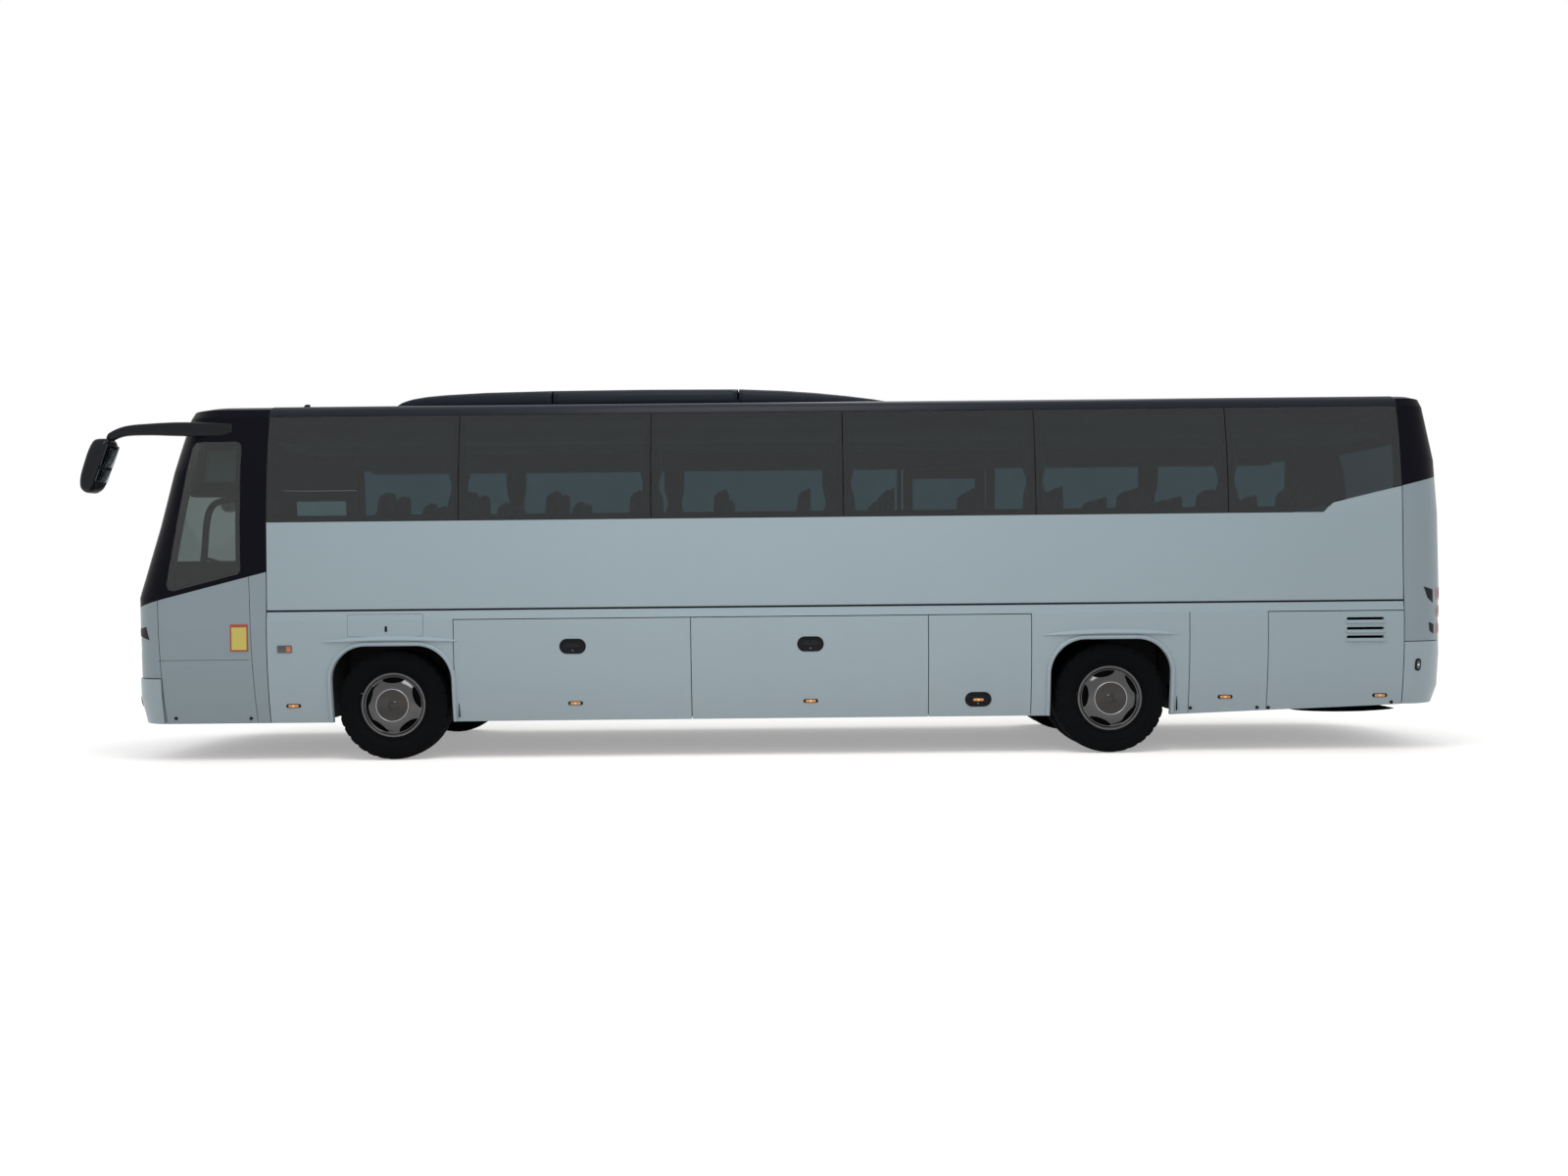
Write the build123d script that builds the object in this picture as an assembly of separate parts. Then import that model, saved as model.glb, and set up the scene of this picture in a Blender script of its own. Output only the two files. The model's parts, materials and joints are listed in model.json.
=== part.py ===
from build123d import *

import os
from math import asin, cos, hypot, radians, sin, sqrt

# Coach bus, left-hand drive, two axles, passenger doors on the right.
# Millimetres. +X runs to the rear, +Y to the right-hand side, +Z up from the ground.
# The origin is on the ground, midway between the mirror tips and the tail.

# ---------------------------------------------------------------- driving dimensions
WHEELBASE = 6790
FRONT_OVERHANG = 2620          # front axle to the nose on the centreline
REAR_OVERHANG = 3380           # rear axle to the tail on the centreline
MIRROR_REACH = 160             # mirror tips ahead of the nose
BODY_WIDTH = 2550
UPPER_STEP = 12                # upper side wall in from the lower flaps
SHUT_GAP = 8                   # open joint between two panels
REST_GAP = 0.3                 # clearance between pieces that rest on each other

# heights above the ground
Z_SKIRT = 360                  # lower edge of the body sides
Z_BUMPER = 790                 # top of the front bumper
Z_KNEE = 1250                  # side starts to tuck under below this
Z_FLAP_TOP = 1332              # top edge of the side flaps
Z_SILL = 1424                  # saloon floor and lower edge of the upper wall
Z_BELT = 2259                  # lower edge of the side glass
Z_GLASS_TOP = 3270             # upper edge of the side glass

TUCK_RADIUS = 4660             # side curve below the knee
TUMBLE_RADIUS = 5265           # side curve of the glass band
CANT_RADIUS = 135              # roof edge
CAMBER = 5.5                   # slope of the roof where it meets its edge, degrees

# wall thicknesses
T_WALL = 50
T_FLAP = 40
T_GLASS = 8
T_SHEET = 12

# joints across the body, behind the front axle
MASK_JOINT = -1164             # front mask to side wall
TAIL_JOINT = 9550              # side wall to tail
WINDOW_PITCH = 1815
PILLAR = 110                   # pillar behind each joint of the side glass

# wheels
TYRE_RADIUS = 522
TYRE_WIDTH = 298
RIM_RADIUS = 288
TRACK_HALF = 1076              # centre plane of the outer tyres
TWIN_PITCH = 332               # outer to inner twin tyre
KINGPIN_HALF = 930
ARCH_HALF = 570
ARCH_TOP = 1086
ARCH_CORNER = 330
HUB_BORE = 55
SPINDLE_CLEAR = 0.3

HALF = BODY_WIDTH / 2
UPPER_HALF = HALF - UPPER_STEP
X_FRONT = -(WHEELBASE + REAR_OVERHANG - FRONT_OVERHANG - MIRROR_REACH) / 2
X_REAR = X_FRONT + WHEELBASE
X_NOSE = X_FRONT - FRONT_OVERHANG
X_TAIL = X_REAR + REAR_OVERHANG
X_MASK = X_FRONT + MASK_JOINT
X_TAIL_JOINT = X_FRONT + TAIL_JOINT
FAR = 3 * BODY_WIDTH           # past every part of the body

GLASS_TOP_HALF = UPPER_HALF - (
    TUMBLE_RADIUS - sqrt(TUMBLE_RADIUS**2 - (Z_GLASS_TOP - Z_BELT) ** 2)
)
LEAN = asin((Z_GLASS_TOP - Z_BELT) / TUMBLE_RADIUS)
CANT_Y = GLASS_TOP_HALF - CANT_RADIUS * cos(LEAN)
CANT_Z = Z_GLASS_TOP - CANT_RADIUS * sin(LEAN)
SHOULDER_HALF = CANT_Y + CANT_RADIUS * sin(radians(CAMBER))
Z_SHOULDER = CANT_Z + CANT_RADIUS * cos(radians(CAMBER))
CROWN_RADIUS = SHOULDER_HALF / sin(radians(CAMBER))
Z_CROWN = Z_SHOULDER + CROWN_RADIUS * (1 - cos(radians(CAMBER)))

LEFT, RIGHT = -1, 1


def write(name, *solids):
    """Write the solids of one node to parts/NAME.step."""
    shape = solids[0] if len(solids) == 1 else Compound(children=list(solids))
    os.makedirs("parts", exist_ok=True)
    export_step(shape, f"parts/{name}.step")


def block(x0, x1, y0, y1, z0, z1):
    """A box between two corners."""
    centre = Pos((x0 + x1) / 2, (y0 + y1) / 2, (z0 + z1) / 2)
    return centre * Box(abs(x1 - x0), abs(y1 - y0), abs(z1 - z0))


def on_side(side, x0, x1, y0, y1, z0, z1):
    """A box given for the right-hand side, on either side."""
    return block(x0, x1, side * y0, side * y1, z0, z1)


def cylinder_along(axis, centre, radius, length):
    """A cylinder centred on a point, along x, y or z."""
    turn = {"x": Rot(0, 90, 0), "y": Rot(90, 0, 0), "z": Rot(0, 0, 0)}[axis]
    return Pos(*centre) * turn * Cylinder(radius, length)


# ---------------------------------------------------------------- body form
def half_width(z):
    """Half the width of the body at a height."""
    if z < Z_KNEE:
        return HALF - (TUCK_RADIUS - sqrt(TUCK_RADIUS**2 - (Z_KNEE - z) ** 2))
    if z <= Z_FLAP_TOP:
        return HALF
    if z < Z_SILL:
        return HALF - UPPER_STEP * (z - Z_FLAP_TOP) / (Z_SILL - Z_FLAP_TOP)
    if z <= Z_BELT:
        return UPPER_HALF
    if z <= Z_GLASS_TOP:
        return UPPER_HALF - (TUMBLE_RADIUS - sqrt(TUMBLE_RADIUS**2 - (z - Z_BELT) ** 2))
    if z <= Z_SHOULDER:
        return CANT_Y + sqrt(CANT_RADIUS**2 - (z - CANT_Z) ** 2)
    return sqrt(CROWN_RADIUS**2 - (z - Z_CROWN + CROWN_RADIUS) ** 2)


def section_face(inset, low=Z_SKIRT):
    """Cross-section of the body, in from the skin by inset, from the height low up."""
    foot = (half_width(low) - inset, low)
    knee = (HALF - inset, Z_KNEE)
    flap_top = (HALF - inset, Z_FLAP_TOP)
    sill = (UPPER_HALF - inset, Z_SILL)
    belt = (UPPER_HALF - inset, Z_BELT)
    glass_top = (GLASS_TOP_HALF - inset * cos(LEAN), Z_GLASS_TOP - inset * sin(LEAN))
    shoulder = (SHOULDER_HALF - inset * 0.2, Z_SHOULDER - inset)
    tuck = ThreePointArc(foot, (half_width((low + Z_KNEE) / 2) - inset, (low + Z_KNEE) / 2), knee)
    glass = TangentArc(belt, glass_top, tangent=(0, 1))
    cant = TangentArc(glass_top, shoulder, tangent=glass % 1)
    half = [tuck, Line(knee, flap_top), Line(flap_top, sill), Line(sill, belt), glass, cant]
    crown = ThreePointArc(shoulder, (0, Z_CROWN - inset), (-shoulder[0], shoulder[1]))
    other = [mirror(edge, Plane.YZ) for edge in half]
    base = Line((-foot[0], low), foot)
    return make_face([*half, crown, *other, base])


def wall_piece(x0, x1, z0, z1, outer, inner, side):
    """A length of body side between two insets and two heights."""
    ring = section_face(outer) - section_face(inner)
    middle, rise = (z0 + z1) / 2, z1 - z0
    window = Pos(side * FAR / 2, middle) * Rectangle(FAR, rise)
    strip = ring & window
    plane = Plane(origin=(x0, 0, 0), x_dir=(0, 1, 0), z_dir=(1, 0, 0))
    return extrude(plane * strip, amount=x1 - x0)


def plan_section(z, height, x_end, x_joint, inset, corner, bow):
    """Plan outline of the nose or the tail: bowed end, rounded corners, straight sides."""
    way = 1 if x_joint > x_end else -1
    half = half_width(height) - inset
    inner = bow - corner
    x_centre = x_end + way * (bow - sqrt(inner**2 - (half - corner) ** 2))
    y_centre = half - corner
    turn = asin(y_centre / inner)
    tangent = (x_centre - way * corner * cos(turn), y_centre + corner * sin(turn))
    middle_angle = (radians(90) + turn) / 2
    middle = (x_centre - way * corner * cos(middle_angle), y_centre + corner * sin(middle_angle))
    start = (x_centre, half)

    def flip(point):
        return (point[0], -point[1])

    edges = [
        ThreePointArc(flip(tangent), (x_end, 0), tangent),
        ThreePointArc(tangent, middle, start),
        Line(start, (x_joint, half)),
        Line((x_joint, half), (x_joint, -half)),
        Line((x_joint, -half), flip(start)),
        ThreePointArc(flip(start), flip(middle), flip(tangent)),
    ]
    return Pos(0, 0, z) * make_face(edges)


# height, setback of the end on the centreline, radius of its corners
NOSE_ROWS = [
    (340, 60, 420), (600, 10, 420), (900, 12, 420), (1250, 8, 420), (1560, 0, 420),
    (1700, 45, 420), (2259, 212, 420), (2765, 336, 420), (3270, 478, 420), (3345, 508, 420),
    (3385, 580, 420), (3420, 860, 195),
]
NOSE_BOW = 4200
TAIL_ROWS = [
    (340, 128, 380), (600, 18, 500), (900, 8, 500), (1250, 14, 500), (1560, 0, 500),
    (2259, 10, 490), (2765, 40, 470), (3270, 158, 300), (3345, 186, 270), (3385, 226, 240),
    (3420, 340, 190),
]
TAIL_BOW = 4000


def end_form(rows, x_end, x_joint, inset, bow):
    """Solid form of the nose or the tail, in from the skin by inset and then open at the joint."""
    way = 1 if x_joint > x_end else -1
    x_joint += way * max(inset, 0)
    sections = []
    for height, setback, corner in rows:
        z = height - inset if height >= Z_GLASS_TOP else height
        if height == rows[0][0] and inset > T_GLASS + 1:
            z = height - inset
        sections.append(
            plan_section(z, height, x_end + way * (setback + inset), x_joint, inset, corner, bow)
        )
    return loft(sections, ruled=True)


def nose(inset):
    return end_form(NOSE_ROWS, X_NOSE, X_MASK - SHUT_GAP / 2, inset, NOSE_BOW)


def tail(inset):
    return end_form(TAIL_ROWS, X_TAIL, X_TAIL_JOINT + SHUT_GAP / 2, inset, TAIL_BOW)


def slot_prism(plane, width, height, radius, depth):
    """A rounded-rectangle prism, centred on the plane and going both ways."""
    return extrude(plane * RectangleRounded(width, height, radius), amount=depth, both=True)


def side_prism(x0, x1, z0, z1, radius, side, y0=HALF - 300, y1=HALF + 100):
    """A rounded window through one side of the body."""
    plane = Plane(
        origin=((x0 + x1) / 2, side * (y0 + y1) / 2, (z0 + z1) / 2),
        x_dir=(1, 0, 0),
        z_dir=(0, -1, 0),
    )
    return slot_prism(plane, x1 - x0, z1 - z0, radius, (y1 - y0) / 2)


def end_prism(x, y0, y1, z0, z1, radius, depth):
    """A rounded window through the nose or the tail."""
    plane = Plane(origin=(x, (y0 + y1) / 2, (z0 + z1) / 2), x_dir=(0, 1, 0), z_dir=(1, 0, 0))
    return slot_prism(plane, y1 - y0, z1 - z0, radius, depth)


def polygon_prism(points, radius, side, y0=HALF - 320, y1=HALF + 100):
    """A prism through one side of the body from an outline in x and z."""
    outline = make_face(Polyline(*points, close=True).edges())
    if radius:
        outline = fillet(outline.vertices(), radius)
    plane = Plane(origin=(0, side * y0, 0), x_dir=(1, 0, 0), z_dir=(0, -1, 0))
    return extrude(plane * outline, amount=-side * (y1 - y0))


def front_polygon_prism(x, points, radius, depth):
    """A prism through the nose or the tail from an outline in y and z."""
    outline = make_face(Polyline(*points, close=True).edges())
    if radius:
        outline = fillet(outline.vertices(), radius)
    plane = Plane(origin=(x, 0, 0), x_dir=(0, 1, 0), z_dir=(1, 0, 0))
    return extrude(plane * outline, amount=depth, both=True)


def band(z0, z1):
    """Everything between two heights."""
    return block(-FAR, FAR, -FAR, FAR, z0, z1)


def arch(x_axle, grow=0):
    """Outline of a wheel arch, as a prism across the whole body."""
    half, top = ARCH_HALF + grow, ARCH_TOP + grow
    corner = ARCH_CORNER + grow
    outline = [
        Line((-half, 0), (-half, top - corner)),
        ThreePointArc(
            (-half, top - corner),
            (-half + corner * (1 - cos(radians(45))), top - corner * (1 - sin(radians(45)))),
            (-half + corner, top),
        ),
        Line((-half + corner, top), (half - corner, top)),
        ThreePointArc(
            (half - corner, top),
            (half - corner * (1 - cos(radians(45))), top - corner * (1 - sin(radians(45)))),
            (half, top - corner),
        ),
        Line((half, top - corner), (half, 0)),
        Line((half, 0), (-half, 0)),
    ]
    plane = Plane(origin=(x_axle, 0, 0), x_dir=(1, 0, 0), z_dir=(0, -1, 0))
    return extrude(plane * make_face(outline), amount=FAR, both=True)


# ---------------------------------------------------------------- body panels
SOCKET_Z = 560
SOCKET_BORE = 22
SOCKET_RADIUS = 38
SOCKET_LENGTH = 100
SOCKET_HOLE = 42               # hole in the bumper ahead of a socket
FRONT_SOCKET = (X_NOSE + 170, -720, SOCKET_Z)
REAR_SOCKET = (X_TAIL - 170, -500, SOCKET_Z)
DOOR_TOP = 2950
FRONT_DOOR_TOP = 2760
DOOR_LOW = 400
FRONT_DOOR = (X_FRONT - 2010, X_FRONT - 1200)
MIDDLE_DOOR = (X_FRONT + 5090, X_FRONT + 6040)
ARM_WAYS = {FRONT_DOOR: 1, MIDDLE_DOOR: -1}      # way along x from a door's post to its pin
LUGGAGE_JOINTS = [X_FRONT + 594, X_FRONT + 2830, X_FRONT + 5070]
LOCKER_END = X_FRONT + 6040
REAR_ARCH_END = X_FRONT + 7530
ENGINE_PANEL_START = X_FRONT + 8270
FUEL_LEDGE = 18                # ledge round the filler recess that the flap rests on
FUEL_FLAP = (X_FRONT - 400, X_FRONT + 310, 1175, 1382)
WINDOW_JOINTS = [X_FRONT + 650 + WINDOW_PITCH * k for k in range(5)]
WINDOW_MARGIN = 60
REAR_SWEEP_START = X_REAR + 600
REAR_SWEEP_RISE = 80


# outline of the wall panel that rises over the rear end of the glass, x and z
FAIRING = [
    (X_TAIL_JOINT - 744, Z_BELT), (X_TAIL_JOINT - 651, Z_BELT + 90),
    (X_TAIL_JOINT - SHUT_GAP / 2, Z_BELT + 243), (X_TAIL_JOINT - SHUT_GAP / 2, Z_BELT),
]


def fairing_prism(side, grow):
    """The fairing's outline, its sloping edge moved up by grow, as a prism."""
    (x0, z0), (x1, z1), (x2, z2), (x3, z3) = FAIRING
    points = [(x0 - grow, z0 - 1), (x1 - grow, z1 + grow), (x2 + 10, z2 + grow), (x3 + 10, z3 - 1)]
    return polygon_prism(points, 0, side)


def side_walls():
    walls = []
    for side in (LEFT, RIGHT):
        x0, x1 = X_MASK + SHUT_GAP / 2, X_TAIL_JOINT - SHUT_GAP / 2
        wall = wall_piece(x0, x1, Z_SILL, Z_BELT, 0, T_WALL, side)
        wall += wall_piece(x0, x1, Z_BELT, Z_GLASS_TOP, T_GLASS + REST_GAP, T_WALL, side)
        for start, end in pane_spans(side):
            wall -= side_prism(
                start + PILLAR / 2, end - PILLAR / 2, Z_BELT + WINDOW_MARGIN,
                Z_GLASS_TOP - WINDOW_MARGIN, WINDOW_MARGIN, side,
            )
        wall += wall_piece(x0, x1, Z_BELT, Z_GLASS_TOP, 0, T_WALL, side) & fairing_prism(side, 0)
        if side == RIGHT:
            wall -= on_side(
                side, MIDDLE_DOOR[0] - SHUT_GAP, MIDDLE_DOOR[1] + SHUT_GAP, HALF - 300, HALF + 100,
                0, DOOR_TOP + SHUT_GAP,
            )
        walls.append(wall)
    return walls


def pane_spans(side):
    """Start and end of each fixed pane between the mask and the tail."""
    joints = [X_MASK, *WINDOW_JOINTS, X_TAIL_JOINT]
    spans = list(zip(joints[:-1], joints[1:]))
    if side == LEFT:
        return spans
    kept = []
    for start, end in spans:
        if end <= MIDDLE_DOOR[0] or start >= MIDDLE_DOOR[1]:
            kept.append((start, end))
        elif start < MIDDLE_DOOR[0]:
            kept.append((start, MIDDLE_DOOR[0] - SHUT_GAP))
    return kept


def side_windows():
    panes = []
    for side in (LEFT, RIGHT):
        for start, end in pane_spans(side):
            pane = wall_piece(
                start + SHUT_GAP / 2, end - SHUT_GAP / 2, Z_BELT + SHUT_GAP / 2, Z_GLASS_TOP - SHUT_GAP / 2,
                0, T_GLASS, side,
            )
            if side == RIGHT and end > MIDDLE_DOOR[0] - WINDOW_PITCH:
                pane -= on_side(
                    side, MIDDLE_DOOR[0] - SHUT_GAP, MIDDLE_DOOR[1] + SHUT_GAP, HALF - 300,
                    HALF + 100, 0, DOOR_TOP + SHUT_GAP,
                )
            if end == X_TAIL_JOINT:
                pane -= fairing_prism(side, SHUT_GAP)
            panes.append(pane)
    return panes


def roof():
    ring = section_face(0) - section_face(T_WALL)
    cap = ring & (Pos(0, Z_GLASS_TOP + FAR / 2) * Rectangle(FAR, FAR))
    plane = Plane(origin=(X_MASK + SHUT_GAP / 2, 0, 0), x_dir=(0, 1, 0), z_dir=(1, 0, 0))
    shell = extrude(plane * cap, amount=X_TAIL_JOINT - X_MASK - SHUT_GAP)
    for x_hatch in ROOF_HATCHES:
        shell += Pos(x_hatch, 0, Z_CROWN) * Box(HATCH_SIZE, HATCH_SIZE, HATCH_HEIGHT)
    return shell


ROOF_HATCHES = (X_FRONT - 650, X_FRONT + 6700)
HATCH_SIZE = 700
HATCH_HEIGHT = 60

NOSE_SKIN = nose(0)
NOSE_BACK = nose(T_WALL)
NOSE_GLASS_BACK = nose(T_GLASS)
NOSE_REBATE = nose(T_GLASS + REST_GAP)
TAIL_SKIN = tail(0)
TAIL_BACK = tail(T_WALL)
TAIL_GLASS_BACK = tail(T_GLASS)
TAIL_REBATE = tail(T_GLASS + REST_GAP)

SCREEN_LOW, SCREEN_TOP = 1580, 3205
SCREEN_HALF_LOW, SCREEN_HALF_TOP = 1060, 1010
SCREEN_FRAME = 55


def screen_prism(grow):
    """The windscreen's outline seen from ahead, grown all round."""
    low, top = SCREEN_LOW - grow, SCREEN_TOP + grow
    half_low, half_top = SCREEN_HALF_LOW + grow, SCREEN_HALF_TOP + grow
    points = [(-half_low, low), (half_low, low), (half_top, top), (-half_top, top)]
    return front_polygon_prism(X_NOSE + 400, points, 120 + grow, 650)


# outline of the driver's window from the front lower corner round, x behind the axle and z
DRIVER_WINDOW = [(-2120, 1600), (-1410, 1780), (-1410, 3030), (-1880, 3030)]


def driver_prism(grow):
    signs = [(-1, -1), (1, -1), (1, 1), (-1, 1)]
    points = [
        (X_FRONT + x + grow * sx, z + grow * sz)
        for (x, z), (sx, sz) in zip(DRIVER_WINDOW, signs)
    ]
    return polygon_prism(points, 60 + grow, LEFT)


HEADLAMP = [(640, 1010), (1090, 1040), (1130, 1205), (1000, 1215), (640, 1120)]


def headlamp_prism(side, grow):
    centre_y, centre_z = 880, 1110
    points = []
    for y, z in HEADLAMP:
        length = hypot(y - centre_y, z - centre_z)
        factor = 1 + grow / length
        points.append((side * (centre_y + (y - centre_y) * factor), centre_z + (z - centre_z) * factor))
    return front_polygon_prism(X_NOSE + 400, points, 18, 600)


def front_door_prism(grow):
    return on_side(
        RIGHT, FRONT_DOOR[0] - grow, FRONT_DOOR[1] + grow, 800, HALF + 300,
        DOOR_LOW - grow, FRONT_DOOR_TOP + grow,
    )


BUMPER_END = X_NOSE + 445      # rear ends of the front bumper
BUMPER_PROUD = 12
GROOVE = 6
GROOVE_Z = 964
# foot and head of the panel grooves down the left side of the mask, x and z
GROOVES = [((-4984, 380), (-5030, 1746)), ((-5850, 380), (-5899, 1579))]


def grooves():
    """Narrow grooves where the panels of the mask's left side meet."""
    lines = [
        polygon_prism([(x0, z0), (x0 + GROOVE, z0), (x1 + GROOVE, z1), (x1, z1)], 0, LEFT)
        for (x0, z0), (x1, z1) in GROOVES
    ]
    (x_rear, _), (x_front, _) = GROOVES[0][1], GROOVES[1][1]
    lines.append(on_side(
        LEFT, x_front + 2 * GROOVE, x_rear, HALF - 320, HALF + 100, GROOVE_Z, GROOVE_Z + GROOVE
    ))
    return lines


def front_mask():
    mask = NOSE_SKIN & band(Z_BUMPER + SHUT_GAP, Z_CROWN)
    mask += NOSE_SKIN & block(BUMPER_END + SHUT_GAP, X_MASK, -FAR, FAR, Z_SKIRT, Z_BUMPER + 2 * SHUT_GAP)
    mask -= NOSE_BACK
    for line in grooves():
        mask -= line - NOSE_REBATE
    mask -= (screen_prism(4) - NOSE_REBATE)
    mask -= screen_prism(-SCREEN_FRAME)
    mask -= (driver_prism(4) - NOSE_REBATE)
    mask -= driver_prism(-45)
    for side in (LEFT, RIGHT):
        mask -= headlamp_prism(side, REST_GAP * 2)
    mask -= front_door_prism(SHUT_GAP)
    x_pivot, y_pivot = door_pivot(FRONT_DOOR)
    low = ARM_Z[0] - 60
    mask += block(x_pivot - 140, x_pivot, y_pivot - 15, y_pivot + 15, low, low + 30)
    mask += block(x_pivot - 140, x_pivot - 70, y_pivot - 15, HALF - 20, low, low + 30)
    return mask + door_post(FRONT_DOOR)


def front_bumper():
    bumper = nose(-BUMPER_PROUD) & block(-FAR, BUMPER_END, -FAR, FAR, Z_SKIRT, Z_BUMPER)
    bumper -= NOSE_BACK
    bumper -= cylinder_along("x", FRONT_SOCKET, SOCKET_HOLE, 500)
    for row in range(4):
        z = 470 + 70 * row
        bumper -= end_prism(X_NOSE + 300, -620, 620, z, z + 42, 18, 500)
    return bumper - front_door_prism(SHUT_GAP)


def windscreen():
    return (NOSE_SKIN & screen_prism(0)) - NOSE_GLASS_BACK


def driver_glass():
    return (NOSE_SKIN & driver_prism(0)) - NOSE_GLASS_BACK


def headlamps():
    return [(NOSE_SKIN & headlamp_prism(side, 0)) - NOSE_BACK for side in (LEFT, RIGHT)]


TAIL_LAMP_Y = 1060
TAIL_LAMP_WIDTH = 150
TAIL_LAMPS = [1150, 1310, 1480]      # centre heights
TAIL_LAMP_HEIGHT = 125
REAR_SCREEN = (-930, 930, 2330, 3080)
LID = (-900, 900, 1130, 2180)
REAR_BUMPER_TOP = 1030
REAR_LOW = 440


def lid_prism(grow):
    return end_prism(X_TAIL, LID[0] - grow, LID[1] + grow, LID[2] - grow, LID[3] + grow, 60 + grow, 330)


def rear_screen_prism(grow):
    y0, y1, z0, z1 = REAR_SCREEN
    return end_prism(X_TAIL, y0 - grow, y1 + grow, z0 - grow, z1 + grow, 90 + grow, 480)


def tail_lamp_prism(side, z, grow):
    width, height = TAIL_LAMP_WIDTH / 2 + grow, TAIL_LAMP_HEIGHT / 2 + grow
    y = side * TAIL_LAMP_Y
    return end_prism(X_TAIL, y - width, y + width, z - height, z + height, 40 + grow, 420)


def rear_wall():
    wall = (TAIL_SKIN & band(REAR_BUMPER_TOP + SHUT_GAP, Z_CROWN)) - TAIL_BACK
    wall -= (rear_screen_prism(4) - TAIL_REBATE)
    wall -= rear_screen_prism(-SCREEN_FRAME)
    wall -= lid_prism(SHUT_GAP)
    for side in (LEFT, RIGHT):
        for z in TAIL_LAMPS:
            wall -= tail_lamp_prism(side, z, REST_GAP * 2)
    return wall


def rear_window():
    return (TAIL_SKIN & rear_screen_prism(0)) - TAIL_GLASS_BACK


def engine_lid():
    lid = (TAIL_SKIN & lid_prism(0)) - TAIL_BACK
    for row in range(6):
        z = 1300 + 60 * row
        lid -= end_prism(X_TAIL, -650, 650, z, z + 26, 12, 330)
    return lid


def tail_lamps():
    return [
        (TAIL_SKIN & tail_lamp_prism(side, z, 0)) - TAIL_BACK
        for side in (LEFT, RIGHT) for z in TAIL_LAMPS
    ]


def rear_bumper():
    bumper = (TAIL_SKIN & band(REAR_LOW, REAR_BUMPER_TOP)) - TAIL_BACK
    return bumper - cylinder_along("x", REAR_SOCKET, SOCKET_HOLE, 500)


def skirt_sweep():
    """What the lower edge of the sides leaves out where it rises to the tail."""
    points = [
        (REAR_SWEEP_START, Z_SKIRT - 100), (REAR_SWEEP_START, Z_SKIRT),
        (X_TAIL_JOINT + 50, Z_SKIRT + REAR_SWEEP_RISE), (X_TAIL_JOINT + 50, Z_SKIRT - 100),
    ]
    outline = make_face(Polyline(*points, close=True).edges())
    plane = Plane(origin=(0, 0, 0), x_dir=(1, 0, 0), z_dir=(0, -1, 0))
    return extrude(plane * outline, amount=FAR, both=True)


def flap_spans(side):
    """Start and end of each opening panel of one side, by name."""
    middle = MIDDLE_DOOR[0] - SHUT_GAP * 2 if side == RIGHT else LUGGAGE_JOINTS[2]
    spans = {
        "luggage_flap_front": (LUGGAGE_JOINTS[0], LUGGAGE_JOINTS[1]),
        "luggage_flap_rear": (LUGGAGE_JOINTS[1], middle),
        "engine_flap": (ENGINE_PANEL_START, X_TAIL_JOINT),
    }
    if side == LEFT:
        spans["locker_flap"] = (LUGGAGE_JOINTS[2], LOCKER_END)
    return spans


HANDLE = (244, 137)            # width and height of a handle's recess
HANDLE_DEPTH = 12
HANDLE_X = [X_FRONT + 1717, X_FRONT + 3957]
HANDLE_Z = 1065
LOCKER_HANDLE = (X_FRONT + 5540, 523)
LOUVRES = (X_TAIL_JOINT - 542, X_TAIL_JOINT - 191)
LOUVRE_Z = [1052, 1132, 1224]
LOUVRE_HEIGHT = 42


def handle_recess(side, x, z):
    """The oval recess of a flap's handle."""
    width, height = HANDLE
    face = half_width(z - height / 2)
    return side_prism(
        x - width / 2, x + width / 2, z - height / 2, z + height / 2, height / 2 - 1, side,
        y0=face - HANDLE_DEPTH,
    )


def flap(side, x0, x1):
    panel = wall_piece(
        x0 + SHUT_GAP / 2, x1 - SHUT_GAP / 2, Z_SKIRT, Z_FLAP_TOP - SHUT_GAP, 0, T_FLAP, side
    )
    for x, z in [*((x, HANDLE_Z) for x in HANDLE_X), LOCKER_HANDLE]:
        if x0 < x < x1:
            panel -= handle_recess(side, x, z)
    if x1 == X_TAIL_JOINT:
        for z in LOUVRE_Z:
            panel -= side_prism(*LOUVRES, z, z + LOUVRE_HEIGHT, 8, side)
    return panel - skirt_sweep()


LIP_WIDTH = 20
LIP_RISE = 12


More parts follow.
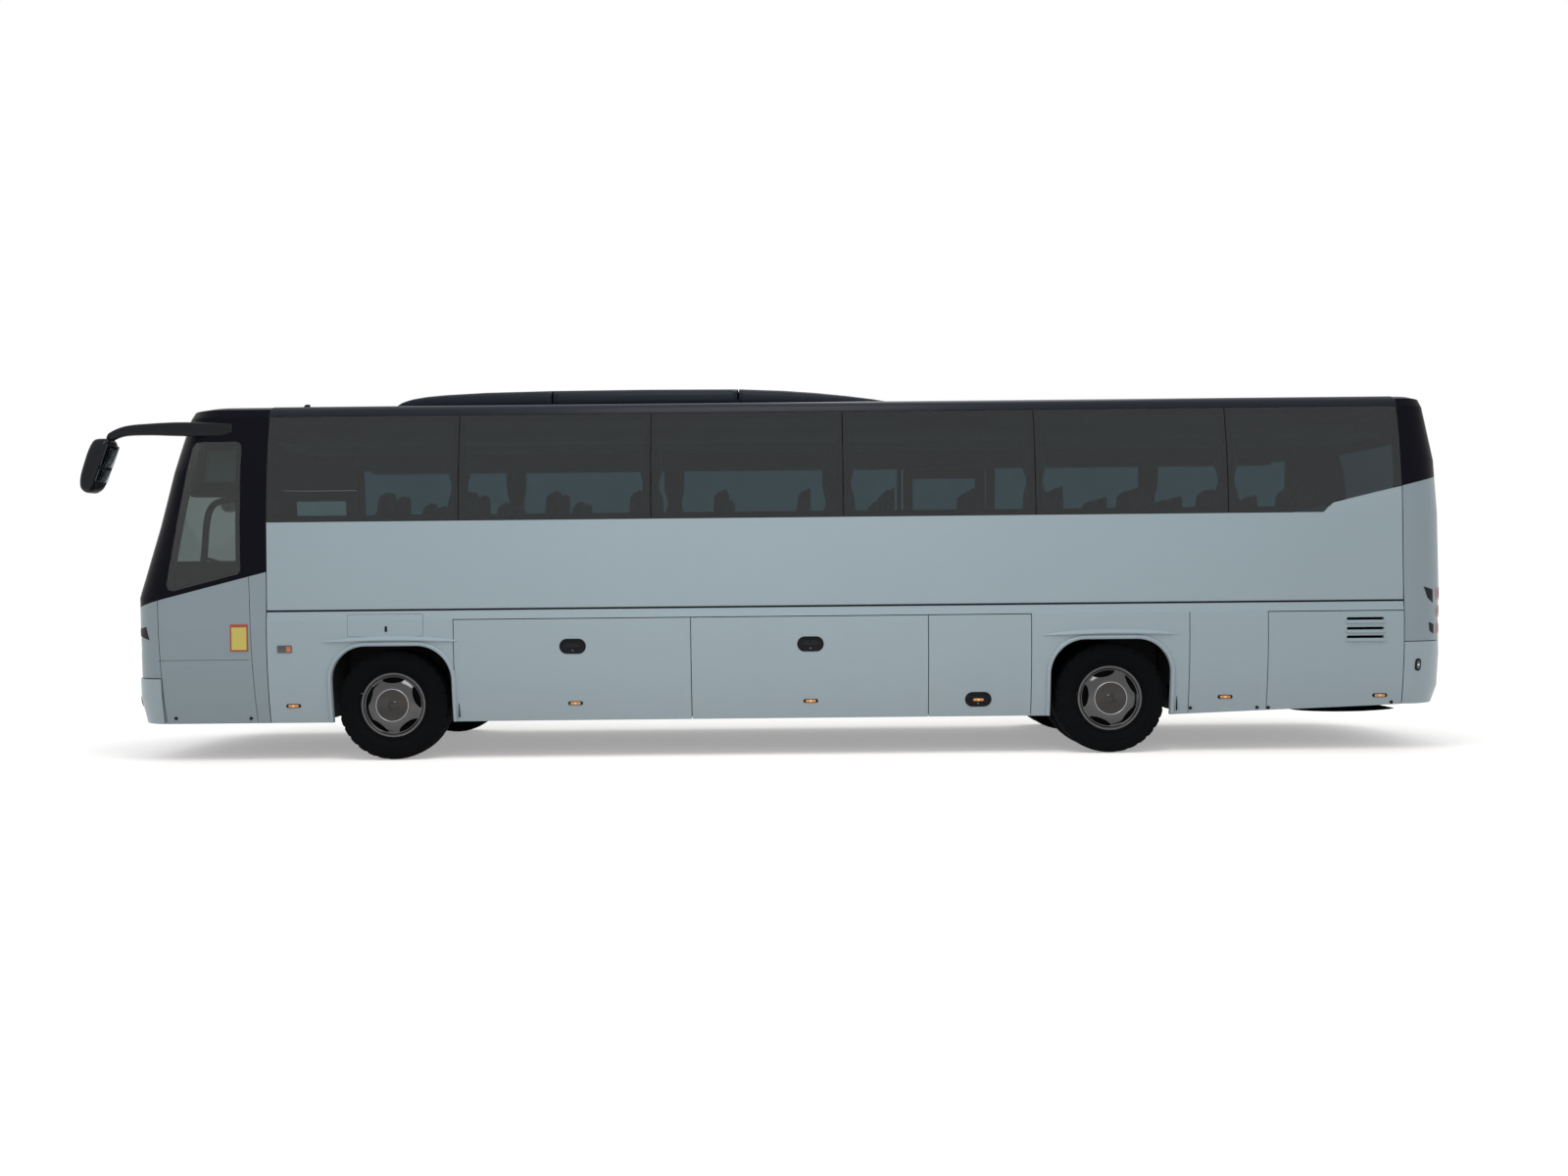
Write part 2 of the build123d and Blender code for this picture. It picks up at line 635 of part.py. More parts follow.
def lower_panels():
    """The fixed panels below the sill, with the sill strip and both wheel arches."""
    sides = []
    for side in (LEFT, RIGHT):
        x0, x1 = X_MASK + SHUT_GAP / 2, X_TAIL_JOINT - SHUT_GAP / 2
        strip = wall_piece(x0, x1, Z_FLAP_TOP, Z_SILL, 0, T_FLAP, side)
        fixed = [
            (x0, LUGGAGE_JOINTS[0] - SHUT_GAP / 2),
            (LOCKER_END + SHUT_GAP / 2, REAR_ARCH_END - SHUT_GAP / 2),
            (REAR_ARCH_END + SHUT_GAP / 2, ENGINE_PANEL_START - SHUT_GAP / 2),
        ]
        for start, end in fixed:
            strip += wall_piece(start, end, Z_SKIRT, Z_FLAP_TOP, 0, T_FLAP, side)
        for x_axle in (X_FRONT, X_REAR):
            lip = wall_piece(
                x_axle - ARCH_HALF - LIP_WIDTH, x_axle + ARCH_HALF + LIP_WIDTH,
                Z_SKIRT, Z_FLAP_TOP, -LIP_RISE, T_FLAP / 2, side,
            )
            strip += lip & arch(x_axle, LIP_WIDTH)
            strip -= arch(x_axle)
        strip -= skirt_sweep()
        if side == LEFT:
            x_start, x_end, z_low, z_top = FUEL_FLAP
            ledge = FUEL_LEDGE
            strip -= side_prism(
                x_start + ledge, x_end - ledge, z_low + ledge, z_top - ledge, 20, side, HALF - 100, HALF + 50
            )
            recess = wall_piece(x_start - 50, x_end + 50, z_low - 50, z_top + 50, -LIP_RISE, T_SHEET + REST_GAP, side)
            strip -= recess & side_prism(
                x_start - 3, x_end + 3, z_low - 3, z_top + 3, 22, side, HALF - 100, HALF + 50
            )
        else:
            strip -= on_side(
                side, MIDDLE_DOOR[0] - SHUT_GAP, MIDDLE_DOOR[1] + SHUT_GAP, HALF - 300,
                HALF + 100, 0, DOOR_TOP,
            )
        sides.append(strip)
    return sides


def fuel_flap():
    x_start, x_end, z_low, z_top = FUEL_FLAP
    panel = wall_piece(x_start, x_end, z_low, z_top, 0, T_SHEET, LEFT)
    return panel & side_prism(x_start, x_end, z_low, z_top, 20, LEFT, HALF - 100, HALF + 50)


def front_door_leaf():
    hole = (FRONT_DOOR, FRONT_DOOR_TOP)
    leaf = (NOSE_SKIN & front_door_prism(0)) - NOSE_BACK
    leaf -= (front_door_prism(0) & door_glass_hole(*hole, REST_GAP)) - NOSE_REBATE
    return leaf - door_glass_hole(*hole, -30) + door_lug(FRONT_DOOR)


DOOR_FRAME = 85
DOOR_GLASS_LOW = 1300


def door_glass_hole(span, top, grow):
    return side_prism(
        span[0] + DOOR_FRAME - grow, span[1] - DOOR_FRAME + grow, DOOR_GLASS_LOW - grow,
        top - DOOR_FRAME + grow, 50 + grow, RIGHT, HALF - 500, HALF + 100,
    )


def front_door_glass():
    return (NOSE_SKIN & door_glass_hole(FRONT_DOOR, FRONT_DOOR_TOP, 0)) - NOSE_GLASS_BACK


def middle_door_leaf():
    x0, x1 = MIDDLE_DOOR
    leaf = wall_piece(x0, x1, DOOR_LOW, DOOR_TOP, 0, T_WALL, RIGHT)
    rebate = wall_piece(x0, x1, DOOR_LOW, DOOR_TOP, 0, T_GLASS + REST_GAP, RIGHT)
    leaf -= rebate & door_glass_hole(MIDDLE_DOOR, DOOR_TOP, REST_GAP)
    return leaf - door_glass_hole(MIDDLE_DOOR, DOOR_TOP, -30) + door_lug(MIDDLE_DOOR)


def middle_door_glass():
    x0, x1 = MIDDLE_DOOR
    return wall_piece(x0, x1, DOOR_LOW, DOOR_TOP, 0, T_GLASS, RIGHT) & door_glass_hole(
        MIDDLE_DOOR, DOOR_TOP, 0
    )


# ---------------------------------------------------------------- floor and frame
FLOOR_THICK = 60
FLOOR_HALF = HALF - T_WALL - 25
CAB_FLOOR = 1050
CAB_FLOOR_FRONT = X_NOSE + 190
CAB_SPLIT = 330                # the entry lies to the right of this
STEP_OUTER = half_width(Z_SKIRT) - T_WALL - 8
STEP_TREADS = [(950, STEP_OUTER, 400), (750, 950, 640), (550, 750, 860)]   # inner y, outer y, z
STEP_THICK = 40
HOLD_FLOOR = 500
BULKHEAD = 30
RISER_THICK = 16
WHEELHOUSE_HALF = 650
WHEELHOUSE_TOP = 1104
STAIR_X = (MIDDLE_DOOR[0] + 40, MIDDLE_DOOR[1] - 40)
STAIR_Y = 640                  # top step's inner edge
STAIR_GOING = 105
STAIR_STEPS = 5


def saloon_floor():
    """Boards of the saloon, the cab's floor, its step up to the saloon and the rear end."""
    z_low = Z_SILL - FLOOR_THICK
    x_start, x_end = X_MASK + STEP_THICK, X_TAIL_JOINT
    boards = [
        block(x_start, STAIR_X[0], -FLOOR_HALF, FLOOR_HALF, z_low, Z_SILL),
        block(STAIR_X[0], STAIR_X[1], -FLOOR_HALF, STAIR_Y, z_low, Z_SILL),
        block(STAIR_X[1], x_end, -FLOOR_HALF, FLOOR_HALF, z_low, Z_SILL),
        block(x_end, X_TAIL, -HALF, HALF, z_low, Z_SILL) & tail(T_WALL + REST_GAP),
    ]
    cab_half = half_width(CAB_FLOOR) - T_WALL - 25
    cab_low = CAB_FLOOR - STEP_THICK
    inside = nose(T_WALL + REST_GAP)
    x_riser = X_MASK - STEP_THICK / 2
    boards += [
        block(X_NOSE, x_riser, -HALF, CAB_SPLIT, cab_low, CAB_FLOOR) & inside,
        block(X_NOSE, FRONT_DOOR[0], CAB_SPLIT, HALF, cab_low, CAB_FLOOR) & inside,
        block(x_riser, x_start, -cab_half, cab_half, cab_low, Z_SILL),
    ]
    return boards


def entry_steps():
    """Plates of the front entry: landing, three treads and the risers between them."""
    x0, x1 = FRONT_DOOR[0] + 30, FRONT_DOOR[1] - 10
    under = CAB_FLOOR - STEP_THICK
    plates = [block(x0, X_MASK - STEP_THICK / 2, CAB_SPLIT, STEP_TREADS[-1][0], under, CAB_FLOOR)]
    for inner, outer, z in reversed(STEP_TREADS):
        plates.append(block(x0, x1, inner, outer, z - STEP_THICK, z))
        plates.append(block(x0, x1, inner - RISER_THICK, inner, z - STEP_THICK, under))
        under = z - STEP_THICK
    return plates


def middle_stair():
    """Five steps from the middle doorway up to the saloon, each with its riser."""
    rise = (Z_SILL - DOOR_LOW) / STAIR_STEPS
    stair = None
    for row in range(STAIR_STEPS):
        y0, y1 = STAIR_Y + STAIR_GOING * row, STAIR_Y + STAIR_GOING * (row + 1)
        z = Z_SILL - rise * (row + 1)
        tread = block(*STAIR_X, y0, y1, z - STEP_THICK / 2, z)
        tread += block(*STAIR_X, y0, y0 + RISER_THICK, z, z + rise)
        stair = tread if stair is None else stair + tread
    return stair


RAIL_HALF = 430
RAIL_WIDTH = 80
FRONT_RAIL_Z = (700, 860)
REAR_RAIL_Z = (760, 900)
HOLD_START = LUGGAGE_JOINTS[0] + 130
HOLD_END = LOCKER_END - 40
WELL_FRONT = MIDDLE_DOOR[0] - 20
WELL_INNER = 600
WHEELHOUSE_INNER = 560
WHEELHOUSE_LOW = 820
WHEELHOUSE_FOOT = 385
# centre, half length, rail heights
CROSS_MEMBERS = [
    (CAB_FLOOR_FRONT + 100, RAIL_HALF, FRONT_RAIL_Z), (X_FRONT - 1000, RAIL_HALF, FRONT_RAIL_Z),
    (X_FRONT - 460, WHEELHOUSE_INNER, FRONT_RAIL_Z),
    (X_FRONT + 380, WHEELHOUSE_INNER, FRONT_RAIL_Z),
    (X_REAR - 420, WHEELHOUSE_INNER, REAR_RAIL_Z),
    (X_REAR + 380, WHEELHOUSE_INNER, REAR_RAIL_Z), (X_REAR + 1200, RAIL_HALF, REAR_RAIL_Z),
]


def inside_panels():
    """The room between the lower panels, as a solid as long as the body."""
    plane = Plane(origin=(X_MASK - 300, 0, 0), x_dir=(0, 1, 0), z_dir=(1, 0, 0))
    return extrude(plane * section_face(T_FLAP + REST_GAP, 0), amount=X_TAIL - X_MASK + 300)


def wheelhouse(x_axle, side):
    """Sheet box over one wheel, with posts up to the floor."""
    inner, outer = WHEELHOUSE_INNER, HALF
    x0, x1 = x_axle - WHEELHOUSE_HALF, x_axle + WHEELHOUSE_HALF
    top = WHEELHOUSE_TOP + T_SHEET
    house = on_side(side, x0, x1, inner, outer, WHEELHOUSE_TOP, top)
    house += on_side(side, x0, x0 + T_SHEET, inner, outer, WHEELHOUSE_FOOT, top)
    house += on_side(side, x1 - T_SHEET, x1, inner, outer, WHEELHOUSE_FOOT, top)
    house += on_side(side, x0, x1, inner, inner + T_SHEET, WHEELHOUSE_LOW, top)
    for x_post in (x0 + 60, x1 - 100):
        house += on_side(side, x_post, x_post + 40, inner + 20, inner + 60, WHEELHOUSE_TOP, Z_SILL - FLOOR_THICK)
    return house & inside_panels()


def wheelhouses():
    """Four wheelhouses; the one behind the middle doorway carries its arm's post."""
    houses = [wheelhouse(x_axle, side) for x_axle in (X_FRONT, X_REAR) for side in (LEFT, RIGHT)]
    x_pivot, y_pivot = door_pivot(MIDDLE_DOOR)
    top = WHEELHOUSE_TOP + T_SHEET
    bracket = block(
        x_pivot, X_REAR - WHEELHOUSE_HALF + 200, y_pivot - 15, y_pivot + 15, top, ARM_Z[0] - 30
    )
    houses[-1] += bracket + door_post(MIDDLE_DOOR)
    return houses


def luggage_hold():
    """Plates of the hold: its floor, four bulkheads and the wall beside the middle entry."""
    z_top, z_floor = Z_SILL - FLOOR_THICK, HOLD_FLOOR + BULKHEAD
    x_start, x_end = HOLD_START - BULKHEAD / 2, HOLD_END + BULKHEAD / 2
    plates = [
        block(x_start, WELL_FRONT, -HALF, HALF, HOLD_FLOOR, z_floor),
        block(WELL_FRONT, x_end, -HALF, WELL_INNER, HOLD_FLOOR, z_floor),
        block(WELL_FRONT, x_end - BULKHEAD, WELL_INNER - BULKHEAD, WELL_INNER, z_floor, z_top),
        block(x_end - BULKHEAD, x_end, -HALF, WELL_INNER, z_floor, z_top),
    ]
    for x_wall in (x_start, LUGGAGE_JOINTS[1] - BULKHEAD / 2, WELL_FRONT - BULKHEAD):
        plates.append(block(x_wall, x_wall + BULKHEAD, -HALF, HALF, z_floor, z_top))
    inside = inside_panels()
    return [plate & inside for plate in plates]


def underframe():
    """Rails and cross members ahead of the hold and behind it, with both end beams."""
    z_top = Z_SILL - FLOOR_THICK
    y0, y1 = RAIL_HALF - RAIL_WIDTH / 2, RAIL_HALF + RAIL_WIDTH / 2
    frame = None
    for side in (LEFT, RIGHT):
        rail = on_side(side, CAB_FLOOR_FRONT, HOLD_START - BULKHEAD / 2, y0, y1, *FRONT_RAIL_Z)
        frame = rail if frame is None else frame + rail
        frame += on_side(side, HOLD_END + BULKHEAD / 2, X_TAIL - 200, y0, y1, *REAR_RAIL_Z)
        post_x = X_FRONT - 1000
        frame += on_side(side, post_x - 40, post_x + 40, y0, y1, FRONT_RAIL_Z[0], CAB_FLOOR - STEP_THICK)
        frame += on_side(side, X_REAR + 1160, X_REAR + 1240, y0, y1, REAR_RAIL_Z[0], z_top)
        for x_rib in (X_REAR + 1000, ENGINE_PANEL_START + 60, X_TAIL_JOINT - 60):
            frame += on_side(side, x_rib - 15, x_rib + 15, y0, HALF, REAR_RAIL_Z[0], z_top)
    for x_cross, half, (z0, z1) in CROSS_MEMBERS:
        frame += block(x_cross - 40, x_cross + 40, -half, half, z0, z1)
    frame &= inside_panels() + block(X_NOSE, X_MASK, -800, 800, 0, z_top)
    frame += block(X_NOSE, CAB_FLOOR_FRONT + 20, -900, 900, *FRONT_RAIL_Z) & nose(T_WALL + REST_GAP)
    frame += block(X_TAIL - 210, X_TAIL, -900, 900, *REAR_RAIL_Z) & tail(T_WALL + REST_GAP)
    return frame


def towing_sockets():
    """Tubes that take a towing eye's shank, each hung by a plate from an end beam."""
    sockets = []
    for centre, z_beam in ((FRONT_SOCKET, FRONT_RAIL_Z[0]), (REAR_SOCKET, REAR_RAIL_Z[0])):
        x, y, z = centre
        plate = block(x - 30, x + 30, y - 10, y + 10, z + SOCKET_BORE, z_beam)
        tube = cylinder_along("x", centre, SOCKET_RADIUS, SOCKET_LENGTH)
        sockets.append(tube + plate - cylinder_along("x", centre, SOCKET_BORE, SOCKET_LENGTH + 2))
    return sockets


# ---------------------------------------------------------------- running gear
BEAM_DROP = 60                 # axle beam below the wheel centres
FRONT_ROD = 560                # reach of the front axle's rods
SPRING_REACH = 400             # front air springs ahead of the axle
REAR_ROD = 700                 # reach of the rear axle's rods
SPINDLE_RADIUS = 45
KINGPIN_RADIUS = 24
EYE_HALF = 60                  # half height of the kingpin eye
AXLE_Z = TYRE_RADIUS


def front_axle():
    beam = block(
        X_FRONT - 45, X_FRONT + 45, -KINGPIN_HALF + 150, KINGPIN_HALF - 150,
        AXLE_Z - BEAM_DROP - 120, AXLE_Z - BEAM_DROP - 90,
    )
    beam += block(
        X_FRONT - 45, X_FRONT + 45, -KINGPIN_HALF + 150, KINGPIN_HALF - 150,
        AXLE_Z - BEAM_DROP - 15, AXLE_Z - BEAM_DROP + 15,
    )
    beam += block(
        X_FRONT - 12, X_FRONT + 12, -KINGPIN_HALF + 150, KINGPIN_HALF - 150,
        AXLE_Z - BEAM_DROP - 110, AXLE_Z - BEAM_DROP + 10,
    )
    for side in (LEFT, RIGHT):
        pin = (X_FRONT, side * KINGPIN_HALF, AXLE_Z)
        beam += cylinder_along("z", pin, 52, 2 * EYE_HALF)
        beam += cylinder_along("z", pin, KINGPIN_RADIUS, 2 * EYE_HALF + 110)
        beam += on_side(
            side, X_FRONT - 40, X_FRONT + 40, KINGPIN_HALF - 200, KINGPIN_HALF - 130,
            AXLE_Z - BEAM_DROP - 120, AXLE_Z + 45,
        )
        beam += on_side(
            side, X_FRONT - 38, X_FRONT + 38, KINGPIN_HALF - 140, KINGPIN_HALF - 20, AXLE_Z - 50, AXLE_Z + 45
        )
        for x_far in (X_FRONT - FRONT_ROD, X_FRONT + FRONT_ROD):
            beam += block(
                min(x_far, X_FRONT), max(x_far, X_FRONT), side * (RAIL_HALF - 25), side * (RAIL_HALF + 25),
                AXLE_Z - BEAM_DROP - 100, AXLE_Z - BEAM_DROP - 40,
            )
            beam += on_side(
                side, x_far - 25, x_far + 25, RAIL_HALF - 25, RAIL_HALF + 25, AXLE_Z - BEAM_DROP - 100,
                FRONT_RAIL_Z[0] - REST_GAP,
            )
        beam += Pos(X_FRONT - SPRING_REACH, side * RAIL_HALF, AXLE_Z - BEAM_DROP - 45) * Cylinder(80, 10)
    return beam


def knuckle(side):
    """Steering knuckle: two ears on the kingpin, a web outboard of the eye and the stub axle."""
    y = side * KINGPIN_HALF
    web_in, web_out = 62, WEB_REACH
    ear = EYE_HALF + 6
    piece = on_side(
        side, X_FRONT - 55, X_FRONT + 55, KINGPIN_HALF + web_in, KINGPIN_HALF + web_out,
        AXLE_Z - ear - 40, AXLE_Z + ear + 40,
    )
    for z0, z1 in ((AXLE_Z + ear, AXLE_Z + ear + 40), (AXLE_Z - ear - 40, AXLE_Z - ear)):
        piece += on_side(side, X_FRONT - 50, X_FRONT + 50, KINGPIN_HALF, KINGPIN_HALF + web_in + 10, z0, z1)
        piece += cylinder_along("z", (X_FRONT, y, (z0 + z1) / 2), 50, 40)
    piece -= cylinder_along("z", (X_FRONT, y, AXLE_Z), KINGPIN_RADIUS + 0.05, 400)
    spindle_end = TRACK_HALF + 85
    start = KINGPIN_HALF + web_out - 10
    piece += cylinder_along(
        "y", (X_FRONT, side * (start + spindle_end) / 2, AXLE_Z), SPINDLE_RADIUS, spindle_end - start
    )
    arm = on_side(side, X_FRONT + 40, X_FRONT + 210, KINGPIN_HALF + 40, KINGPIN_HALF + 80,
                  AXLE_Z - ear - 40, AXLE_Z - ear - 10)
    return piece + arm


def rear_axle():
    housing = Pos(X_REAR, 0, AXLE_Z) * Sphere(215)
    housing += cylinder_along("y", (X_REAR, 0, AXLE_Z), 75, 2 * (TRACK_HALF - TWIN_PITCH - 200))
    housing += cylinder_along("y", (X_REAR, 0, AXLE_Z), SPINDLE_RADIUS, 2 * (TRACK_HALF + 40))
    housing += cylinder_along("x", (X_REAR + 240, 0, AXLE_Z + 20), 70, 260)
    for side in (LEFT, RIGHT):
        for x_far in (X_REAR - REAR_ROD, X_REAR + REAR_ROD):
            housing += block(
                min(x_far, X_REAR), max(x_far, X_REAR), side * (RAIL_HALF - 30), side * (RAIL_HALF + 30),
                AXLE_Z - 150, AXLE_Z - 70,
            )
            housing += on_side(
                side, x_far - 30, x_far + 30, RAIL_HALF - 30, RAIL_HALF + 30, AXLE_Z - 150,
                REAR_RAIL_Z[0] - REST_GAP,
            )
        housing += on_side(side, X_REAR - 60, X_REAR + 60, RAIL_HALF - 30, RAIL_HALF + 30, AXLE_Z - 150, AXLE_Z)
    return housing


def air_springs():
    springs = []
    for x_axle, reach, y, z_foot, z_head in SPRING_TABLE:
        for side in (LEFT, RIGHT):
            height = z_head - z_foot
            ring = height / 4
            bellows = make_face([
                Line((0, z_foot), (70, z_foot)),
                ThreePointArc((70, z_foot), (110, z_foot + ring), (85, z_foot + 2 * ring)),
                ThreePointArc((85, z_foot + 2 * ring), (110, z_foot + 3 * ring), (70, z_head)),
                Line((70, z_head), (0, z_head)),
                Line((0, z_head), (0, z_foot)),
            ])
            solid = revolve(Plane.XZ * bellows, Axis.Z)
            springs.append(Pos(x_axle + reach, side * y, 0) * solid)
    return springs


# axle, reach along x, y, foot and head heights
SPRING_TABLE = [
    (X_FRONT, -SPRING_REACH, RAIL_HALF, AXLE_Z - BEAM_DROP - 40 + REST_GAP, FRONT_RAIL_Z[0] - REST_GAP),
    (X_REAR, -480, RAIL_HALF, AXLE_Z - 70 + REST_GAP, REAR_RAIL_Z[0] - REST_GAP),
    (X_REAR, 480, RAIL_HALF, AXLE_Z - 70 + REST_GAP, REAR_RAIL_Z[0] - REST_GAP),
]

BEAD_HALF = 112
FLANGE_RADIUS = RIM_RADIUS + 16
FLANGE_THICK = 9
BARREL_THICK = 14


def tyre_solid():
    """One tyre about the Z axis, its crown shallow, its shoulders round and its walls full."""
    half, crown = TYRE_WIDTH / 2, TYRE_RADIUS
    shoulder = crown - 14
    bulge = (RIM_RADIUS + crown) / 2 - 12
    bead = RIM_RADIUS + REST_GAP
    profile = make_face([
        ThreePointArc((shoulder, -half + 22), (crown, 0), (shoulder, half - 22)),
        ThreePointArc((shoulder, half - 22), (shoulder - 18, half - 8), (shoulder - 40, half - 4)),
        ThreePointArc((shoulder - 40, half - 4), (bulge, half), (FLANGE_RADIUS + 5, BEAD_HALF)),
        Line((FLANGE_RADIUS + 5, BEAD_HALF), (bead, BEAD_HALF)),
        Line((bead, BEAD_HALF), (bead, -BEAD_HALF)),
        Line((bead, -BEAD_HALF), (FLANGE_RADIUS + 5, -BEAD_HALF)),
        ThreePointArc((FLANGE_RADIUS + 5, -BEAD_HALF), (bulge, -half), (shoulder - 40, -half + 4)),
        ThreePointArc((shoulder - 40, -half + 4), (shoulder - 18, -half + 8), (shoulder, -half + 22)),
    ])
    return revolve(Plane.XZ * profile, Axis.Z)


def rim_solid():
    """Rim barrel about the Z axis with its flanges at the tyre's beads."""
    seat = BEAD_HALF + REST_GAP
    half = seat + FLANGE_THICK
    inner = RIM_RADIUS - BARREL_THICK
    profile = make_face(Polyline(
        (RIM_RADIUS, -seat), (FLANGE_RADIUS, -seat), (FLANGE_RADIUS, -half), (inner, -half),
        (inner, half), (FLANGE_RADIUS, half), (FLANGE_RADIUS, seat), (RIM_RADIUS, seat),
        close=True,
    ).edges())
    return revolve(Plane.XZ * profile, Axis.Z)


TRIM_RADIUS = RIM_RADIUS - BARREL_THICK + 4
CAP_RADIUS = 150
CAP_DOME = 22                  # rise of the hub cap's dome
CAP_BUTTON = 24                # radius of the flat at the dome's centre
SLOT_COUNT = 5
DISC_THICK = 16
WEB_REACH = 96                 # knuckle's outer face outboard of the kingpin
HUB_INNER = KINGPIN_HALF + WEB_REACH + 5 - TRACK_HALF


def dome_arc(radius, button, foot, rise):
    """Arc of a domed cap from its rim in to the flat button at its centre."""
    ball = ((radius - button) ** 2 + rise**2) / (2 * rise)
    middle = (radius + button) / 2
    height = foot + rise - ball + sqrt(ball**2 - (middle - button) ** 2)
    return ThreePointArc((radius, foot), (middle, height), (button, foot + rise))


def wheel_solid(inner_offsets):
    """A wheel about the Z axis, outboard up: rims, disc, hub and domed trim with its slots."""
    wheel = rim_solid()
    for offset in inner_offsets:
        wheel += Pos(0, 0, offset) * rim_solid()
        wheel += Pos(0, 0, offset + 40) * Cylinder(TRIM_RADIUS, DISC_THICK)
    disc_z = BEAD_HALF - 40
    hub_low = min(inner_offsets) - 30 if inner_offsets else HUB_INNER
    wheel += Pos(0, 0, (hub_low + disc_z) / 2) * Cylinder(HUB_BORE + 60, disc_z - hub_low)
    rise = BEAD_HALF + 6
    trim = make_face([
        Line((0, disc_z - DISC_THICK), (TRIM_RADIUS, disc_z - DISC_THICK)),
        Line((TRIM_RADIUS, disc_z - DISC_THICK), (TRIM_RADIUS, rise)),
        Line((TRIM_RADIUS, rise), (TRIM_RADIUS - 12, rise)),
        ThreePointArc((TRIM_RADIUS - 12, rise), (215, disc_z + 16), (CAP_RADIUS, disc_z + 22)),
        Line((CAP_RADIUS, disc_z + 22), (CAP_RADIUS - 6, rise + 6)),
        dome_arc(CAP_RADIUS - 6, CAP_BUTTON, rise + 6, CAP_DOME),
        Line((CAP_BUTTON, rise + 6 + CAP_DOME), (0, rise + 6 + CAP_DOME)),
        Line((0, rise + 6 + CAP_DOME), (0, disc_z - DISC_THICK)),
    ])
    wheel += revolve(Plane.XZ * trim, Axis.Z)
    slot = extrude(SlotArc(CenterArc((0, 0), 236, -15, 30), 26), amount=BEAD_HALF)
    for number in range(SLOT_COUNT):
        wheel -= Rot(0, 0, 90 + 360 / SLOT_COUNT * number) * Pos(0, 0, disc_z) * slot
    bore = SPINDLE_RADIUS + SPINDLE_CLEAR
    bore_top = disc_z + 14
    return wheel - Pos(0, 0, (hub_low - 10 + bore_top) / 2) * Cylinder(bore, bore_top - hub_low + 10)


def outboard(solid, x, y, side):
    """Turn a piece drawn about Z so that its outer face looks outboard, and place it."""
    return Pos(x, side * y, AXLE_Z) * Rot(-90 * side, 0, 0) * solid


# ---------------------------------------------------------------- doors' arms
DOOR_ARM = 620
POST_INSET = 45                # post in from the doorway's edge
ARM_SIZE = 44
ARM_Z = (1180, 1224)
DOOR_PIN = 12
EYE_RADIUS = 28
LUG_THICK = 14


def door_pivot(span):
    """Pivot post of a door's swing arm, inside one edge of its doorway."""
    edge = span[0] if ARM_WAYS[span] > 0 else span[1]
    return (edge + ARM_WAYS[span] * POST_INSET, HALF - T_WALL - 70)


def door_arm(span):
    """Swing arm with an eye round the post and an eye round the leaf's pin."""
    x, y = door_pivot(span)
    z0, z1 = ARM_Z
    middle, height = (z0 + z1) / 2, z1 - z0
    x_pin = x + ARM_WAYS[span] * DOOR_ARM
    arm = block(x, x_pin, y - ARM_SIZE / 2, y + ARM_SIZE / 2, z0, z1)
    for x_eye in (x, x_pin):
        arm += Pos(x_eye, y, middle) * Cylinder(EYE_RADIUS, height)
    for x_eye in (x, x_pin):
        arm -= Pos(x_eye, y, middle) * Cylinder(DOOR_PIN + REST_GAP, height + 2)
    return arm


def door_post(span):
    """Fixed pivot post of the arm, with a collar under the arm's eye."""
    x, y = door_pivot(span)
    z0, z1 = ARM_Z
    post = Pos(x, y, (z0 + z1) / 2) * Cylinder(DOOR_PIN, z1 - z0 + 120)
    return post + Pos(x, y, z0 - REST_GAP - 30) * Cylinder(EYE_RADIUS, 60)


def door_lug(span):
    """Pin at the arm's far eye, held to the leaf by a lug above and a lug below."""
    x, y = door_pivot(span)
    z0, z1 = ARM_Z
    x += ARM_WAYS[span] * DOOR_ARM
    lug = Pos(x, y, (z0 + z1) / 2) * Cylinder(DOOR_PIN, z1 - z0 + 2)
    for low in (z1 + REST_GAP, z0 - REST_GAP - LUG_THICK):
        lug += block(x - 25, x + 25, y - 25, HALF - T_WALL + 5, low, low + LUG_THICK)
    return lug


# ---------------------------------------------------------------- fittings
AC_SPANS = [(-70, 1460), (1475, 3275), (3290, 4820)]
AC_HALF = 850
AC_TOP = 3570
AC_FOOT = 3395


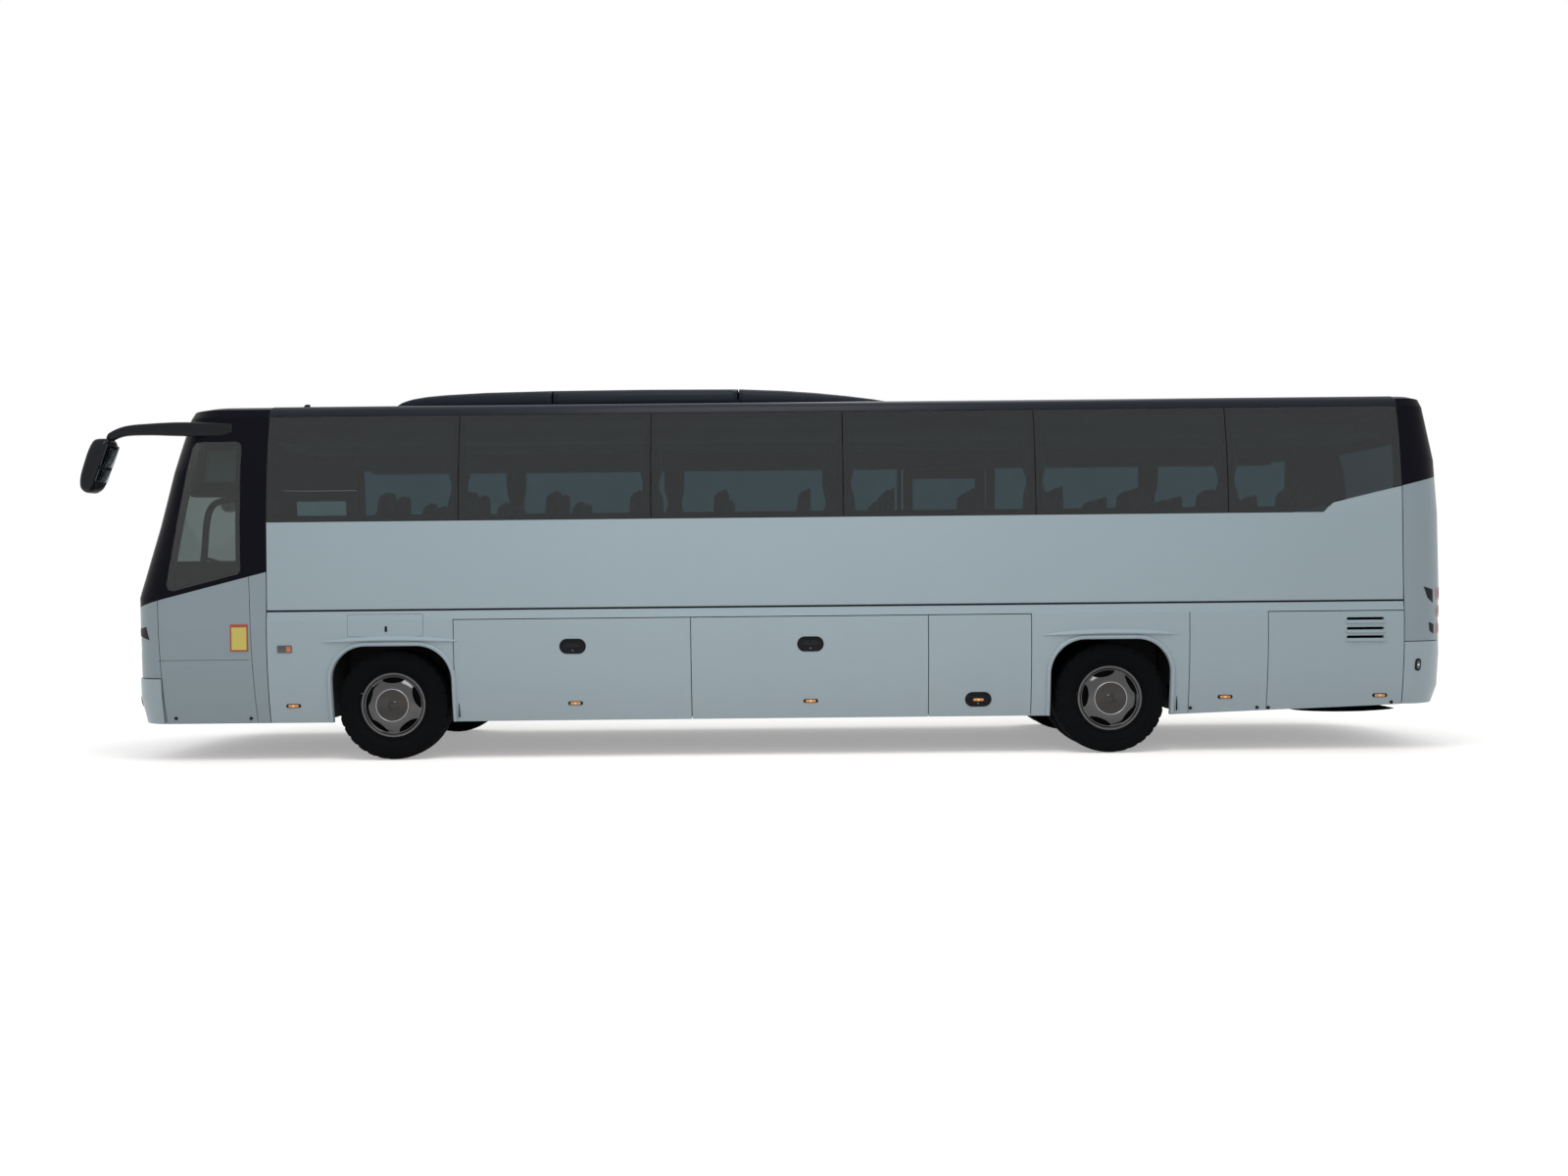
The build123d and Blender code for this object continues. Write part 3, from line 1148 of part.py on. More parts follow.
def air_conditioner():
    """Three low housings on the roof, their ends sloped and their edges rounded."""
    seat = extrude(
        Plane(origin=(X_FRONT - 200, 0, 0), x_dir=(0, 1, 0), z_dir=(1, 0, 0)) * section_face(-REST_GAP),
        amount=5300,
    )
    profile = Plane(origin=(0, 0, 0), x_dir=(1, 0, 0), z_dir=(0, -1, 0)) * make_face(Polyline(
        (X_FRONT + AC_SPANS[0][0], AC_FOOT), (X_FRONT + AC_SPANS[0][0], AC_FOOT + 20),
        (X_FRONT + 160, AC_TOP - 45), (X_FRONT + 760, AC_TOP), (X_FRONT + 3900, AC_TOP),
        (X_FRONT + 4560, AC_TOP - 60), (X_FRONT + AC_SPANS[-1][1], AC_FOOT + 20),
        (X_FRONT + AC_SPANS[-1][1], AC_FOOT), close=True,
    ).edges())
    lengthwise = extrude(profile, amount=AC_HALF, both=True)
    across = make_face([
        Line((-AC_HALF, AC_FOOT - 60), (-AC_HALF, AC_FOOT + 60)),
        ThreePointArc((-AC_HALF, AC_FOOT + 60), (-AC_HALF + 50, AC_TOP - 55), (-AC_HALF + 190, AC_TOP - 15)),
        ThreePointArc((-AC_HALF + 190, AC_TOP - 15), (0, AC_TOP), (AC_HALF - 190, AC_TOP - 15)),
        ThreePointArc((AC_HALF - 190, AC_TOP - 15), (AC_HALF - 50, AC_TOP - 55), (AC_HALF, AC_FOOT + 60)),
        Line((AC_HALF, AC_FOOT + 60), (AC_HALF, AC_FOOT - 60)),
        Line((AC_HALF, AC_FOOT - 60), (-AC_HALF, AC_FOOT - 60)),
    ])
    plane = Plane(origin=(X_FRONT - 100, 0, 0), x_dir=(0, 1, 0), z_dir=(1, 0, 0))
    whole = (extrude(plane * across, amount=5100) & lengthwise) - seat
    housings = []
    for start, end in AC_SPANS:
        housings.append(whole & block(X_FRONT + start, X_FRONT + end, -FAR, FAR, 0, AC_TOP + 50))
    return housings


# sections of a mirror's arm: x from the nose, y and z of the centre, half width, half height
MIRROR_ARM = [
    (1115, 1178, 3137, 30, 70), (415, 1212, 3142, 45, 72), (175, 1290, 3137, 45, 56),
    (-25, 1360, 3100, 40, 48),
]
# sections of its head: z, x from the nose of the front and the back, y of both sides
MIRROR_HEAD = [
    (3085, -20, 90, 1310, 1400), (3035, -115, 165, 1260, 1460), (3000, -145, 195, 1222, 1498),
    (2800, -MIRROR_REACH, 145, 1220, 1500), (2600, -135, 65, 1224, 1496), (2530, -85, 25, 1280, 1440),
]


def head_section(z, x0, x1, y0, y1):
    """Plan outline of the mirror's head: flat behind, tapered ahead."""
    taper = 0.35 * (x1 - x0)
    quarter = (y1 - y0) / 4
    points = [
        (x1, y0), (x1, y1), (x0 + taper, y1), (x0, y1 - quarter), (x0, y0 + quarter), (x0 + taper, y0)
    ]
    return Pos(X_NOSE, 0, z) * make_face(Polyline(*points, close=True).edges())


def arm_section(x, y, z, half, rise):
    """Cross-section of the mirror's arm, a box with bevelled corners."""
    cut = 0.4 * half
    points = [
        (half, -rise + cut), (half, rise - cut), (half - cut, rise), (-half + cut, rise),
        (-half, rise - cut), (-half, -rise + cut), (-half + cut, -rise), (half - cut, -rise),
    ]
    plane = Plane(origin=(X_NOSE + x, y, z), x_dir=(0, 1, 0), z_dir=(1, 0, 0))
    return plane * make_face(Polyline(*points, close=True).edges())


def mirrors():
    head = loft([head_section(*row) for row in reversed(MIRROR_HEAD)], ruled=True)
    arm = loft([arm_section(*row) for row in reversed(MIRROR_ARM)], ruled=True)
    right = head + arm - nose(-REST_GAP)
    return [right, mirror(right, Plane.XZ)]


WIPER_Z = 1560


def wipers():
    blades = []
    for y_pivot, y_tip in ((-520, 60), (60, 640)):
        x = X_NOSE + 40
        blades.append(
            block(x - 75, x - 45, y_pivot, y_tip, WIPER_Z - 20, WIPER_Z)
            + Pos(x - 20, y_pivot + 20, WIPER_Z - 10) * Rot(0, 90, 0) * Cylinder(18, 90)
        )
    skin = nose(-REST_GAP)
    return [blade - skin for blade in blades]


SEAT_PITCH = 810
SEAT_ROWS = 12
SEAT_FIRST = X_FRONT - 250     # back of the first row's cushion
SEAT_WIDTH = 440
SEAT_OUTER = 1150
AISLE_GAP = 14


def seat_profile(x_back, z_floor):
    """Side outline of a seat that faces forward: pedestal, cushion and reclined back."""
    z_low, z_cushion, z_top = z_floor + 300, z_floor + 460, z_floor + 1150
    return [
        (x_back - 480, z_low), (x_back - 490, z_cushion - 20), (x_back - 450, z_cushion),
        (x_back - 120, z_cushion - 30), (x_back + 60, z_top - 220), (x_back + 70, z_top),
        (x_back + 150, z_top - 10), (x_back + 150, z_top - 240), (x_back, z_low),
    ]


def seat(x_back, z_floor, y0, y1):
    plane = Plane(origin=(0, y0, 0), x_dir=(1, 0, 0), z_dir=(0, -1, 0))
    outline = make_face(Polyline(*seat_profile(x_back, z_floor), close=True).edges())
    return extrude(plane * outline, amount=-(y1 - y0))


def double_seat(x_back, side):
    inner = SEAT_OUTER - 2 * SEAT_WIDTH - AISLE_GAP
    pair = None
    for number in range(2):
        y0 = inner + number * (SEAT_WIDTH + AISLE_GAP)
        ys = sorted((side * y0, side * (y0 + SEAT_WIDTH)))
        one = seat(x_back, Z_SILL, *ys)
        pair = one if pair is None else pair + one
    foot = on_side(
        side, x_back - 330, x_back - 180, inner + 100, SEAT_OUTER - 60, Z_SILL, Z_SILL + 330
    )
    return pair + foot


def seats():
    pieces = []
    for row in range(SEAT_ROWS):
        x_back = SEAT_FIRST + SEAT_PITCH * row
        for side in (LEFT, RIGHT):
            over_door = side == RIGHT and MIDDLE_DOOR[0] - 250 < x_back < MIDDLE_DOOR[1] + 560
            if not over_door:
                pieces.append(double_seat(x_back, side))
    driver = seat(X_FRONT - 1280, CAB_FLOOR + 60, -1010, -530)
    driver += block(X_FRONT - 1640, X_FRONT - 1420, -880, -660, CAB_FLOOR, CAB_FLOOR + 400)
    pieces.append(driver)
    return pieces


RACK_Z = (2960, 3150)


def luggage_racks():
    racks = []
    for side in (LEFT, RIGHT):
        plane = Plane(origin=(X_MASK + 100, 0, 0), x_dir=(0, 1, 0), z_dir=(1, 0, 0))
        outline = make_face(Polyline(
            (side * 760, RACK_Z[1] - 40), (side * 760, RACK_Z[1]), (side * 790, RACK_Z[1]),
            (side * 800, RACK_Z[0] + 60), (side * 1300, RACK_Z[0] + 50),
            (side * 1300, RACK_Z[0] + 20), (side * 810, RACK_Z[0]), (side * 770, RACK_Z[0] + 30),
            close=True,
        ).edges())
        inside = section_face(T_WALL + REST_GAP)
        racks.append(extrude(plane * (outline & inside), amount=X_TAIL_JOINT - X_MASK - 300))
    return racks


CURTAIN_WIDTH = 190
CURTAIN_Z = (2300, RACK_Z[0] - 5)


def curtains():
    pieces = []
    for side in (LEFT, RIGHT):
        for x in WINDOW_JOINTS:
            near_door = side == RIGHT and MIDDLE_DOOR[0] - 300 < x < MIDDLE_DOOR[1] + 300
            if not near_door:
                pieces.append(wall_piece(
                    x - CURTAIN_WIDTH / 2, x + CURTAIN_WIDTH / 2, CURTAIN_Z[0], CURTAIN_Z[1],
                    T_WALL + 2 * REST_GAP, T_WALL + 32, side,
                ))
    return pieces


def dashboard():
    x0 = X_NOSE + 230
    plane = Plane(origin=(0, -1150, 0), x_dir=(1, 0, 0), z_dir=(0, -1, 0))
    outline = make_face(Polyline(
        (x0, CAB_FLOOR), (x0 + 20, 1640), (x0 + 60, 1700), (x0 + 330, 1740), (x0 + 480, 1690),
        (x0 + 470, 1560), (x0 + 330, 1500), (x0 + 250, CAB_FLOOR), close=True,
    ).edges())
    form = extrude(plane * outline, amount=-2150)
    boss = Pos(0, 0, -COLUMN_TOP - 160) * Cylinder(40, 320)
    return (form & nose(T_WALL + REST_GAP)) + steering_frame().location * boss


WHEEL_TILT = 30
STEERING_CENTRE = (X_FRONT - 1790, -770, 1830)
STEERING_RADIUS = 225
COLUMN_TOP = 110               # from the steering wheel down to its column


def steering_frame():
    """Frame of the steering wheel: z along its column."""
    tilt = radians(WHEEL_TILT)
    return Plane(origin=STEERING_CENTRE, x_dir=(0, 1, 0), z_dir=(sin(tilt), 0, cos(tilt)))


def steering_wheel():
    rim = Torus(STEERING_RADIUS, 15)
    spokes = Box(2 * STEERING_RADIUS, 40, 16) + Pos(0, -STEERING_RADIUS / 2, 0) * Box(40, STEERING_RADIUS, 16)
    hub = Cylinder(55, 44)
    shaft = Pos(0, 0, -(COLUMN_TOP - REST_GAP) / 2) * Cylinder(18, COLUMN_TOP - REST_GAP)
    return steering_frame().location * (rim + spokes + hub + shaft)


def engine():
    half = RAIL_HALF - RAIL_WIDTH / 2 - REST_GAP
    return block(X_REAR + 1450, X_REAR + 2900, -half, half, 560, 1250)


# ---------------------------------------------------------------- nodes
def main():
    left_wall, right_wall = side_walls()
    write("side_wall_left", left_wall)
    write("side_wall_right", right_wall)
    write("roof", roof())
    write("front_mask", front_mask())
    write("front_bumper", front_bumper())
    write("windscreen", windscreen())
    write("side_windows", *side_windows(), driver_glass())
    write("rear_wall", rear_wall())
    write("rear_window", rear_window())
    write("rear_bumper", rear_bumper())
    write("engine_lid", engine_lid())
    write("lower_panels", *lower_panels())
    write("lamps", *headlamps(), *tail_lamps())
    for side, word in ((LEFT, "left"), (RIGHT, "right")):
        for name, span in flap_spans(side).items():
            write(f"{name}_{word}", flap(side, *span))
        write(f"knuckle_{word}", knuckle(side))
        write(f"tyre_front_{word}", outboard(tyre_solid(), X_FRONT, TRACK_HALF, side))
        write(f"wheel_front_{word}", outboard(wheel_solid([]), X_FRONT, TRACK_HALF, side))
        twin = outboard(tyre_solid(), X_REAR, TRACK_HALF - TWIN_PITCH, side)
        write(f"tyres_rear_{word}", outboard(tyre_solid(), X_REAR, TRACK_HALF, side), twin)
        write(f"wheel_rear_{word}", outboard(wheel_solid([-TWIN_PITCH]), X_REAR, TRACK_HALF, side))
    write("fuel_flap", fuel_flap())
    write("front_door", front_door_leaf())
    write("front_door_glass", front_door_glass())
    write("middle_door", middle_door_leaf())
    write("middle_door_glass", middle_door_glass())
    write("front_door_arm", door_arm(FRONT_DOOR))
    write("middle_door_arm", door_arm(MIDDLE_DOOR))
    write("saloon_floor", *saloon_floor())
    write("entry_steps", *entry_steps())
    write("middle_stair", middle_stair())
    write("underframe", underframe())
    write("wheelhouses", *wheelhouses())
    write("luggage_hold", *luggage_hold())
    write("towing_sockets", *towing_sockets())
    write("front_axle", front_axle())
    write("rear_axle", rear_axle())
    write("air_springs", *air_springs())
    write("engine", engine())
    write("air_conditioner", *air_conditioner())
    write("mirrors", *mirrors())
    write("wipers", *wipers())
    write("seats", *seats())
    write("luggage_racks", *luggage_racks())
    write("curtains", *curtains())
    write("dashboard", dashboard())
    write("steering_wheel", steering_wheel())


main()
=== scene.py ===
"""Coach bus in its studio: paint, glass, trim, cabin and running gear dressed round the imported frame."""

import json
import logging
import math
from dataclasses import dataclass, field
from enum import Enum
from functools import cache
from itertools import pairwise
from typing import Callable, Sequence

import bpy
from mathutils import Matrix, Vector

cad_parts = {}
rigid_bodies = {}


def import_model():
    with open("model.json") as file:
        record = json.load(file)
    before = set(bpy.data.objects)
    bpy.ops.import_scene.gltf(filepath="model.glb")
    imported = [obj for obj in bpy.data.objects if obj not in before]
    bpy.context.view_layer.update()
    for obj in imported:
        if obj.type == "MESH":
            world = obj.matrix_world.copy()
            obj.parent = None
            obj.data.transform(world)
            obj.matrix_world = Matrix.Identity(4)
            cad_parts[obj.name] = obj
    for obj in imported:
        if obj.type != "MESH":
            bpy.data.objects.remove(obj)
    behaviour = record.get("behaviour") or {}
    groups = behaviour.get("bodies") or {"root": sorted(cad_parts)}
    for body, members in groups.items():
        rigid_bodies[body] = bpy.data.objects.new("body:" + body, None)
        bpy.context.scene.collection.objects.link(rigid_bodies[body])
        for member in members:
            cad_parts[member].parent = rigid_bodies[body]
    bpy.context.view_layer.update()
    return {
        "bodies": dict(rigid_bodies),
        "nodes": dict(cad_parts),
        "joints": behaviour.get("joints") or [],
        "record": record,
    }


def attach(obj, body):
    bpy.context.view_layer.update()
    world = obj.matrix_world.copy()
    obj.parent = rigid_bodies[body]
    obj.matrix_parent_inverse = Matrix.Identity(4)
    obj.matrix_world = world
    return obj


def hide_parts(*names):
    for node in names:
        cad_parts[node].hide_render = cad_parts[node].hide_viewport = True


logging.basicConfig(level=logging.INFO, format="%(name)s: %(message)s")
log = logging.getLogger("coach")

Point = tuple[float, float, float]
Colour = tuple[float, float, float, float]
Pick = Callable[[Vector, Vector], bool]
Piece = bpy.types.Object
Tree = bpy.types.NodeTree
Node = bpy.types.Node
Socket = bpy.types.NodeSocket

BODY = "coach_body"


class Side(Enum):
    """The two flanks of the coach; the value is the sign of y."""

    LEFT = -1
    RIGHT = 1

    @property
    def word(self) -> str:
        """The side's name as the frame's nodes and bodies spell it."""
        return self.name.lower()

    def span(self, inner: float, outer: float) -> list[float]:
        """Two distances from the middle plane as values of y on this side, the lower first."""
        return sorted((self.value * inner, self.value * outer))


# ------------------------------------------------------------------ body form
@dataclass(frozen=True)
class BodyForm:
    """The skin of the coach's flanks, in metres, as the frame draws it."""

    half: float = 1.275
    upper_step: float = 0.012
    knee: float = 1.250
    flap_top: float = 1.332
    sill: float = 1.424
    belt: float = 2.259
    glass_top: float = 3.270
    skirt: float = 0.360
    tuck_radius: float = 4.660
    tumble_radius: float = 5.265
    front_axle: float = -3.695
    rear_axle: float = 3.095
    nose: float = -6.315
    tail: float = 6.475
    mask: float = -4.859
    tail_joint: float = 5.855
    pitch: float = 1.815
    first_joint: float = -3.045
    luggage_joints: tuple[float, float, float] = (-3.101, -0.865, 1.375)
    locker_end: float = 2.345
    floor: float = 1.424

    def half_width(self, z: float) -> float:
        """Distance of the flank from the middle plane at height z."""
        if z < self.knee:
            return self.half - self.tuck_radius + math.sqrt(self.tuck_radius**2 - (self.knee - z) ** 2)
        if z <= self.flap_top:
            return self.half
        upper = self.half - self.upper_step
        if z < self.sill:
            return self.half - self.upper_step * (z - self.flap_top) / (self.sill - self.flap_top)
        if z <= self.belt:
            return upper
        return upper - self.tumble_radius + math.sqrt(self.tumble_radius**2 - (z - self.belt) ** 2)

    def place(self, x: float, z: float, side: Side, proud: float = 0.0) -> Matrix:
        """Frame on the flank: x along the body, y outwards, z up the skin.

        Args:
            x: Station along the coach.
            z: Height above the ground.
            side: Flank of the coach.
            proud: Distance of the frame's origin out from the skin.

        Returns:
            The matrix that takes a piece modelled at the origin to its place.
        """
        step = 0.002
        slope = (self.half_width(z + step) - self.half_width(z - step)) / (2 * step)
        outward = Vector((0, side.value, -slope)).normalized()
        upward = Vector((0, side.value * slope, 1)).normalized()
        return frame_matrix(
            Vector((x, side.value * self.half_width(z), z)) + outward * proud, outward, upward
        )

    @property
    def axles(self) -> tuple[float, float]:
        """Stations of both axles."""
        return self.front_axle, self.rear_axle

    @property
    def window_joints(self) -> list[float]:
        """Stations of the upright joints between the side panes."""
        return [self.first_joint + self.pitch * number for number in range(5)]


def frame_matrix(origin: Vector, outward: Vector, upward: Vector) -> Matrix:
    """Matrix of a right-handed frame whose y points outward and z upward."""
    across = outward.cross(upward).normalized()
    upward = across.cross(outward).normalized()
    turn = Matrix((across, outward, upward)).transposed().to_4x4()
    return Matrix.Translation(origin) @ turn


FORM = BodyForm()


# ------------------------------------------------------------------ shader effects
class Effects:
    """Shader node groups that several finishes share, each built once and placed with its own values."""

    @classmethod
    def _start(cls, name: str, inputs: dict[str, float], outputs: Sequence[str]) -> tuple[Tree, Node, Node]:
        """Open a new group.

        Args:
            name: Name of the group.
            inputs: Float inputs with their defaults.
            outputs: Names of the float outputs.

        Returns:
            The tree with its input and output nodes.
        """
        tree = bpy.data.node_groups.new(name, "ShaderNodeTree")
        for label, default in inputs.items():
            socket = tree.interface.new_socket(name=label, in_out="INPUT", socket_type="NodeSocketFloat")
            socket.default_value = default
        for label in outputs:
            tree.interface.new_socket(name=label, in_out="OUTPUT", socket_type="NodeSocketFloat")
        return tree, tree.nodes.new("NodeGroupInput"), tree.nodes.new("NodeGroupOutput")

    @staticmethod
    def _math(tree: Tree, kind: str, *terms: object, clamp: bool = False) -> Socket:
        """Add a Math node whose terms are sockets or numbers, and return its result."""
        node = tree.nodes.new("ShaderNodeMath")
        node.operation = kind
        node.use_clamp = clamp
        for index, term in enumerate(terms):
            if isinstance(term, Socket):
                tree.links.new(term, node.inputs[index])
            else:
                node.inputs[index].default_value = term
        return node.outputs[0]

    @staticmethod
    def _object_place(tree: Tree) -> Node:
        """Object coordinates, split into their three parts."""
        place = tree.nodes.new("ShaderNodeTexCoord")
        split = tree.nodes.new("ShaderNodeSeparateXYZ")
        tree.links.new(place.outputs["Object"], split.inputs["Vector"])
        return split

    @classmethod
    def _noise(cls, tree: Tree, scale: object, detail: float, stretch: Point = (1, 1, 1)) -> Socket:
        """Noise on Object coordinates; stretch scales the axes first."""
        place = tree.nodes.new("ShaderNodeTexCoord")
        mapping = tree.nodes.new("ShaderNodeMapping")
        mapping.inputs["Scale"].default_value = stretch
        noise = tree.nodes.new("ShaderNodeTexNoise")
        noise.inputs["Detail"].default_value = detail
        tree.links.new(place.outputs["Object"], mapping.inputs["Vector"])
        tree.links.new(mapping.outputs["Vector"], noise.inputs["Vector"])
        if isinstance(scale, Socket):
            tree.links.new(scale, noise.inputs["Scale"])
        else:
            noise.inputs["Scale"].default_value = scale
        return noise.outputs["Fac"]

    @classmethod
    @cache
    def grain(cls) -> Tree:
        """Fine grain for bump, and a slow mottle for colour and roughness."""
        tree, start, end = cls._start("surface_grain", {"Scale": 60.0}, ("Height", "Mottle"))
        tree.links.new(cls._noise(tree, start.outputs["Scale"], 3.0), end.inputs["Height"])
        slow = cls._math(tree, "MULTIPLY", start.outputs["Scale"], 0.06)
        tree.links.new(cls._noise(tree, slow, 4.0), end.inputs["Mottle"])
        return tree

    @classmethod
    @cache
    def road_film(cls) -> Tree:
        """Dust and dried spray that thins out with height."""
        tree, start, end = cls._start("road_film", {"Amount": 0.3, "Reach": 0.9}, ("Mask",))
        split = cls._object_place(tree)
        height = cls._math(tree, "DIVIDE", split.outputs["Z"], start.outputs["Reach"])
        low = cls._math(tree, "SUBTRACT", 1.0, height, clamp=True)
        streaks = cls._noise(tree, 2.2, 5.0, (0.6, 1.0, 2.4))
        dirt = cls._math(tree, "MULTIPLY", low, streaks)
        tree.links.new(
            cls._math(tree, "MULTIPLY", dirt, start.outputs["Amount"], clamp=True), end.inputs["Mask"]
        )
        return tree

    @classmethod
    @cache
    def edge_wear(cls) -> Tree:
        """Rubbed edges: the sharp outer edges of a piece, broken up by noise."""
        tree, start, end = cls._start("edge_wear", {"Amount": 0.3}, ("Mask",))
        shape = tree.nodes.new("ShaderNodeNewGeometry")
        sharp = cls._math(tree, "SUBTRACT", shape.outputs["Pointiness"], 0.53)
        gain = cls._math(tree, "MULTIPLY", sharp, 9.0, clamp=True)
        broken = cls._math(tree, "MULTIPLY", gain, cls._noise(tree, 35.0, 4.0))
        tree.links.new(
            cls._math(tree, "MULTIPLY", broken, start.outputs["Amount"], clamp=True), end.inputs["Mask"]
        )
        return tree

    @classmethod
    @cache
    def weave(cls) -> Tree:
        """Woven cloth: crossed threads for bump and a thread mask for colour."""
        tree, start, end = cls._start("cloth_weave", {"Scale": 300.0}, ("Height", "Thread"))
        place = tree.nodes.new("ShaderNodeTexCoord")
        waves = []
        for axis in ("X", "Z"):
            wave = tree.nodes.new("ShaderNodeTexWave")
            wave.bands_direction = axis
            wave.inputs["Distortion"].default_value = 0.8
            tree.links.new(place.outputs["Object"], wave.inputs["Vector"])
            tree.links.new(start.outputs["Scale"], wave.inputs["Scale"])
            waves.append(wave.outputs["Fac"])
        height = cls._math(tree, "MAXIMUM", waves[0], waves[1])
        tree.links.new(height, end.inputs["Height"])
        tree.links.new(cls._math(tree, "GREATER_THAN", waves[0], waves[1]), end.inputs["Thread"])
        return tree

    @classmethod
    @cache
    def above_line(cls) -> Tree:
        """Mask of what lies above a line that rises along x."""
        inputs = {"Station": 0.0, "Height": 1.0, "Rise": 0.0, "Floor": 0.0}
        tree, start, end = cls._start("above_line", inputs, ("Mask",))
        split = cls._object_place(tree)
        along = cls._math(tree, "SUBTRACT", split.outputs["X"], start.outputs["Station"])
        climb = cls._math(tree, "MULTIPLY", along, start.outputs["Rise"])
        line = cls._math(tree, "ADD", climb, start.outputs["Height"])
        limit = cls._math(tree, "MAXIMUM", line, start.outputs["Floor"])
        tree.links.new(cls._math(tree, "GREATER_THAN", split.outputs["Z"], limit), end.inputs["Mask"])
        return tree


def place_group(tree: Tree, group: Tree, **values: float) -> Node:
    """Put a shared effect into a material with its own values."""
    node = tree.nodes.new("ShaderNodeGroup")
    node.node_tree = group
    return preset(node, values)


def preset(node: Node, values: dict[str, object]) -> Node:
    """Set some of a shader node's inputs, by name."""
    for label, value in values.items():
        node.inputs[label].default_value = value
    return node


def ranged(tree: Tree, source: Socket, low: float, high: float, target: Socket) -> None:
    """Lead a mask to an input, as a value between low and high."""
    scale = preset(tree.nodes.new("ShaderNodeMapRange"), {"To Min": low, "To Max": high})
    tree.links.new(source, scale.inputs["Value"])
    tree.links.new(scale.outputs["Result"], target)


def tinted(colour: Colour, factor: float) -> Colour:
    """The colour, darker or lighter by a factor."""
    return (colour[0] * factor, colour[1] * factor, colour[2] * factor, 1.0)


# ------------------------------------------------------------------ finishes
BUILT: dict[str, bpy.types.Material] = {}
ROAD_DUST: Colour = (0.20, 0.19, 0.17, 1.0)
COAT_ROUGHNESS = 0.05
BUMP_STRENGTH = 0.6
BAND_SPECULAR = 0.02
GLASS_INDEX = 1.45


@dataclass(frozen=True)
class Finish:
    """A finish of the coach, with the detail that its surface shows."""

    name: str
    slot: str
    colour: Colour
    roughness: float = 0.4
    metallic: float = 0.0
    specular: float = 0.25
    coat: float = 0.0
    mottle: float = 0.04
    grain_scale: float = 60.0
    bump: float = 0.0
    film: float = 0.0
    film_reach: float = 0.9
    wear: float = 0.0
    wear_colour: Colour = (0.35, 0.35, 0.36, 1.0)
    sheen: float = 0.0

    def material(self) -> bpy.types.Material:
        """Build the finish, or hand back the one already built."""
        if self.name in BUILT:
            return BUILT[self.name]
        material = BUILT[self.name] = bpy.data.materials.new(self.name)
        material.use_nodes = True
        tree = material.node_tree
        shader = tree.nodes["Principled BSDF"]
        preset(shader, {
            "Metallic": self.metallic, "Specular IOR Level": self.specular, "Coat Weight": self.coat,
            "Coat Roughness": COAT_ROUGHNESS, "Sheen Weight": self.sheen,
        })
        self.dress(tree, shader)
        return material

    def dress(self, tree: Tree, shader: Node) -> None:
        """Lay the finish's own colour, roughness and relief on the shader."""
        grain = place_group(tree, Effects.grain(), Scale=self.grain_scale)
        self.finish_off(tree, shader, self.mottled(tree, grain), grain)

    def mottled(self, tree: Tree, grain: Node) -> Socket:
        """The finish's colour, a little lighter and darker from place to place."""
        darker, lighter = tinted(self.colour, 1 - self.mottle), tinted(self.colour, 1 + self.mottle)
        return self.mixed(tree, grain.outputs["Mottle"], darker, lighter)

    def finish_off(self, tree: Tree, shader: Node, colour: Socket, grain: Node) -> None:
        """Add wear, road film, roughness and bump.

        Args:
            tree: The material's node tree.
            shader: Its Principled BSDF.
            colour: The clean colour.
            grain: The placed grain group.
        """
        if self.wear:
            worn = place_group(tree, Effects.edge_wear(), Amount=self.wear)
            colour = self.mixed(tree, worn.outputs["Mask"], colour, self.wear_colour)
        if self.film:
            film = place_group(tree, Effects.road_film(), Amount=self.film, Reach=self.film_reach)
            colour = self.mixed(tree, film.outputs["Mask"], colour, ROAD_DUST)
        tree.links.new(colour, shader.inputs["Base Color"])
        dullest = min(1.0, self.roughness * 1.14)
        ranged(tree, grain.outputs["Mottle"], self.roughness * 0.88, dullest, shader.inputs["Roughness"])
        if self.bump:
            self.relief(tree, shader, grain.outputs["Height"])

    def relief(self, tree: Tree, shader: Node, height: Socket) -> None:
        """Feed a height into the shader's normal."""
        bump = tree.nodes.new("ShaderNodeBump")
        preset(bump, {"Strength": BUMP_STRENGTH, "Distance": self.bump})
        tree.links.new(height, bump.inputs["Height"])
        tree.links.new(bump.outputs["Normal"], shader.inputs["Normal"])

    @staticmethod
    def mixed(tree: Tree, factor: Socket, first: object, second: object) -> Socket:
        """Mix two colours, each a socket or a plain colour, by a mask."""
        mix = tree.nodes.new("ShaderNodeMix")
        mix.data_type = "RGBA"
        tree.links.new(factor, mix.inputs[0])
        for socket, value in ((mix.inputs[6], first), (mix.inputs[7], second)):
            if isinstance(value, Socket):
                tree.links.new(value, socket)
            else:
                socket.default_value = value
        return mix.outputs[2]


@dataclass(frozen=True)
class TwoToneFinish(Finish):
    """Body paint below a rising line and gloss black above it."""

    upper: Colour = (0.006, 0.006, 0.009, 1.0)
    station: float = 0.0
    height: float = 1.0
    rise: float = 0.0
    lowest: float = 0.0

    def dress(self, tree: Tree, shader: Node) -> None:
        """Lay both colours on the shader, split at the line."""
        grain = place_group(tree, Effects.grain(), Scale=self.grain_scale)
        paint = self.mottled(tree, grain)
        line = place_group(
            tree, Effects.above_line(), Station=self.station, Height=self.height, Rise=self.rise,
            Floor=self.lowest,
        )
        ranged(tree, line.outputs["Mask"], self.specular, BAND_SPECULAR, shader.inputs["Specular IOR Level"])
        self.finish_off(tree, shader, self.mixed(tree, line.outputs["Mask"], paint, self.upper), grain)


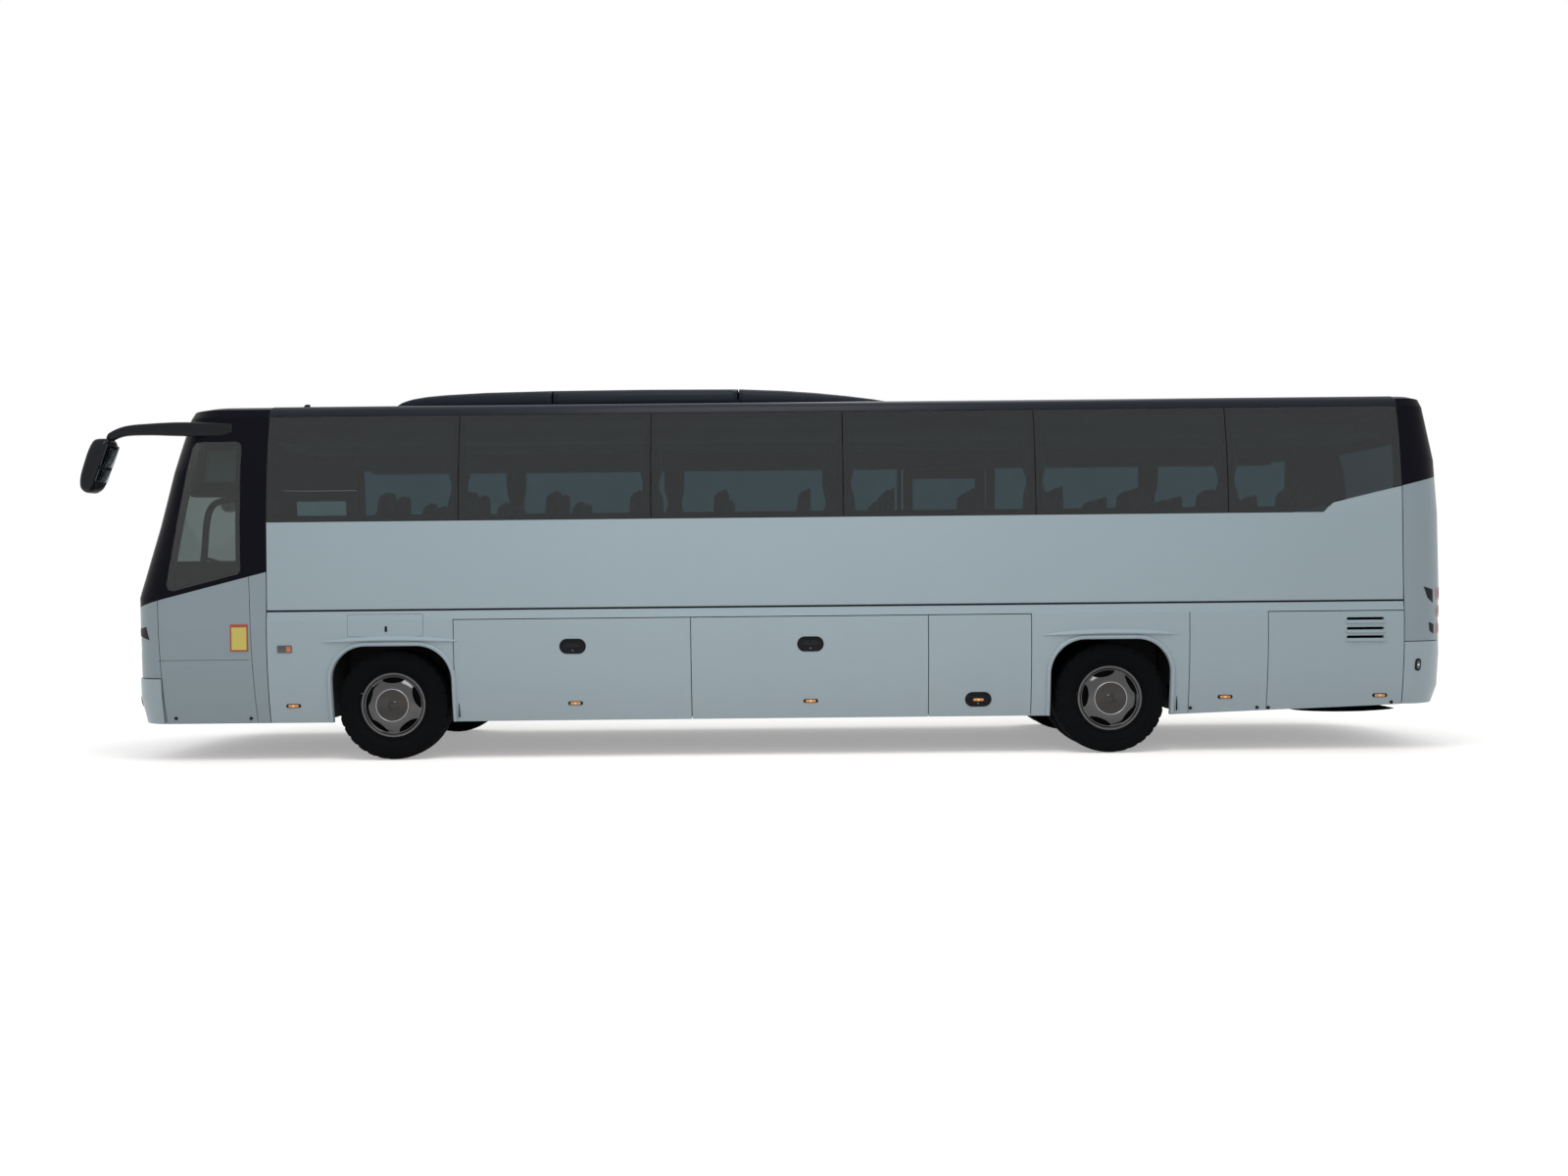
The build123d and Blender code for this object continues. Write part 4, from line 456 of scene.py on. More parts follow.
@dataclass(frozen=True)
class ClothFinish(Finish):
    """Woven cloth with threads of two shades."""

    thread: Colour = (0.1, 0.1, 0.1, 1.0)
    thread_scale: float = 250.0

    def dress(self, tree: Tree, shader: Node) -> None:
        """Lay the crossed threads on the shader."""
        grain = place_group(tree, Effects.grain(), Scale=self.grain_scale)
        weave = place_group(tree, Effects.weave(), Scale=self.thread_scale)
        cloth = self.mixed(tree, weave.outputs["Thread"], self.colour, self.thread)
        faded = self.mixed(tree, grain.outputs["Mottle"], cloth, tinted(self.colour, 1.25))
        self.finish_off(tree, shader, faded, grain)
        self.relief(tree, shader, weave.outputs["Height"])


@dataclass(frozen=True)
class GlassFinish(Finish):
    """Sheet glass, tinted in the mass, with a faint film of dust."""

    def dress(self, tree: Tree, shader: Node) -> None:
        """Set the plain glass and let roughness vary with the dust."""
        preset(shader, {"Transmission Weight": 1.0, "IOR": GLASS_INDEX})
        grain = place_group(tree, Effects.grain(), Scale=self.grain_scale)
        tint = self.mixed(tree, grain.outputs["Mottle"], tinted(self.colour, 0.97), tinted(self.colour, 1.03))
        tree.links.new(tint, shader.inputs["Base Color"])
        ranged(tree, grain.outputs["Mottle"], self.roughness, self.roughness * 2, shader.inputs["Roughness"])


PAINT_GREY: Colour = (0.285, 0.343, 0.368, 1.0)
BAND_BLACK: Colour = (0.0012, 0.0011, 0.0024, 1.0)

PAINT = Finish("body_paint", "body_paint", PAINT_GREY, 0.34, coat=0.1, mottle=0.02, grain_scale=18, film=0.22)
# Body grey darkened to 0.78 on the front mask and door: painted shade for the light falling off towards the
# nose.
MASK_PAINT_SHADED = TwoToneFinish(
    "mask_paint", "body_paint", tinted(PAINT_GREY, 0.78), 0.34, mottle=0.02, grain_scale=18, film=0.2,
    station=-6.029, height=1.498, rise=0.253,
)
WALL_PAINT = TwoToneFinish(
    "wall_paint", "body_paint", PAINT_GREY, 0.34, mottle=0.02, grain_scale=18,
    station=5.204, height=2.349, rise=0.235, lowest=2.259,
)
# Body grey darkened to 0.82 on the rear wall: painted shade for the light falling off towards the tail.
TAIL_PAINT_SHADED = TwoToneFinish(
    "tail_paint", "body_paint", tinted(PAINT_GREY, 0.82), 0.34, mottle=0.02, grain_scale=18, film=0.2,
    station=5.204, height=2.349, rise=0.235, lowest=2.259,
)
BAND = Finish(
    "band_black", "black_trim", BAND_BLACK, 0.16, coat=0.02, mottle=0.1, grain_scale=20, specular=0.03
)
ROOF = Finish(
    "roof_paint", "roof_paint", (0.010, 0.012, 0.018, 1), 0.34, mottle=0.12, grain_scale=12, specular=0.12
)
UNIT = Finish(
    "roof_unit", "roof_unit", (0.009, 0.012, 0.018, 1), 0.48, mottle=0.1, grain_scale=160, bump=0.0004,
    specular=0.10,
)
TRIM = Finish(
    "black_trim", "black_trim", (0.007, 0.007, 0.009, 1), 0.5, mottle=0.12, grain_scale=220, bump=0.0003,
    wear=0.4, wear_colour=(0.06, 0.06, 0.065, 1), specular=0.10,
)
GLOSS_TRIM = Finish(
    "gloss_trim", "black_trim", (0.006, 0.007, 0.009, 1), 0.26, coat=0.1, mottle=0.1, grain_scale=40,
    specular=0.12,
)
SEAL = Finish(
    "rubber_seal", "bellows_rubber", (0.004, 0.004, 0.005, 1), 0.62, mottle=0.15, grain_scale=90,
    bump=0.0003, specular=0.06,
)
TYRE = Finish(
    "tyre_rubber", "tyre", (0.0032, 0.0036, 0.0042, 1), 0.74, mottle=0.25, grain_scale=120, bump=0.0008,
    film=0.015, film_reach=1.1, wear=0.2, wear_colour=(0.012, 0.012, 0.012, 1), specular=0.03,
)
# Chrome with its base colour darkened to 0.075: a painted reflection of the dark ground that bright chrome
# would mirror.
CHROME_PAINTED_DARK_REFLECTION = Finish(
    "bright_chrome", "wheel_trim", (0.075, 0.075, 0.078, 1), 0.10, metallic=1.0, mottle=0.10, grain_scale=24,
    film=0.25, specular=0.5,
)
# Cap chrome darker still, at 0.040: a painted reflection of dark surroundings in the wheel's middle.
CAP_PAINTED_DARK_REFLECTION = Finish(
    "cap_chrome", "wheel_trim", (0.040, 0.038, 0.037, 1), 0.12, metallic=1.0, mottle=0.12, grain_scale=30,
    film=0.25, specular=0.5,
)
RIM = Finish(
    "rim_steel", "axle_steel", (0.10, 0.10, 0.105, 1), 0.5, metallic=0.6, mottle=0.2, grain_scale=90,
    bump=0.0006, film=0.6,
)
IRON = Finish(
    "axle_iron", "axle_steel", (0.030, 0.030, 0.032, 1), 0.62, mottle=0.25, grain_scale=120, bump=0.0012,
    film=0.7, film_reach=1.3, wear=0.4, specular=0.1,
)
CHASSIS = Finish(
    "frame_steel", "frame_steel", (0.020, 0.020, 0.022, 1), 0.6, mottle=0.2, grain_scale=80, bump=0.0006,
    film=0.6, film_reach=1.4, specular=0.1,
)
BELLOWS = Finish(
    "bellows_rubber", "bellows_rubber", (0.014, 0.014, 0.014, 1), 0.7, mottle=0.2, grain_scale=150,
    bump=0.0008, film=0.5, specular=0.1,
)
ENGINE = Finish(
    "engine_iron", "engine_iron", (0.09, 0.10, 0.105, 1), 0.6, metallic=0.3, mottle=0.3, grain_scale=70,
    bump=0.002, film=0.5, film_reach=1.6,
)
ALUMINIUM = Finish(
    "bare_aluminium", "wheel_trim", (0.42, 0.43, 0.44, 1), 0.34, metallic=1.0, mottle=0.1, grain_scale=140,
    bump=0.0003, wear=0.2,
)
VINYL = Finish(
    "floor_vinyl", "floor_covering", (0.055, 0.057, 0.062, 1), 0.6, mottle=0.3, grain_scale=260, bump=0.0005
)
LINING = Finish(
    "cabin_lining", "interior_plastic", (0.10, 0.105, 0.115, 1), 0.8, mottle=0.12, grain_scale=300,
    bump=0.0006,
)
MOULDED = Finish(
    "moulded_plastic", "interior_plastic", (0.045, 0.046, 0.050, 1), 0.55, mottle=0.12, grain_scale=350,
    bump=0.0004,
)
PALE_PLASTIC = Finish(
    "pale_plastic", "interior_plastic", (0.22, 0.22, 0.215, 1), 0.5, mottle=0.08, grain_scale=220,
    bump=0.0003,
)
GRIP = Finish(
    "wheel_grip", "wheel_grip", (0.014, 0.014, 0.015, 1), 0.5, mottle=0.15, grain_scale=420, bump=0.0005
)
SEAT_CLOTH = ClothFinish(
    "seat_cloth", "seat_fabric", (0.012, 0.015, 0.026, 1), 0.9, sheen=0.25, bump=0.0006,
    thread=(0.045, 0.05, 0.075, 1), thread_scale=220, specular=0.1,
)
CURTAIN = ClothFinish(
    "curtain_cloth", "curtain_cloth", (0.075, 0.085, 0.11, 1), 0.9, sheen=0.3, bump=0.0004,
    thread=(0.10, 0.11, 0.13, 1), thread_scale=300,
)
SIDE_GLASS = GlassFinish(
    "side_glass", "tinted_glass", (0.108, 0.176, 0.198, 1), 0.012, grain_scale=8, specular=0.26
)
FRONT_GLASS = GlassFinish(
    "front_glass", "tinted_glass", (0.30, 0.35, 0.34, 1), 0.01, grain_scale=8, specular=0.04
)
REAR_GLASS = GlassFinish(
    "rear_glass", "tinted_glass", (0.08, 0.10, 0.11, 1), 0.012, grain_scale=8, specular=0.5
)
LENS = GlassFinish("clear_lens", "tinted_glass", (0.93, 0.95, 0.96, 1), 0.02, grain_scale=30, specular=0.5)
RED_LENS = Finish(
    "red_lens", "lamp_lens", (0.20, 0.006, 0.005, 1), 0.16, coat=0.10, mottle=0.2, grain_scale=300,
    bump=0.0012, specular=0.12,
)
AMBER_LENS = Finish(
    "amber_lens", "lamp_lens", (0.62, 0.20, 0.012, 1), 0.14, coat=1.0, mottle=0.25, grain_scale=300,
    bump=0.0010, specular=0.5,
)
ORANGE_LENS = Finish(
    "orange_lens", "lamp_lens", (0.46, 0.09, 0.018, 1), 0.14, coat=1.0, mottle=0.25, grain_scale=300,
    bump=0.0010, specular=0.5,
)
BRIGHT_LENS = Finish(
    "bright_lens", "lamp_lens", (0.85, 0.60, 0.22, 1), 0.12, coat=1.0, mottle=0.1, grain_scale=300,
    specular=0.5,
)
LENS_WHITE = Finish("reading_lens", "lamp_lens", (0.5, 0.5, 0.48, 1), 0.2, mottle=0.1, grain_scale=200)
CAB_PALE = Finish(
    "cab_pale", "interior_plastic", (0.11, 0.19, 0.185, 1), 0.5, mottle=0.06, grain_scale=220, bump=0.0003
)
WHITE_LENS = Finish(
    "white_lens", "lamp_lens", (0.62, 0.63, 0.64, 1), 0.12, coat=1.0, mottle=0.15, grain_scale=300,
    bump=0.0010,
)
MIRROR = Finish(
    "mirror_glass", "black_trim", (0.16, 0.17, 0.19, 1), 0.03, metallic=1.0, mottle=0.03, grain_scale=10
)
PLATE = Finish("blank_plate", "lamp_lens", (0.55, 0.55, 0.53, 1), 0.4, mottle=0.05, grain_scale=90, film=0.3)
YELLOW = Finish("yellow_film", "lamp_lens", (0.50, 0.42, 0.10, 1), 0.4, mottle=0.06, grain_scale=60)
RED_FILM = Finish("red_film", "lamp_lens", (0.36, 0.06, 0.035, 1), 0.4, mottle=0.08, grain_scale=60)
DISPLAY = Finish(
    "display_glass", "black_trim", (0.008, 0.010, 0.014, 1), 0.08, coat=1.0, mottle=0.1, grain_scale=10,
    specular=0.5,
)
# Flat black without gloss: painted shade, set where only shade is seen behind slots, grilles, fans and
# joints.
SHADOW = Finish(
    "deep_shadow", "black_trim", (0.004, 0.004, 0.004, 1), 0.9, mottle=0.3, grain_scale=60, specular=0.0
)


# ------------------------------------------------------------------ workshop
class Bench:
    """Hand tools: each starts, shapes or finishes one mesh. Pieces are modelled at the origin, y outwards."""

    @staticmethod
    def clear() -> None:
        """Leave edit mode and deselect everything."""
        if bpy.context.object and bpy.context.object.mode != "OBJECT":
            bpy.ops.object.mode_set(mode="OBJECT")
        bpy.ops.object.select_all(action="DESELECT")

    @classmethod
    def only(cls, piece: Piece) -> Piece:
        """Select one piece alone and make it active."""
        cls.clear()
        piece.select_set(True)
        bpy.context.view_layer.objects.active = piece
        return piece

    @classmethod
    def settle(cls, piece: Piece, place: Matrix | None = None) -> Piece:
        """Move a piece to its place and write the place into its mesh."""
        if place is not None:
            piece.matrix_world = place @ piece.matrix_world
        cls.only(piece)
        bpy.ops.object.transform_apply(location=True, rotation=True, scale=True)
        return piece

    @classmethod
    def block(cls, name: str, low: Point, high: Point) -> Piece:
        """A cube primitive stretched between two corners, to be shaped further."""
        cls.clear()
        middle = [(a + b) / 2 for a, b in zip(low, high)]
        size = [abs(b - a) for a, b in zip(low, high)]
        bpy.ops.mesh.primitive_cube_add(size=1.0, location=middle, scale=size)
        piece = bpy.context.object
        piece.name = name
        return cls.settle(piece)

    @classmethod
    def slab(cls, name: str, low: Point, high: Point, width: float, segments: int = 2) -> Piece:
        """A block between two corners with its edges rounded."""
        return cls.round(cls.block(name, low, high), width, segments)

    @classmethod
    def hoop(cls, name: str, radius: float, out: float, bar: float, steps: int, sides: int) -> Piece:
        """A round bar bent to a circle about y, at a distance out along it."""
        angles = [math.tau * step / steps for step in range(steps)]
        path = [(radius * math.cos(angle), out, radius * math.sin(angle)) for angle in angles]
        return cls.tube(name, path, bar, closed=True, sides=sides)

    @classmethod
    def cut_up(cls, piece: Piece, cuts: int) -> Piece:
        """Subdivide every edge of a piece, ready for shaping."""
        cls.only(piece)
        bpy.ops.object.mode_set(mode="EDIT")
        bpy.ops.mesh.select_all(action="SELECT")
        bpy.ops.mesh.subdivide(number_cuts=cuts)
        bpy.ops.object.mode_set(mode="OBJECT")
        return piece

    @classmethod
    def drum(cls, name: str, radius: float, low: float, high: float, sides: int = 32) -> Piece:
        """A cylinder primitive about y, from low to high outwards."""
        cls.clear()
        bpy.ops.mesh.primitive_cylinder_add(
            vertices=sides, radius=radius, depth=high - low, location=(0, (low + high) / 2, 0),
            rotation=(math.pi / 2, 0, 0),
        )
        piece = bpy.context.object
        piece.name = name
        return cls.settle(piece)

    @classmethod
    def pick(cls, piece: Piece, keep: Pick) -> None:
        """Select in edit mode the faces whose centre and normal the test keeps."""
        cls.only(piece)
        bpy.context.tool_settings.mesh_select_mode = (False, False, True)
        bpy.ops.object.mode_set(mode="EDIT")
        bpy.ops.mesh.select_all(action="DESELECT")
        bpy.ops.object.mode_set(mode="OBJECT")
        for face in piece.data.polygons:
            face.select = keep(face.center, face.normal)
        bpy.ops.object.mode_set(mode="EDIT")

    @classmethod
    def inset(cls, piece: Piece, keep: Pick, thickness: float, depth: float = 0.0) -> Piece:
        """Inset the picked faces as one region, and push them in or out along their normals."""
        cls.pick(piece, keep)
        bpy.ops.mesh.inset(thickness=thickness, depth=0.0)
        if depth:
            bpy.ops.mesh.extrude_region_shrink_fatten(TRANSFORM_OT_shrink_fatten={"value": depth})
        bpy.ops.object.mode_set(mode="OBJECT")
        return piece

    @classmethod
    def pull(cls, piece: Piece, keep: Pick, by: Point, size: Point = (1, 1, 1)) -> Piece:
        """Extrude the picked faces by a vector, and scale the new end."""
        cls.pick(piece, keep)
        bpy.ops.mesh.extrude_region_move(TRANSFORM_OT_translate={"value": by})
        if size != (1, 1, 1):
            bpy.ops.transform.resize(value=size)
        bpy.ops.object.mode_set(mode="OBJECT")
        return piece

    @classmethod
    def shift(cls, piece: Piece, move: Callable[[Vector], Vector]) -> Piece:
        """Move every point of a mesh by hand, by its place."""
        for vertex in piece.data.vertices:
            vertex.co = move(vertex.co.copy())
        piece.data.update()
        return piece

    @classmethod
    def modify(cls, piece: Piece, kind: str, **settings: object) -> Piece:
        """Add one modifier with its settings and apply it."""
        cls.only(piece)
        modifier = piece.modifiers.new(kind.lower(), kind)
        for label, value in settings.items():
            setattr(modifier, label, value)
        bpy.ops.object.modifier_apply(modifier=modifier.name)
        return piece

    @classmethod
    def round(cls, piece: Piece, width: float, segments: int = 2, angle: float = 30.0) -> Piece:
        """Round the sharp edges and smooth the shading."""
        cls.modify(
            piece, "BEVEL", width=width, segments=segments, limit_method="ANGLE",
            angle_limit=math.radians(angle),
        )
        return cls.smooth(piece)

    @classmethod
    def smooth(cls, piece: Piece, angle: float = 35.0) -> Piece:
        """Shade smooth below an angle."""
        cls.only(piece)
        bpy.ops.object.shade_smooth_by_angle(angle=math.radians(angle))
        return piece

    @classmethod
    def mend(cls, piece: Piece) -> Piece:
        """Merge doubled points and turn the faces outwards."""
        cls.only(piece)
        bpy.ops.object.mode_set(mode="EDIT")
        bpy.ops.mesh.select_all(action="SELECT")
        bpy.ops.mesh.remove_doubles(threshold=0.00002)
        bpy.ops.mesh.normals_make_consistent(inside=False)
        bpy.ops.object.mode_set(mode="OBJECT")
        return piece

    @classmethod
    def lathe(cls, name: str, profile: Sequence[tuple[float, float]], steps: int = 64) -> Piece:
        """Turn a profile of radius and outward offset about y.

        Args:
            name: Name of the piece.
            profile: Points of the profile, run so that it closes or ends on the axis.
            steps: Number of steps round the turn.

        Returns:
            The turned piece, about the origin.
        """
        cls.clear()
        bpy.ops.mesh.primitive_plane_add(size=0.01)
        piece = bpy.context.object
        piece.name = name
        bpy.context.tool_settings.mesh_select_mode = (True, False, False)
        bpy.ops.object.mode_set(mode="EDIT")
        bpy.ops.mesh.select_all(action="SELECT")
        bpy.ops.mesh.merge(type="CENTER")
        bpy.ops.transform.translate(value=(profile[0][0], profile[0][1], 0))
        for (r0, y0), (r1, y1) in pairwise(profile):
            bpy.ops.mesh.extrude_region_move(TRANSFORM_OT_translate={"value": (r1 - r0, y1 - y0, 0)})
        bpy.ops.mesh.select_all(action="SELECT")
        bpy.ops.mesh.spin(steps=steps, angle=2 * math.pi, center=(0, 0, 0), axis=(0, 1, 0))
        bpy.ops.object.mode_set(mode="OBJECT")
        return cls.smooth(cls.mend(piece))

    @classmethod
    def pill(cls, name: str, length: float, height: float, depth: float, sides: int = 32) -> Piece:
        """A rounded bar: a disc about y, its two halves pulled apart along x."""
        piece = cls.drum(name, height / 2, 0.0, depth, sides)
        reach = (length - height) / 2
        return cls.shift(
            piece, lambda at: at + Vector((math.copysign(reach, at.x) if abs(at.x) > 1e-6 else 0.0, 0, 0))
        )

    @classmethod
    def grid(
        cls, name: str, columns: int, rows: int, shape: Callable[[float, float], Vector],
        thickness: float = 0.0,
    ) -> Piece:
        """A grid primitive laid over a form.

        Args:
            name: Name of the piece.
            columns: Divisions along the first way.
            rows: Divisions along the second.
            shape: Gives the point for two fractions from 0 to 1.
            thickness: Sheet thickness given by Solidify, outwards of the form.

        Returns:
            The sheet, in place.
        """
        cls.clear()
        bpy.ops.mesh.primitive_grid_add(x_subdivisions=columns, y_subdivisions=rows, size=1.0)
        piece = bpy.context.object
        piece.name = name
        cls.shift(piece, lambda at: shape(min(1.0, max(0.0, at.x + 0.5)), min(1.0, max(0.0, at.y + 0.5))))
        if thickness:
            cls.modify(piece, "SOLIDIFY", thickness=thickness, offset=1.0, use_even_offset=True)
        return cls.smooth(piece)

    @classmethod
    def tube(
        cls, name: str, points: Sequence[Point], radius: float, closed: bool = False, sides: int = 3,
        curved: bool = False,
    ) -> Piece:
        """A round bar along points, straight from one to the next or on one smooth curve."""
        curve = bpy.data.curves.new(name, "CURVE")
        curve.dimensions = "3D"
        curve.bevel_depth = radius
        curve.bevel_resolution = sides
        curve.use_fill_caps = not closed
        spline = curve.splines.new("NURBS" if curved else "POLY")
        spline.points.add(len(points) - 1)
        for point, place in zip(spline.points, points):
            point.co = (*place, 1.0)
        if curved:
            spline.order_u = 3
            spline.use_endpoint_u = not closed
            curve.resolution_u = 8
        spline.use_cyclic_u = closed
        piece = bpy.data.objects.new(name, curve)
        bpy.context.scene.collection.objects.link(piece)
        cls.only(piece)
        bpy.ops.object.convert(target="MESH")
        return cls.smooth(cls.mend(bpy.context.object), 50)

    @classmethod
    def copies(cls, name: str, model: Piece, places: Sequence[Matrix]) -> Piece:
        """Copy a modelled piece to each place and join the copies; the model is used up."""
        made = []
        for place in places:
            twin = model.copy()
            twin.data = model.data.copy()
            twin.data.transform(place)
            if place.to_3x3().determinant() < 0:
                twin.data.flip_normals()
            bpy.context.scene.collection.objects.link(twin)
            made.append(twin)
        bpy.data.objects.remove(model)
        return cls.join(name, made)

    @classmethod
    def join(cls, name: str, parts: Sequence[Piece]) -> Piece:
        """Join parts into one object."""
        cls.clear()
        for part in parts:
            part.select_set(True)
        bpy.context.view_layer.objects.active = parts[0]
        if len(parts) > 1:
            bpy.ops.object.join()
        piece = bpy.context.object
        piece.name = name
        return piece


def release(piece: Piece, finish: Finish, body: str = BODY, replaces: Sequence[str] = ()) -> Piece:
    """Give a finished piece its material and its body.

    Args:
        piece: The piece, in place.
        finish: Its finish.
        body: The frame body that it rides on.
        replaces: Frame nodes that it stands for.

    Returns:
        The same piece.
    """
    piece.data.materials.clear()
    piece.data.materials.append(finish.material())
    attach(piece, body)
    if replaces:
        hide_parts(*replaces)
    log.info("%s: %d faces on %s", piece.name, len(piece.data.polygons), body)
    return piece


def oblong(start: float, end: float, low: float, high: float) -> list[tuple[float, float]]:
    """Corners of an upright oblong for a patch, from its foot's start round to its head's start."""
    return [(start, low), (end, low), (end, high), (start, high)]


class Surface:
    """Finds places on the frame's own surfaces by looking along a line."""

    def __init__(self, nodes: dict[str, Piece]) -> None:
        """Keep the frame's nodes."""
        self.nodes = nodes

    def hit(self, node: str, start: Point, way: Point) -> tuple[Vector, Vector]:
        """First point and outward normal on a node, or on several joined by +, along a line of sight.

        Where the line falls into a joint between two nodes, one close beside it is taken.
        """
        for nudge in ((0, 0, 0), (0, 0.008, 0), (0, -0.008, 0), (0, 0, 0.008), (0, 0, -0.008)):
            begin = Vector(start) + Vector(nudge)
            casts = [self.nodes[name].ray_cast(begin, Vector(way).normalized()) for name in node.split("+")]
            met = [(place, normal) for found, place, normal, _ in casts if found]
            if met:
                place, normal = min(met, key=lambda pair: (pair[0] - begin).length)
                return place - Vector(nudge), normal if normal.dot(Vector(way)) < 0 else -normal
        raise ValueError(f"nothing of {node} lies along {way} from {start}")

    def place(self, node: str, start: Point, way: Point, proud: float = 0.0) -> Matrix:
        """Frame on a node's surface: y outwards, z up the surface."""
        place, normal = self.hit(node, start, way)
        return frame_matrix(place + normal * proud, normal, Vector((0, 0, 1)))

    def patch(
        self, name: str, node: str, corners: Sequence[tuple[float, float]], way: Point, proud: float = 0.002,
        columns: int = 8, rows: int = 6,
    ) -> Piece:
        """Thin sheet laid on a node's surface between four corners seen along a line of sight.

        Args:
            name: Name of the piece.
            node: Frame node that it lies on.
            corners: Foot start, foot end, head end and head start, across and up.
            way: Line of sight, along x or along y.
            proud: Thickness of the sheet.
            columns: Divisions across.
            rows: Divisions up.

        Returns:
            The sheet, in place.
        """
        sight = Vector(way)
        turn = 1 if sight.y - sight.x > 0 else -1
        if (corners[1][0] - corners[0][0]) * turn < 0:
            corners = [corners[1], corners[0], corners[3], corners[2]]

        def shape(u: float, v: float) -> Vector:
            low = [a + (b - a) * u for a, b in zip(corners[0], corners[1])]
            high = [a + (b - a) * u for a, b in zip(corners[3], corners[2])]
            across, up = (a + (b - a) * v for a, b in zip(low, high))
            start = Vector((across, 0, up)) if abs(sight.y) else Vector((0, across, up))
            return self.hit(node, tuple(start - sight * 9.0), way)[0] - sight * 0.0004

        return Bench.grid(name, columns, rows, shape, proud)

    def oval(
        self, name: str, node: str, middle: Point, way: Point, across: float, up: float, proud: float
    ) -> Piece:
        """Thin oval sheet laid on a node's surface, seen along x.

        Args:
            name: Name of the piece.
            node: Frame node that it lies on.
            middle: Point on the line of sight through the oval's middle.
            way: Line of sight, along x.
            across: Half width.
            up: Half height.
            proud: Thickness of the sheet.

        Returns:
            The sheet, in place.
        """
        turn = -math.copysign(1.0, way[0])

        def shape(u: float, v: float) -> Vector:
            angle, share = math.tau * u * turn, 0.02 + 0.98 * v
            start = (
                middle[0], middle[1] + across * share * math.cos(angle),
                middle[2] + up * share * math.sin(angle),
            )
            return self.hit(node, start, way)[0] - Vector(way) * 0.0004

        sheet = Bench.mend(Bench.grid(name, 28, 3, shape))
        return Bench.modify(sheet, "SOLIDIFY", thickness=proud, offset=1.0)


